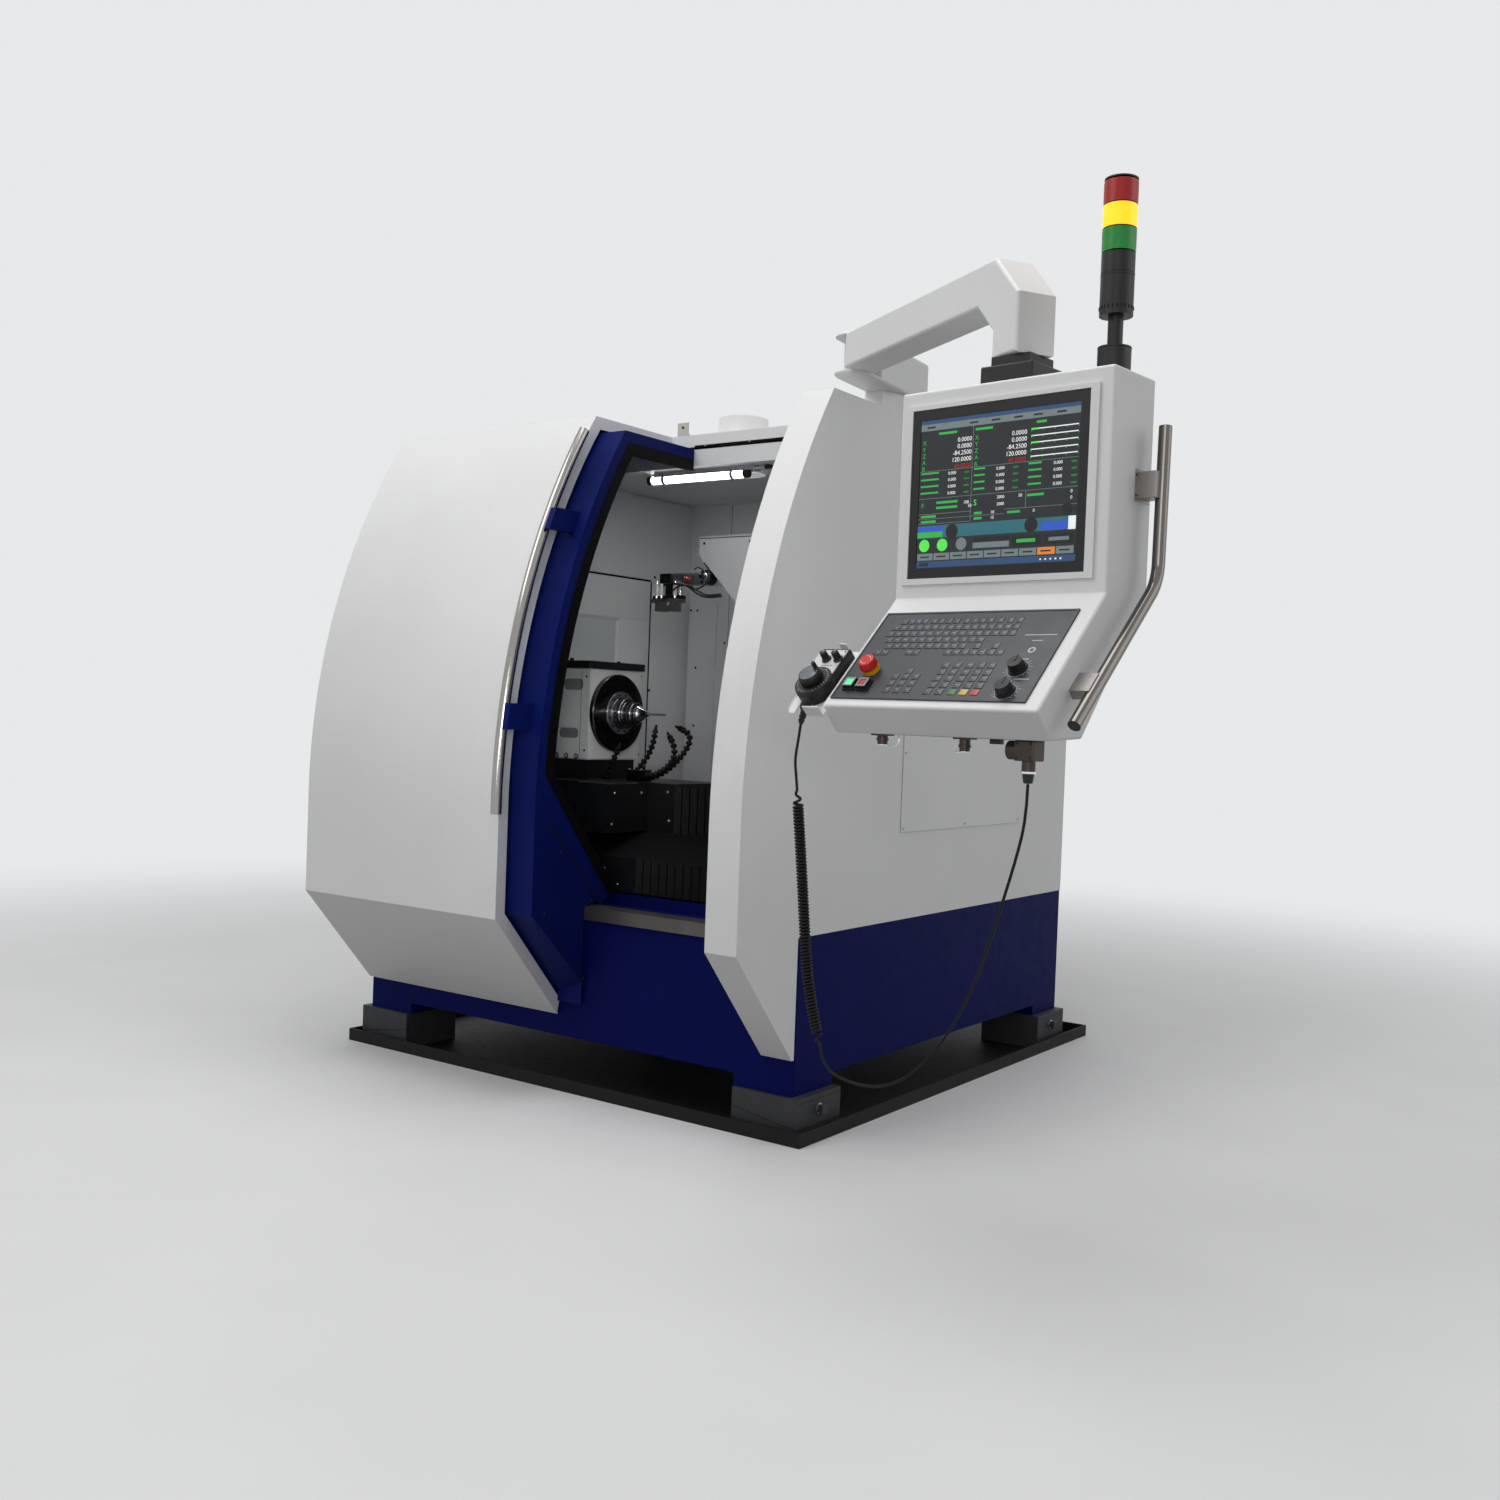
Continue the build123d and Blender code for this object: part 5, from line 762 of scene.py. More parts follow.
def square_frame(piece, r, s, inner, outer, lift, material=0):
    """Four bars round a spot on the console."""
    for x, y in (((-outer, outer), (inner, outer)), ((-outer, outer), (-outer, -inner)),
                 ((-outer, -inner), (-inner, inner)), ((inner, outer), (-inner, inner))):
        piece.block((r + x[0], r + x[1]), (-s + y[0], -s + y[1]), lift, 0.4, material)


def add_button_frames():
    """Grey square frame on each lit button, which moves with it, and a fixed surround."""
    grey = surface("button_frame", (150, 150, 152), 0.35, 0.05, 900, 0.00003, 0.1)
    for name, body, slot, r, s in BUTTONS:
        piece = Piece(name, body, slot, [grey, PLASTIC], CONSOLE)
        square_frame(piece, r, s, FRAME_INNER, FRAME_OUTER, (PLATE_LIFT + 4.2, BUTTON_TOP))
        square_frame(piece, r, s, FRAME_INNER, FRAME_OUTER + FRAME_GROWTH,
                     (PLATE_LIFT + 4.0, BUTTON_TOP - 1.5), 1)
        piece.done()
    surrounds = Piece("button_surrounds", "panel", "black_plastic", [PLASTIC], CONSOLE)
    for *names, r, s in BUTTONS:
        square_frame(surrounds, r, s, SURROUND_INNER, SURROUND_OUTER, (PLATE_LIFT - 0.3, PLATE_LIFT + 4))
    surrounds.done()


def add_stop_head():
    """Two rows of pale marks on the emergency stop's head."""
    mark = surface("stop_mark", (236, 226, 216), 0.4, 0.03, 900, 0.00002, 0.05)
    piece = Piece("stop_head_marks", "emergency_stop_head", "red_plastic", [mark], CONSOLE)
    for turn, index in product(range(2), range(8)):
        angle = math.radians(180 * turn + 20 + index * 12)
        radial_mark(piece, Vector(STOP_HEAD) - UP * 0.1, angle, 10.5, 11.5, 1.2, 0.25)
    piece.done()


add_keys()
add_dial_marks()
add_button_frames()
add_stop_head()


# Work chamber: folded wall slabs, seams, screws and the rear pilaster

LEFT_WALL, REAR_WALL = -430, 268
SLAB_RISE, SLAB_LOW, SLAB_FRONT, CHAMBER_TOP = 7, 862, -638, 1777
SEAM_Z, SEAM_Y, SEAM_WIDTH = 1494, 50, 7
RECESS_TOP, RECESS_SIDE, FOLD = 1347, -116, 12
WALL_END = REAR_WALL - 2
PILASTER_LOW, PILASTER_TOP = 540, 1437


def add_chamber_panels():
    piece = Piece("chamber_panels", "machine", "liner_paint", [LINER, SHADOW_SEAM, BLACK_SCREW, RECESS_SHADE])
    face, bend, turn = LEFT_WALL + SLAB_RISE, RECESS_TOP + FOLD, RECESS_SIDE + FOLD
    above, beyond = SEAM_Z + SEAM_WIDTH, SEAM_Y + SEAM_WIDTH
    for y, z in (((SLAB_FRONT, SEAM_Y), (bend, SEAM_Z)), ((turn, SEAM_Y), (SLAB_LOW, bend)),
                 ((SLAB_FRONT, WALL_END), (above, CHAMBER_TOP)), ((beyond, WALL_END), (SLAB_LOW, above))):
        piece.block((LEFT_WALL, face), y, z, 1.2)
    wedge = [(LEFT_WALL, RECESS_TOP), (face - 1, bend), (LEFT_WALL, bend)]
    piece.prism([(x, SLAB_FRONT, z) for x, z in wedge], -FRONT, turn - SLAB_FRONT)
    wedge = [(LEFT_WALL, RECESS_SIDE), (face - 1, turn), (LEFT_WALL, turn)]
    piece.prism([(x, y, SLAB_LOW) for x, y in wedge], UP, bend - SLAB_LOW)
    # Dark sheets of painted shade on the seams' floors and on the far slab's side at the upright seam.
    piece.block((LEFT_WALL, LEFT_WALL + 1), (SLAB_FRONT, beyond), (SEAM_Z, above), material=1)
    piece.block((LEFT_WALL, LEFT_WALL + 1), (SEAM_Y, beyond), (SLAB_LOW - 10, above), material=1)
    piece.block((LEFT_WALL, face - 0.3), (beyond - 1, beyond), (SLAB_LOW - 10, SEAM_Z), material=1)
    # Thin darker sheet of painted shade over the recess in the left wall.
    piece.block((LEFT_WALL, LEFT_WALL + 0.6), (SLAB_FRONT, RECESS_SIDE), (SLAB_LOW, RECESS_TOP), material=3)
    pilaster = ((-412, REAR_WALL), (-405, 246), (-363, 246), (-297, 262), (-297, REAR_WALL))
    piece.prism([(x, y, PILASTER_LOW) for x, y in pilaster], UP, PILASTER_TOP - PILASTER_LOW)
    piece.screws(((face, 70, 1512), (face, 60, 1125)), (1, 0, 0), 4.5, 3, 2)
    piece.screws([(x, 246, z) for x, z in ((-398, 1413), (-369, 1412), (-369, 1212), (-369, 1010))],
                 FRONT, 4, 3, 2)
    for x in (-250, -20, 210):
        piece.block((x, x + 1.5), (REAR_WALL - 0.6, REAR_WALL), (PILASTER_LOW, CHAMBER_TOP - 1), material=1)
    piece.screws(product((-262, -238, -32, -8), (REAR_WALL,), (700, 1000, 1300, 1600)), FRONT, 4, 3, 2)
    piece.done()


# Lamp fittings: end caps, channel clamps and the cable gland

LAMP_AXIS_Y, LAMP_AXIS_Z, CHANNEL_Z = -335, 1759.5, 1773


def add_lamp_fittings():
    piece = Piece("lamp_fittings", "machine", "aluminium", [PLASTIC, ZINC])
    for start, end in ((-124, -108), (237, 253)):
        piece.rod((start, LAMP_AXIS_Y, LAMP_AXIS_Z), (end, LAMP_AXIS_Y, LAMP_AXIS_Z), 14.5, 28, edge=1.5)
    for x in (-62, 196):
        piece.ring((x - 5, LAMP_AXIS_Y, LAMP_AXIS_Z), (1, 0, 0), 13.3, 15.2, 10, 32, 1)
        piece.block((x - 5, x + 5), (LAMP_AXIS_Y - 4, LAMP_AXIS_Y + 4), (CHANNEL_Z - 1, CHANNEL_Z + 7),
                    0.8, 1)
        piece.screws([(x, LAMP_AXIS_Y - 14, CHANNEL_Z)], FRONT, 3.5, 3)
    piece.block((-93, 312), (-353.2, -352), (CHANNEL_Z - 6, CHANNEL_Z - 4), material=1)
    for start, end, radius, sides in ((312, 328, 7, 6), (328, 334, 5.5, 20)):
        piece.rod((start, LAMP_AXIS_Y, CHANNEL_Z), (end, LAMP_AXIS_Y, CHANNEL_Z), radius, sides, edge=0.8)
    cable = ((334, CHANNEL_Z), (346, CHANNEL_Z), (356, 1776), (360, 1781))
    piece.tube([(x, LAMP_AXIS_Y, z) for x, z in cable], 3, 12)
    piece.done()


# Carriage: stepped front cover with its screws, and the headstock's small parts

BOX_RIGHT, BOX_FRONT, BOX_BACK = 48, -666, -496
BOX_LOW, BOX_TOP = 703, 845


def add_carriage_front():
    piece = Piece("carriage_front_cover", "carriage", "black_paint", [BLACK_PAINT, ZINC, STEEL])
    piece.block((-340, BOX_RIGHT), (BOX_FRONT, BOX_BACK), (BOX_LOW, BOX_TOP), 2.5)
    edge = (BOX_TOP - 2.5, BOX_TOP + 0.6)
    piece.block((-72, BOX_RIGHT + 0.6), (BOX_FRONT - 0.6, BOX_FRONT + 2), edge, 0.3, 2)
    piece.block((BOX_RIGHT - 2, BOX_RIGHT + 0.6), (BOX_FRONT, -545), edge, 0.3, 2)
    piece.screws([(BOX_RIGHT, y, z) for y, z in ((-645, 817), (-526, 816), (-654, 729))], (1, 0, 0), 4, 3, 1)
    piece.screws([(x, BOX_BACK, z) for x, z in ((122, 821), (130, 738))], FRONT, 4, 3, 1)
    piece.screws([(x, BOX_FRONT, z) for x, z in ((-320, 817), (-200, 817), (-320, 729))], FRONT, 4, 3, 1)
    piece.screws([(x, -660, z) for x, z in ((-33, 598), (34, 603), (84, 562))], FRONT, 3.5, 3, 1)
    piece.done()


HEAD_FRONT, HEAD_BACK, HEAD_RIGHT = -551, -316, -143
HEAD_POCKETS = ((-257, -171, 1109, 1143), (-271, -184, 965, 995))
POCKET_CORNER, POCKET_DEPTH = 13, 12


def rounded_plate(x, z, y, corner, steps=6):
    """Outline in an upright plane of a rectangle with round corners."""
    outline = []
    for turn, (across, up) in enumerate(((x[1] - corner, z[1] - corner), (x[0] + corner, z[1] - corner),
                                         (x[0] + corner, z[0] + corner), (x[1] - corner, z[0] + corner))):
        for step in range(steps + 1):
            angle = math.pi / 2 * (turn + step / steps)
            outline.append((across + corner * math.cos(angle), y, up + corner * math.sin(angle)))
    return outline


def add_headstock_parts():
    shadow = surface("pocket_floor_painted_shade", (128, 131, 133), 0.5, 0.06, 900, 0.00008, 0.12)
    piece = Piece("headstock_fasteners", "carriage", "steel", [BLACK_SCREW, ZINC, WHITE, SHADOW_SEAM, shadow])
    # Darker plates on the pockets' floors are painted shade inside the two pockets.
    for left, right, low, high in HEAD_POCKETS:
        plate = rounded_plate((left, right), (low, high), HEAD_FRONT + POCKET_DEPTH, POCKET_CORNER)
        piece.prism(plate, FRONT, 0.6, 4)
    bolts = [(x, HEAD_FRONT, 911) for x in (-269, -230, -190)]
    for bolt in bolts:
        piece.ring(bolt, FRONT, 5.2, 8.5, 1.2, 24, 0)
    piece.screws(bolts, FRONT, 5.0, 4, 1)
    piece.block((-178, -176.8), (HEAD_FRONT - 0.4, HEAD_FRONT + 0.4), (906, 1170), material=3)
    piece.block((HEAD_RIGHT - 3, HEAD_RIGHT - 0.5), (HEAD_FRONT - 1.2, HEAD_FRONT + 0.5), (903, 1174), 0.4, 2)
    piece.screws([(-158, HEAD_FRONT, z) for z in (930, 1150)], FRONT, 3.5, 2.5, 0)
    piece.screws(product((-330, -150), (HEAD_BACK,), (918, 1160)), (0, 1, 0), 6, 4, 0)
    piece.done()


# Spindle nose: flange with its bolts, chuck body, collar and a bright cone with its slots

SPINDLE_Y, SPINDLE_Z = -434, 1044
NOSE = ((-128, 60), (-127, 66), (-119, 66), (-117, 64), (-117, 47), (-115, 45.5), (-92, 45.5), (-89, 43),
        (-89, 35.5), (-87, 34), (-60, 34), (-57, 31.5), (-57, 27), (-48, 27), (-46, 25))
CONE = ((-47, 24), (-44, 24.5), (-41, 23), (-14, 6.5), (-10, 6), (-9, 4.5))


def on_spindle(x, degrees, radius):
    angle = math.radians(degrees)
    return Vector((x, SPINDLE_Y + radius * math.cos(angle), SPINDLE_Z + radius * math.sin(angle)))


def add_spindle_nose():
    piece = Piece("turned_spindle_nose", "work_spindle", "steel", [CHUCK, CHROME, BLACK_SCREW, TURNED, SHADOW_SEAM])
    axis, origin = (1, 0, 0), (0, SPINDLE_Y, SPINDLE_Z)
    piece.turned(origin, axis, NOSE, 64)
    piece.turned(origin, axis, CONE, 48, 1)
    piece.ring((-117.2, SPINDLE_Y, SPINDLE_Z), axis, 48, 63, 0.8, 64, 3)
    piece.screws([on_spindle(-116.4, 15 + 30 * index, 56) for index in range(12)], axis, 3.6, 2.6, 2)
    for degrees in range(0, 360, 60):
        piece.rod(on_spindle(-104, degrees, 44), on_spindle(-104, degrees, 45.8), 4, 18, 2)
    for degrees in range(45, 360, 90):
        way = on_spindle(0, degrees, 1) - Vector(origin)
        across = Vector((0, -way.z, way.y)) * 0.5
        wide, narrow = on_spindle(-41, degrees, 23.2), on_spindle(-14, degrees, 6.7)
        piece.prism([wide - across, wide + across, narrow + across, narrow - across], way, 0.15, 4)
    piece.ring((-72, SPINDLE_Y, SPINDLE_Z), axis, 33, 34.5, 3, 48, 3)
    piece.done("spindle_nose")


# Coolant hoses: ball-jointed segments with a nozzle, on a manifold

HOSES = (
    ((-124, -488, 846), (-118, -488, 862), (-108, -488, 888), (-92, -488, 913), (-80, -488, 936),
     (-74, -487, 958)),
    ((-34, -470, 862), (-24, -470, 868), (-6, -470, 890), (22, -468, 923), (37, -465, 963), (39, -461, 999),
     (39, -458, 1014)),
    ((20, -480, 862), (57, -480, 866), (98, -480, 886), (128, -480, 918), (128, -479, 948), (112, -475, 972),
     (90, -468, 994)),
    ((20, -452, 858), (52, -452, 866), (90, -450, 889), (128, -450, 922), (156, -448, 958), (158, -446, 988),
     (128, -444, 1004), (98, -443, 1012)),
)
SEGMENT = 17
BULGE, WAIST, NOZZLE_LENGTH = 9.7, 4.8, 26
NOZZLE = ((0, WAIST), (0.06, 8.6), (0.3, 8.6), (0.4, 5.6), (0.95, 3.4), (1, 2.6))
BEAD = ((0, WAIST), (0.12, WAIST), (0.26, 7.8), (0.40, BULGE), (0.62, BULGE), (0.74, 8.0), (0.86, WAIST))


def add_hoses():
    piece = Piece("segmented_coolant_hoses", "carriage", "black_plastic", [HOSE, ZINC])
    piece.block((-42, 12), (-490, -438), (845, 879), 2)
    piece.block((-134, -114), (-498, -478), (845, 853), 1)
    piece.screws(product((-36, 6), (-484, -444), (879,)), UP, 3.5, 3, 1)
    for route in HOSES:
        line = line_of(route)
        length = sum((last - first).length for first, last in zip(line, line[1:]))
        beads = max(2, round((length - NOZZLE_LENGTH) / SEGMENT))
        profile = [((bead + share) * SEGMENT, radius) for bead in range(beads) for share, radius in BEAD]
        profile += [(beads * SEGMENT + share * NOZZLE_LENGTH, radius) for share, radius in NOZZLE]
        places, radii = zip(*profile)
        piece.tube([point for point, way in along(line, places)], radii, 16)
    piece.done("coolant_hoses")


# Loader: lid edge, arm with its block, cylinders, hub, knob and air lines

HUB = (181, 1448)
ARM_FRONT, ARM_BACK = -436, -402
HOUSING_FRONT, HOUSING_LEFT, HOUSING_RIGHT = -436, 157.4, 692
TUBE_STEPS = 24
AIR_LINES = (
    (((43, -452, 1426), (70, -456, 1429), (105, -456, 1428), (140, -456, 1420), (170, -454, 1398),
      (205, -450, 1385), (250, -442, 1391)), 3.2),
    (((76, -448, 1410), (98, -458, 1420), (122, -460, 1424), (150, -458, 1421), (176, -456, 1404),
      (210, -450, 1390), (248, -443, 1397)), 2.6),
    (((146, -444, 1452), (144, -452, 1430), (160, -456, 1410), (188, -454, 1416), (212, -448, 1440),
      (206, -445, 1468), (184, -444, 1487)), 2.6),
    (((150, -444, 1470), (166, -452, 1476), (182, -452, 1470), (190, -446, 1458)), 2.2),
)


def add_loader_housing_parts():
    piece = Piece("loader_housing_trim", "machine", "white_paint", [LOADER_SHADED_WHITE, SHADOW_SEAM, BLACK_SCREW])
    piece.block((HOUSING_LEFT, HOUSING_RIGHT), (HOUSING_FRONT - 1, HOUSING_FRONT + 0.5), (1561, 1566), 0.5)
    piece.block((HOUSING_LEFT, HOUSING_RIGHT), (HOUSING_FRONT - 1, -336), (1564, 1566.5), 0.5)
    piece.block((160, HOUSING_RIGHT), (HOUSING_FRONT - 0.5, HOUSING_FRONT + 0.1), (1558.6, 1560.4),
                material=1)
    piece.screws([(x, HOUSING_FRONT, 1545) for x in (176, 340, 520, 680)], FRONT, 4, 3, 2)
    piece.prism([(x, HOUSING_FRONT, z) for x, z in ((296, 1371), (326, 1384), (326, 1371))], (0, 1, 0), 12, 1)
    piece.done()


def add_loader_arm():
    materials = [TURNED, BLACK_PAINT, CHROME, RED, PLASTIC, ALUMINIUM, WHITE]
    piece = Piece("loader_arm_assembly", "loader_arm_body", "aluminium", materials)
    x, z = HUB
    steel, black, chrome, red, plastic, alloy, white = range(7)
    piece.block((60, x), (ARM_FRONT + 6, ARM_BACK), (1427, 1461), 1.5, steel)
    piece.block((60, x), (ARM_FRONT + 4.5, ARM_FRONT + 8), (1457, 1462), 0.5, alloy)
    piece.block((20, 60), (ARM_FRONT - 7, ARM_BACK), (1432, 1461), 1.5, black)
    piece.turned((x, ARM_FRONT, z), (0, 1, 0), [(0, 19), (1.5, 22), (34, 22)], 40, black)
    piece.turned((x, ARM_FRONT, z), FRONT, [(-0.5, 13), (4, 13), (6, 11), (6.5, 7), (8, 6.5), (8, 0.5)], 36,
                 chrome)
    for degrees in range(30, 360, 60):
        angle = math.radians(degrees)
        piece.screws([(x + 17 * math.cos(angle), ARM_FRONT, z + 17 * math.sin(angle))], FRONT, 2, 2, chrome)
    piece.rod((x, ARM_BACK, z), (x, ARM_BACK + 16.6, z), 10, 24, steel)
    piece.turned((108, ARM_FRONT + 6, 1443), FRONT, [(-1, 4), (8, 4), (8.2, 6.5), (13, 7.5), (14, 6)], 24,
                 chrome)
    piece.turned((118, ARM_FRONT + 6, 1442), FRONT, [(-1, 5), (3, 7.5), (11, 7.5), (14, 5.5)], 28, red)
    piece.block((-14, 88), (ARM_FRONT + 4, ARM_BACK), (1388, 1398), 1.2, black)
    piece.block((36, 66), (ARM_FRONT + 2, ARM_BACK), (1398, 1432), 1.2, black)
    for left, y in product((5, 23, 74), (ARM_FRONT, ARM_BACK - 8)):
        piece.rod((left, y, 1396), (left, y, 1430), 6.5, 24, white, 0.8)
        piece.rod((left, y, 1428), (left, y, 1440), 3, 16, chrome, 0.5)
        piece.rod((left, y, 1389), (left, y, 1397), 4.5, 16, chrome, 0.5)
    for left in (-8, 82):
        piece.rod((left, ARM_FRONT + 14, 1396), (left, ARM_FRONT + 14, 1436), 2.5, 14, chrome)
    piece.block((0, 84), (ARM_FRONT + 12, ARM_BACK - 4), (1427, 1433), 1, steel)
    for line, radius in AIR_LINES:
        piece.tube(evenly(line_of(line), TUBE_STEPS), radius, 12, plastic)
    piece.done("loader_arm")


add_chamber_panels()
add_lamp_fittings()
add_carriage_front()
add_headstock_parts()
add_spindle_nose()
add_hoses()
add_loader_housing_parts()
add_loader_arm()


# Hand pendant: a black body with a white face plate, two selector knobs, the pulse dial and its relief

PENDANT_X, PENDANT_TOP = (-334, -256), -177
PENDANT_BACK, PENDANT_FACE = -14, 17
DISC_X, DISC_Y, DISC_RADIUS = -295, -279, 43
DISC_TOP = 20.6
DISC_STEPS = 36
DIAL_LOW, DIAL_HEIGHT, DIAL_GRIPS = 21.0, 20.5, 40
KNOBS = ((-298, 214), (-268, 213))
KNOB = ((0, 11), (2, 11), (4.5, 8.4), (20, 7.6), (22, 6.8), (22.6, 5))
KNOB_MARKS, MARK_REACH = 5, 13.5
DISC_TICKS = 30
RELIEF_STEPS, RELIEF_RADIUS, RELIEF_TAPER, RELIEF_RIB = 72, 12.5, 7.6, 1.2


def in_console(point):
    """Place in the console's frame, in millimetres, of a point in the panel's."""
    return CONSOLE.inverted() @ (PANEL @ (Vector(point) * MM)) / MM


def inset(outline, by, lift):
    """Counterclockwise outline in a plane, moved in by a distance and put at a lift."""
    found = []
    for index, point in enumerate(outline):
        before, after = outline[index - 1], outline[(index + 1) % len(outline)]
        first = (Vector(point) - Vector(before)).normalized()
        last = (Vector(after) - Vector(point)).normalized()
        inward = Vector((-first.y - last.y, first.x + last.x)).normalized()
        found.append((point[0] + inward.x * by, point[1] + inward.y * by, lift))
    return found


def pendant_outline():
    left, right = PENDANT_X
    reach = math.acos((right - DISC_X) / DISC_RADIUS)
    outline = [(right, PENDANT_TOP - 5), (right - 1.5, PENDANT_TOP - 1.5), (right - 5, PENDANT_TOP),
               (left + 5, PENDANT_TOP), (left + 1.5, PENDANT_TOP - 1.5), (left, PENDANT_TOP - 5)]
    for step in range(DISC_STEPS + 1):
        angle = math.pi - reach + (math.pi + 2 * reach) * step / DISC_STEPS
        outline.append((DISC_X + DISC_RADIUS * math.cos(angle), DISC_Y + DISC_RADIUS * math.sin(angle)))
    return outline


def add_pendant():
    face = surface("pendant_face_plate", (214, 214, 214), 0.4, 0.03, 1200, 0.00004, 0.08)
    print_ink = surface("pendant_marks", (120, 122, 126), 0.5, 0.04, 1500, 0.00003, 0.05)
    white_ink = surface("pendant_ticks", (220, 220, 220), 0.5, 0.04, 1500, 0.00003, 0.05)
    piece = Piece("pendant_housing", "panel", "black_plastic",
                  [PLASTIC, face, print_ink, white_ink, BLACK_SCREW], CONSOLE)
    outline = pendant_outline()
    piece.loft([inset(outline, by, lift) for by, lift in (
        (2.5, PENDANT_BACK), (0.2, PENDANT_BACK + 2.5), (0, PENDANT_FACE - 4), (1.2, PENDANT_FACE - 1),
        (3, PENDANT_FACE))])
    plate = [(-259, -255), (-259, -187), (-262, -184), (-328, -184), (-331, -187), (-331, -255)]
    piece.loft([inset(plate, by, PENDANT_FACE + lift) for by, lift in ((0, -0.5), (0, 0.9), (0.4, 1.2))], 1)
    piece.screws([(x, -189, PENDANT_FACE + 1.2) for x in (-263.5, -326.5)], UP, 2.2, 1.2, 4)
    wide, narrow = DISC_RADIUS - 1.5, DISC_RADIUS - 3
    piece.turned((DISC_X, DISC_Y, PENDANT_FACE - 1), UP,
                 [(0, wide), (3.2, wide), (DISC_TOP - PENDANT_FACE + 1, narrow)], 56)
    for index in range(DISC_TICKS):
        radial_mark(piece, Vector((DISC_X, DISC_Y, DISC_TOP - 0.1)), 2 * math.pi * index / DISC_TICKS, 33,
                    36 if index % 5 else 38, 0.45, 0.2, 3)
    print_lift = (PENDANT_FACE + 1, PENDANT_FACE + 1.35)
    for r, s in KNOBS:
        piece.turned((r, -s, PENDANT_FACE + 1), UP, KNOB, 32)
        piece.block((r - 0.6, r + 0.6), (-s, -s + 7), (PENDANT_FACE + 23, PENDANT_FACE + 24), material=3)
        for index in range(KNOB_MARKS):
            angle = math.radians(50 + 20 * index)
            x, y = r + MARK_REACH * math.cos(angle), -s + MARK_REACH * math.sin(angle)
            piece.block((x - 0.8, x + 0.8), (y - 0.8, y + 0.8), print_lift, material=2)
    for x in (-300, -293, -286, -279):
        piece.block((x, x + 4.5), (-234, -231), print_lift, material=2)
    start = Vector(CORD_TOP[0])
    rise = (start - Vector(CORD_TOP[1])).normalized()
    guide = line_of([Vector((DISC_X + 4, DISC_Y - 36, 2)), Vector((DISC_X - 4, DISC_Y - 52, -6)),
                     in_console(start + rise * 30 + Vector((9, 0, 0))), in_console(start + rise * 12),
                     in_console(start - rise * 2)])
    radii = []
    for step in range(RELIEF_STEPS + 1):
        share = step / RELIEF_STEPS
        rib = RELIEF_RIB if step % 8 < 4 and 0.18 < share < 0.97 else 0.0
        radii.append(RELIEF_RADIUS - RELIEF_TAPER * share + rib)
    piece.tube(evenly(guide, RELIEF_STEPS), radii, 20)
    piece.done("pendant_body")


def add_pendant_dial():
    silver = surface("dial_top_metal", (120, 124, 128), 0.26, 0.3, 900, 0.00003, 0.1, 0.8, patches=40)
    piece = Piece("pulse_dial", "pendant_dial", "black_plastic", [PLASTIC, silver], CONSOLE)
    piece.turned((DISC_X, DISC_Y, DIAL_LOW), UP,
                 [(0, 21), (0.8, 23.8), (2.5, 24.8), (14, 24.8), (19, 23.2), (DIAL_HEIGHT, 21.8),
                  (DIAL_HEIGHT, 20.8), (DIAL_HEIGHT - 0.8, 20.6)], 56)
    for index in range(DIAL_GRIPS):
        angle = 2 * math.pi * index / DIAL_GRIPS
        x, y = DISC_X + 24.6 * math.cos(angle), DISC_Y + 24.6 * math.sin(angle)
        piece.rod((x, y, DIAL_LOW + 3), (x, y, DIAL_LOW + 13), 0.7, 6)
    top = DIAL_LOW + DIAL_HEIGHT
    piece.turned((DISC_X, DISC_Y, top - 1), UP, [(0, 20.7), (0.7, 20.6), (0.9, 19.8)], 48, 1)
    piece.turned((DISC_X + 10, DISC_Y + 15, top - 0.5), UP,
                 [(0, 5.6), (1.5, 5.6), (2, 4.6), (11, 4.9), (14, 4.5), (15.2, 3.2)], 28)
    piece.done("pendant_wheel")


def add_pendant_holder_parts():
    """Upright tab at the holder's top and the rounded tongue at its lower left."""
    piece = Piece("pendant_holder_tabs", "panel", "white_paint", [WHITE], CONSOLE)
    sheet, low = 2.5, -16.5
    left, right, top = -302, -282, 13
    tab = [(left, low), (right, low), (right, top - 4), (right - 2, top - 1), (right - 5, top),
           (left + 5, top), (left + 2, top - 1), (left, top - 4)]
    piece.prism([(x, -157, z) for x, z in tab], (0, -1, 0), sheet)
    tongue = [(-322, -344), (-322, -290), (-326, -284), (-336, -281), (-344, -286), (-346.5, -300),
              (-345, -320), (-338, -340), (-332, -346)]
    piece.loft([inset(tongue[::-1], by, lift) for by, lift in ((0, -14), (0, -12), (0.8, -11.5))])
    piece.tube(line_of([(x, y, -11) for x, y in tongue[2:]]), 1.6, 8)
    piece.done()


# Panel: its grip, connector, sockets, seams and the tower's parts

GRIP_R, GRIP_TUBE = 292, 13
GRIP_RUN = ((133, 1648), (128, 1384), (128, 1343), (98, 1314), (-173, 1054))
BOX_SIDE, BOX_LOW_SIDE = 251, 1024
BRACKET_Y, BRACKET_Z = (101, 151), (1506, 1558)
FLANGE, FLANGE_SHEET = 6, 1
BACK_SLOPE = (301, 289)
LOW_BRACKET, LOW_BRACKET_HALF = (-99, 1127), (25, 11)
CONNECTOR = (187, -150)
SOCKETS, SOCKET_HALF = ((-156, 1003), (43, 997)), 17
CABLE_LOOPS = (((-150, 1005), (-142, 998), (-128, 999), (-118, 1007), (-117, 1017), (-122, 1024)),
               ((37, 999), (28, 993), (20, 996), (17, 1006), (20, 1016), (26, 1024)))
TOWER = (200, 85)
TOWER_RADIUS = 33
LENSES = ((1990, 4), (2037, 3), (2084, 2))
LENS_RIBS, RIB_STEP = 11, 3.6
TOWER_GRIPS = 24


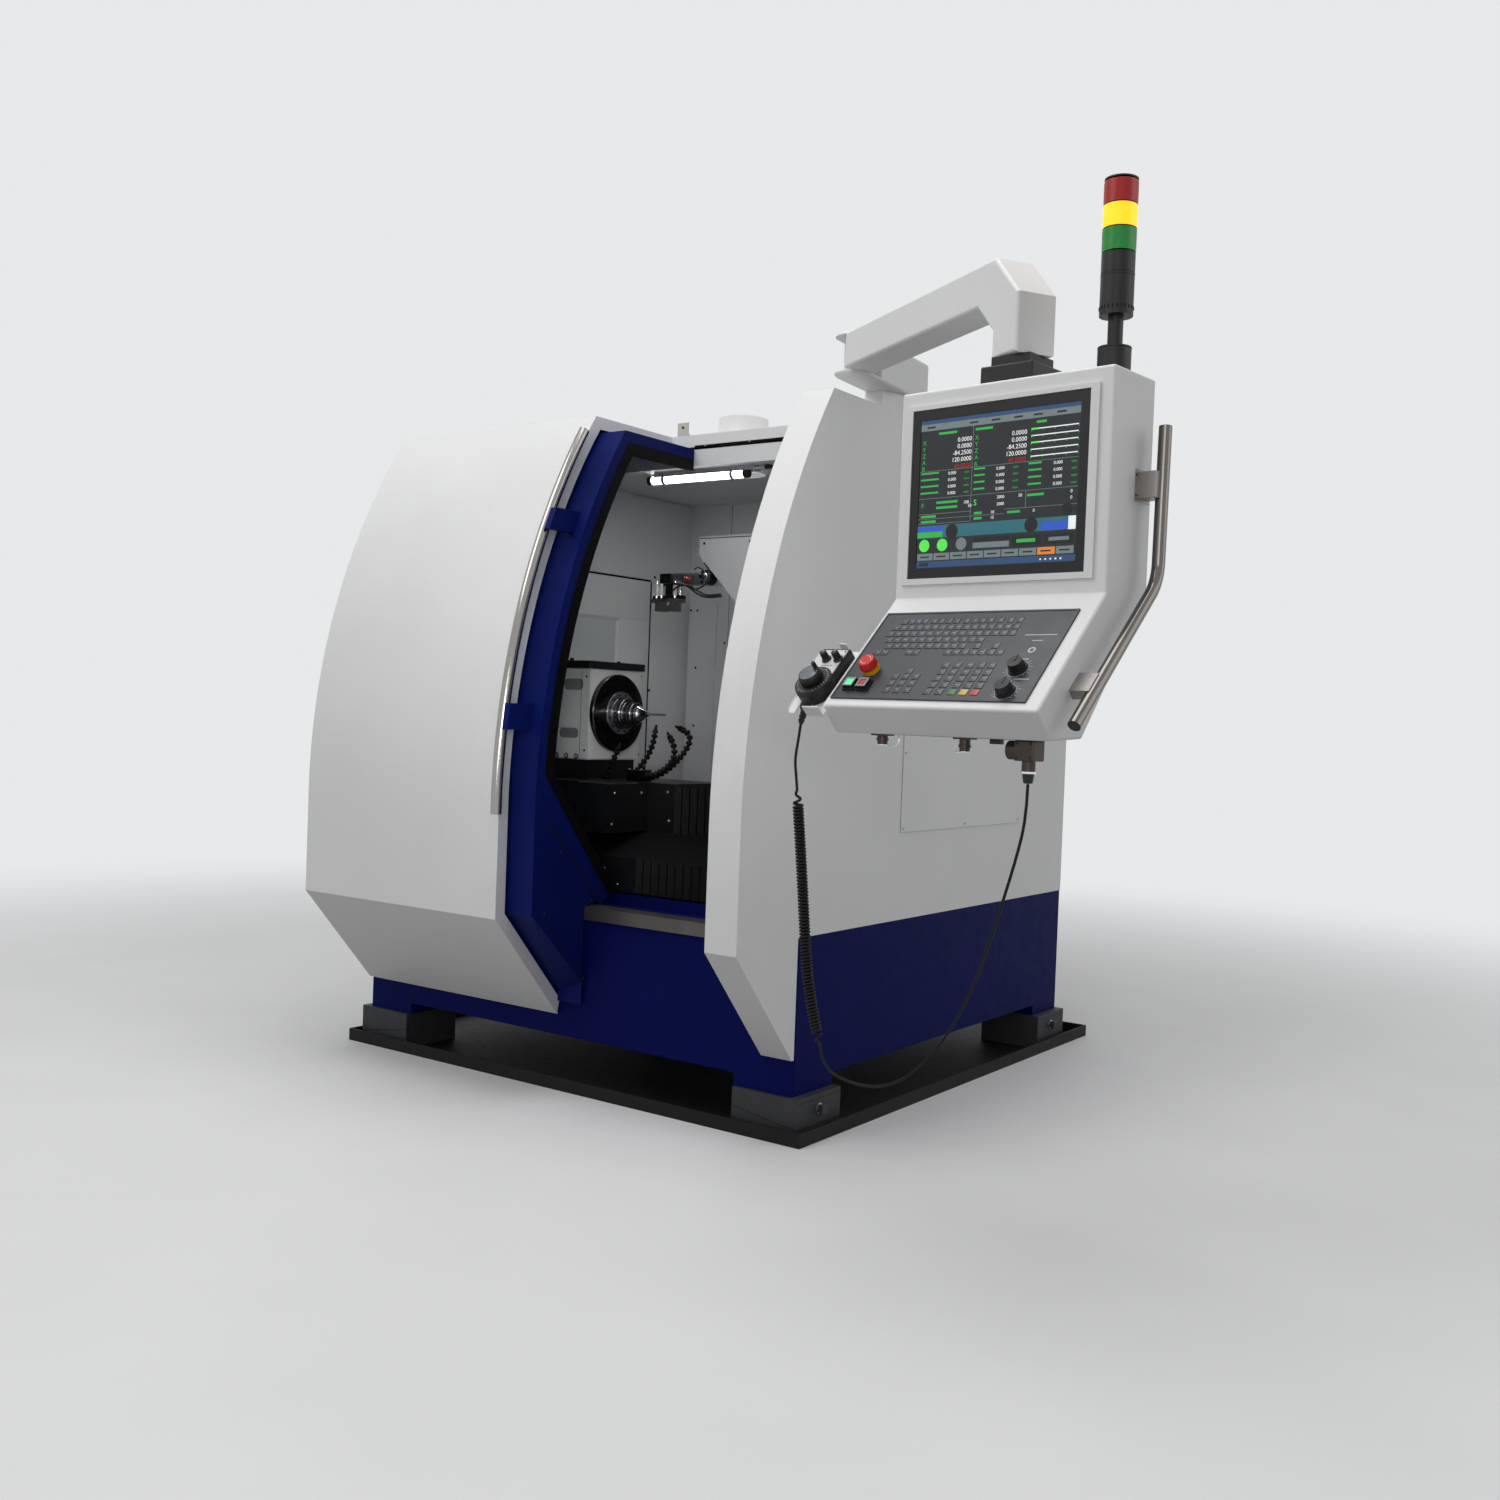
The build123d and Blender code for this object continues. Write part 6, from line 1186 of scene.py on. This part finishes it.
def add_grip():
    piece = Piece("panel_grip", "panel", "polished_steel",
                  [GRIP_STEEL_DARK_REFLECTION, BRACKET_STEEL, PLASTIC, BLACK_SCREW], PANEL)
    run = [Vector((GRIP_R, y, z)) for y, z in GRIP_RUN]
    line = [run[0]] + line_of(run[1:4]) + [run[-1]]
    piece.tube(line, GRIP_TUBE, 40)
    for end, inner in ((run[0], run[1]), (run[-1], run[-2])):
        way = (end - inner).normalized()
        piece.turned(end - way, way, [(0, 12.4), (1.6, 12.4), (2.2, 11.6), (2.4, 9)], 40, 2)
    piece.block((BOX_SIDE, GRIP_R), BRACKET_Y, BRACKET_Z, 1.0, 1)
    slope_run, slope_rise = BACK_SLOPE
    slope = Vector((0, slope_run, slope_rise)).normalized()
    out = Vector((0, -slope_rise, slope_run)).normalized()
    centre = Vector((BOX_SIDE, *LOW_BRACKET)) + out * 3
    half, thick = LOW_BRACKET_HALF
    corners = [centre + slope * along_slope + out * across
               for along_slope, across in ((-half, -thick), (half, -thick), (half, thick), (-half, thick))]
    piece.prism(corners, (1, 0, 0), GRIP_R - BOX_SIDE, 1)
    (front, back), (low, high) = BRACKET_Y, BRACKET_Z
    face = BOX_SIDE + FLANGE_SHEET
    piece.block((BOX_SIDE - 0.2, face), (front - FLANGE, back + FLANGE), (low - FLANGE, high + FLANGE),
                0.3, 1)
    piece.screws(product((face,), (front - FLANGE / 2, back + FLANGE / 2), (low + 6, high - 6)), (1, 0, 0),
                 2.2, 1.6, 3)
    piece.done("panel_handle")


def add_panel_fittings():
    piece = Piece("panel_fittings", "panel", "steel", [DARK_METAL, CHROME, PLASTIC, SHADOW_SEAM, BLACK_SCREW], PANEL)
    x, y = CONNECTOR
    piece.ring((x, y, 961.5), UP, 9.5, 14.2, 4, 32, 1)
    piece.turned((x, y, 943), UP, [(0, 6.5), (1.5, 9), (15, 11.2), (18, 11.2)], 28, 2)
    piece.screws(product((x - 15, x + 15), (y - 21,), (991, 1018)), FRONT, 2.6, 2, 4)
    for left, low in SOCKETS:
        piece.block((left - SOCKET_HALF, left + SOCKET_HALF), (y - SOCKET_HALF, y + SOCKET_HALF),
                    (BOX_LOW_SIDE - 3.5, BOX_LOW_SIDE + 0.2), 0.8, 0)
        piece.turned((left, y, low), UP, [(0, 8.5), (1, 10.5), (7, 10.5), (7.5, 12.5), (13, 12.5), (13.5, 11),
                                          (BOX_LOW_SIDE - low, 11)], 28, 0)
        piece.ring((left, y, low - 1.5), UP, 4.5, 8.2, 2, 24, 1)
    for loop in CABLE_LOOPS:
        piece.tube(evenly(line_of([(px, y + 4, z) for px, z in loop]), TUBE_STEPS), 1.3, 10, 1)
    piece.block((104, 126), (y - 8, y + 8), (1014, BOX_LOW_SIDE), 1.0, 2)
    piece.block((-88, 226), (y - 34, y - 32.8), (BOX_LOW_SIDE - 0.3, BOX_LOW_SIDE + 0.1), material=3)
    piece.done()
    marker = Piece("bezel_marker", "panel", "screen_glass", [INK["blue"]], PANEL)
    marker.block((186, 198), (-2.9, -1.5), (1694, 1706), 0.3)
    marker.done()


def add_tower_parts():
    piece = Piece("tower_trim", "panel", "black_plastic",
                  [PLASTIC, SHADOW_SEAM, RED_LENS, AMBER_LENS, GREEN_LENS], PANEL)
    rows = [(low + 4 + RIB_STEP * index, 1, 0.5, 1.6, material)
            for low, material in LENSES for index in range(LENS_RIBS)]
    rows += [(z, 4, 0.2, 1.8, 0) for z in (2034.6, 2081.6)]
    rows += [(z, 1, 0.3, 0.8, 1) for z in (1942, 1947)] + [(z, 2, 0.4, 1.2, 1) for z in (1756, 1800)]
    for z, inside, outside, height, material in rows:
        piece.ring((*TOWER, z), UP, TOWER_RADIUS - inside, TOWER_RADIUS + outside, height, 48, material)
    for index in range(TOWER_GRIPS):
        angle = 2 * math.pi * index / TOWER_GRIPS
        x, y = TOWER[0] + TOWER_RADIUS * math.cos(angle), TOWER[1] + TOWER_RADIUS * math.sin(angle)
        piece.rod((x, y, 1876), (x, y, 1883), 1.3, 6, 1)
    piece.done()


# Outside of the casing: header brush, screws, seams, mounts' joints and the plain hidden sides

CASING_SIDE, CASING_BACK, ROOF = 788, 792, 1874
STRIP_X, STRIP_Z, STRIP_FACE = (90, 694), (1835, 1842), -389.4
REAR_COVERS = ((-740, -30), (30, 740))
COVER_HEIGHTS = ((560, 1240), (1290, 1820))
LOUVRE_TOP, LOUVRE_STEP, LOUVRES, LOUVRE_HALF = 1640, 16, 10, 120
ACCESS_Y, ACCESS_Z = (-306, 444), (746, 1188)
MOUNT_OUTER, MOUNT_INNER, MOUNT_EDGE, MOUNT_SIZE = 812, 612, 804, 200
JUNCTION_X, JUNCTION_Z = (300, 420), (650, 800)


def add_header_parts():
    piece = Piece("header_brush_strip", "machine", "black_rubber", [BRUSH, ZINC])
    piece.block(STRIP_X, (STRIP_FACE, STRIP_FACE + 2.4), STRIP_Z, 0.4)
    piece.screws([(x, STRIP_FACE + 0.2, 1838.6) for x in (130, 290, 450, 610, 680)], FRONT, 2.2, 1.4, 1)
    piece.done()


def add_casing_fasteners():
    """Screws and the joint of the right side's access cover, and the interlock bracket's screws."""
    piece = Piece("casing_fasteners", "machine", "steel", [ZINC, SHADOW_SEAM, BLACK_SCREW])
    piece.screws(product((CASING_SIDE + 3,), (-296, 68, 430), (759, 1175)), (1, 0, 0), 4.5, 3)
    piece.screws(product((CASING_SIDE + 3,), (-296, 430), (967,)), (1, 0, 0), 4.5, 3)
    joint = (CASING_SIDE - 0.4, CASING_SIDE + 0.4)
    for y in (ACCESS_Y[0] - 0.6, ACCESS_Y[1]):
        piece.block(joint, (y, y + 0.8), ACCESS_Z, material=1)
    for z in (ACCESS_Z[0] + 0.2, ACCESS_Z[1] - 1):
        piece.block(joint, ACCESS_Y, (z, z + 0.8), material=1)
    piece.screws([(40, -364, ROOF + 4)], UP, 5, 4, 2)
    piece.screws([(40, -384, 1900)], FRONT, 4, 3, 2)
    piece.done()


def add_mount_parts():
    piece = Piece("wedge_mount_fittings", "machine", "cast_iron", [GREY_IRON, SHADOW_SEAM, ZINC])
    for side, front in product((-1, 1), (-1, 1)):
        seam = [(side * MOUNT_INNER, 61.4), (side * MOUNT_OUTER, 31.4), (side * MOUNT_OUTER, 32.8),
                (side * MOUNT_INNER, 62.8)]
        piece.prism([(x, front * MOUNT_EDGE, z) for x, z in seam], (0, front, 0), 0.4, 1)
        run = (front * MOUNT_EDGE, front * (MOUNT_EDGE - MOUNT_SIZE))
        for z in ((31.4, 32.8), (96, 97.2)):
            piece.block((side * (MOUNT_OUTER - 0.2), side * (MOUNT_OUTER + 0.4)), run, z, material=1)
        middle = front * (MOUNT_EDGE - MOUNT_SIZE / 2)
        for off, profile, sides, material in ((8, [(0, 17), (9, 17), (10.5, 15)], 4, 0),
                                              (-1, [(0, 14), (3, 14), (3.5, 13)], 28, 2)):
            start = (side * (MOUNT_OUTER + off), middle, 70.5)
            piece.turned(start, (side, 0, 0), profile, sides, material)
    piece.done()


def add_hidden_sides():
    """Plain rear covers with louvres, a left access cover, roof seams and a junction box."""
    piece = Piece("rear_and_side_covers", "machine", "white_paint", [WHITE, SHADOW_SEAM, ZINC, PLASTIC])
    face = CASING_BACK + 2.5
    for left, right in REAR_COVERS:
        for z in COVER_HEIGHTS:
            piece.block((left, right), (CASING_BACK - 1, face), z, 1.0)
        piece.screws(product((left + 15, right - 15), (face,), (575, 900, 1225, 1305, 1555, 1805)), (0, 1, 0),
                     4.5, 3, 2)
        louvre = ((left + right) / 2 - LOUVRE_HALF, (left + right) / 2 + LOUVRE_HALF)
        for z in range(LOUVRE_TOP, LOUVRE_TOP - LOUVRES * LOUVRE_STEP, -LOUVRE_STEP):
            slat = [(louvre[0], face - 0.1, z), (louvre[1], face - 0.1, z), (louvre[1], face + 4.5, z - 8),
                    (louvre[0], face + 4.5, z - 8)]
            piece.prism(slat, -UP, 1.2)
            # Dark strip of painted shade behind each slat.
            piece.block(louvre, (face - 0.3, face + 0.2), (z - 9, z), material=1)
    piece.block((-CASING_SIDE - 3, 1 - CASING_SIDE), (-180, 560), (747, 1187), 1.0)
    piece.screws(product((-CASING_SIDE - 3,), (-168, 190, 548), (760, 1174)), (-1, 0, 0), 4.5, 3, 2)
    for x in (-262, 262):
        piece.block((x - 0.6, x + 0.6), (-360, CASING_BACK - 4), (ROOF - 0.4, ROOF + 0.3), material=1)
    piece.screws(product((-760, -275, -249, 249, 275, 640), (-120, 330, 770), (ROOF,)), UP, 4.5, 3, 2)
    piece.block(JUNCTION_X, (CASING_BACK, CASING_BACK + 46), JUNCTION_Z, 3)
    piece.block((JUNCTION_X[0] + 4, JUNCTION_X[1] - 4), (CASING_BACK + 45, CASING_BACK + 47.5),
                (JUNCTION_Z[0] + 4, JUNCTION_Z[1] - 4), 1)
    for x in (330, 360, 390):
        piece.turned((x, CASING_BACK + 23, JUNCTION_Z[0]), -UP,
                     [(0, 13), (6, 13), (6.5, 10), (16, 9), (18, 6)], 24, 3)
    piece.done()


# Bellows on both sides of the carriage

BELLOWS_PATH = ((-660, 542), (-660, 640), (-496, 703), (-496, 845), (-250, 845), (-250, 542))
PLEAT, FOLD_DEPTH, BELLOWS_SHEET = 28, 12, 2.5
BELLOWS_LEFT, BELLOWS_RIGHT = (-429.7, -340.3), (148.3, 691.7)


def moved_path(points, by):
    """Open path of (y, z) points moved to the right of its run, with mitred corners."""
    ways = [(Vector(last) - Vector(first)).normalized() for first, last in zip(points, points[1:])]
    sides = [Vector((way.y, -way.x)) for way in ways]
    found = []
    for point, before, after in zip(points, sides[:1] + sides, sides + sides[-1:]):
        shift = (before + after) * (by / (1 + before.dot(after)))
        found.append((point[0] + shift.x, point[1] + shift.y))
    return found


def add_bellows(name, span):
    """Pleated sheet over a span along x, put on no body, with its transform baked in."""
    piece = Piece(name, None, "bellows_cloth", [CLOTH])
    folds = 2 * round((span[1] - span[0]) / PLEAT)
    outlines = []
    for index in range(folds + 1):
        depth = FOLD_DEPTH * (index % 2)
        x = span[0] + (span[1] - span[0]) * index / folds
        back = moved_path(BELLOWS_PATH, depth + BELLOWS_SHEET)[::-1]
        outlines.append([(x, y, z) for y, z in moved_path(BELLOWS_PATH, depth) + back])
    piece.loft(outlines)
    made = piece.done("way_bellows")
    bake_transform(made)


# Door's small parts: the strip along its opening, the corner plate, dark strips of painted shade along its
# creases, and screws on its end

DOOR_END = 90


def on_door(places):
    return [(DOOR_END - 0.4, y, z) for y, z in places]


def add_door_parts():
    piece = Piece("door_end_fittings", "door", "blue_paint", [DOOR_BLUE, SHADOW_SEAM, BLACK_SCREW])
    piece.prism(on_door([(-994, 864), (-707, 539), (-734, 510), (-955, 753)]), (1, 0, 0), 2.4)
    # Thin dark strips of painted shade along the end's creases.
    piece.prism(on_door([(-955, 753), (-734, 510), (-736.5, 505), (-960, 752)]), (1, 0, 0), 0.7, 1)
    piece.prism(on_door([(-969, 503), (-793, 294), (-795.5, 292.5), (-971.5, 501.5)]), (1, 0, 0), 0.7, 1)
    piece.block((3, DOOR_END), (-804, -801.5), (240, 304), 0.5)
    piece.screws([(DOOR_END, y, z) for y, z in ((-962, 505), (-797, 312), (-905, 668), (-775, 527))],
                 (1, 0, 0), 3, 2, 2)
    piece.block((DOOR_END - 26, DOOR_END - 1), (-741, -722), (512, 536), 1, 0)
    piece.done()


add_door_parts()
add_bellows("way_bellows_left", BELLOWS_LEFT)
add_bellows("way_bellows_right", BELLOWS_RIGHT)
add_pendant()
add_pendant_dial()
add_pendant_holder_parts()
add_grip()
add_panel_fittings()
add_tower_parts()
add_header_parts()
add_casing_fasteners()
add_mount_parts()
add_hidden_sides()


# Stage and light

BACKDROP = (0.80, 0.81, 0.82, 1)
FLOOR_FADE = (1.7, 6.0)
FLOOR_BOUNCE = (0.24, 0.24, 0.24, 1)


def shown(tree):
    """1 for the rays that see the stage directly, in a reflection or through glass."""
    rays = add_node(tree, "LightPath", {})
    found = rays.outputs["Is Camera Ray"]
    for name in ("Is Glossy Ray", "Is Transmission Ray"):
        either = add_node(tree, "Math", {0: found, 1: rays.outputs[name]})
        either.operation = "MAXIMUM"
        found = either.outputs[0]
    return found


def add_stage():
    material = bpy.data.materials.new("pale_floor")
    tree = start_tree(material)
    tone = ramp(tree, noise(tree, 2), 0.3, 0.7, (0.74, 0.74, 0.74, 1), (0.77, 0.77, 0.77, 1))
    seen = add_node(tree, "Mix", {})
    seen.data_type = "RGBA"
    feed(tree, seen, {"Factor": shown(tree), "A": FLOOR_BOUNCE, "B": tone})
    near = add_node(tree, "BsdfPrincipled", {"Base Color": seen.outputs["Result"], "Roughness": 0.7})
    where = add_node(tree, "TexCoord", {})
    length = add_node(tree, "VectorMath", {0: where.outputs["Object"]})
    length.operation = "LENGTH"
    start, end = FLOOR_FADE
    away = add_node(tree, "MapRange", {"Value": length.outputs["Value"], "From Min": start, "From Max": end})
    away.interpolation_type = "SMOOTHSTEP"
    share = add_node(tree, "Math", {0: away.outputs["Result"], 1: shown(tree)})
    share.operation = "MULTIPLY"
    far = add_node(tree, "Emission", {"Color": BACKDROP, "Strength": 1.0})
    mix = add_node(tree, "MixShader", {"Fac": share.outputs[0], 1: near.outputs["BSDF"],
                                       2: far.outputs["Emission"]})
    add_node(tree, "OutputMaterial", {"Surface": mix.outputs["Shader"]})
    mesh = bpy.data.meshes.new("floor")
    reach = 30
    corners = [(-reach, -reach, 0), (reach, -reach, 0), (reach, reach, 0), (-reach, reach, 0)]
    mesh.from_pydata(corners, [], [(0, 1, 2, 3)])
    floor = bpy.data.objects.new("floor", mesh)
    bpy.context.scene.collection.objects.link(floor)
    dress(floor, material)


def add_world():
    world = bpy.data.worlds.new("world")
    bpy.context.scene.world = world
    tree = start_tree(world)
    room = add_node(tree, "Background", {"Color": (0.98, 0.99, 1.0, 1), "Strength": 0.32})
    seen = add_node(tree, "Background", {"Color": BACKDROP, "Strength": 1.0})
    mix = add_node(tree, "MixShader", {"Fac": shown(tree), 1: room.outputs["Background"],
                                       2: seen.outputs["Background"]})
    add_node(tree, "OutputWorld", {"Surface": mix.outputs["Shader"]})


LAMPS = (
    ("front_softbox", (-1.6, -4.7, 5.4), (0, -0.6, 0.9), (3.5, 3.0), 104),
    ("low_front_fill", (3.0, -6.0, 2.0), (1.4, -1.0, 1.5), (2.6, 2.0), 35),
    ("top_softbox", (0.3, -0.9, 5.6), (0.3, -0.2, 1.0), (3.2, 3.5), 108),
    ("chamber_tube_light", (0.0645, -0.335, 1.744), (0.0645, -0.335, 1.0), (0.36, 0.024), 0.7),
    ("opening_fill", (3.3, -4.3, 1.7), (-0.2, -0.55, 1.0), (0.7, 0.7), 0.4, 14),
    ("side_fill", (5.2, 0.6, 3.2), (0.8, 0, 0.9), (3.0, 3.0), 28),
)


def add_lamp(name, place, target, size, power, spread=180):
    data = bpy.data.lights.new(name, "AREA")
    data.shape = "RECTANGLE"
    data.size, data.size_y = size
    data.energy = power
    data.spread = math.radians(spread)
    lamp = bpy.data.objects.new(name, data)
    lamp.location = place
    lamp.rotation_mode = "QUATERNION"
    lamp.rotation_quaternion = (Vector(place) - Vector(target)).to_track_quat("Z", "Y")
    bpy.context.scene.collection.objects.link(lamp)


add_stage()
add_world()
for lamp in LAMPS:
    add_lamp(*lamp)
bpy.context.scene.view_settings.view_transform = "Standard"
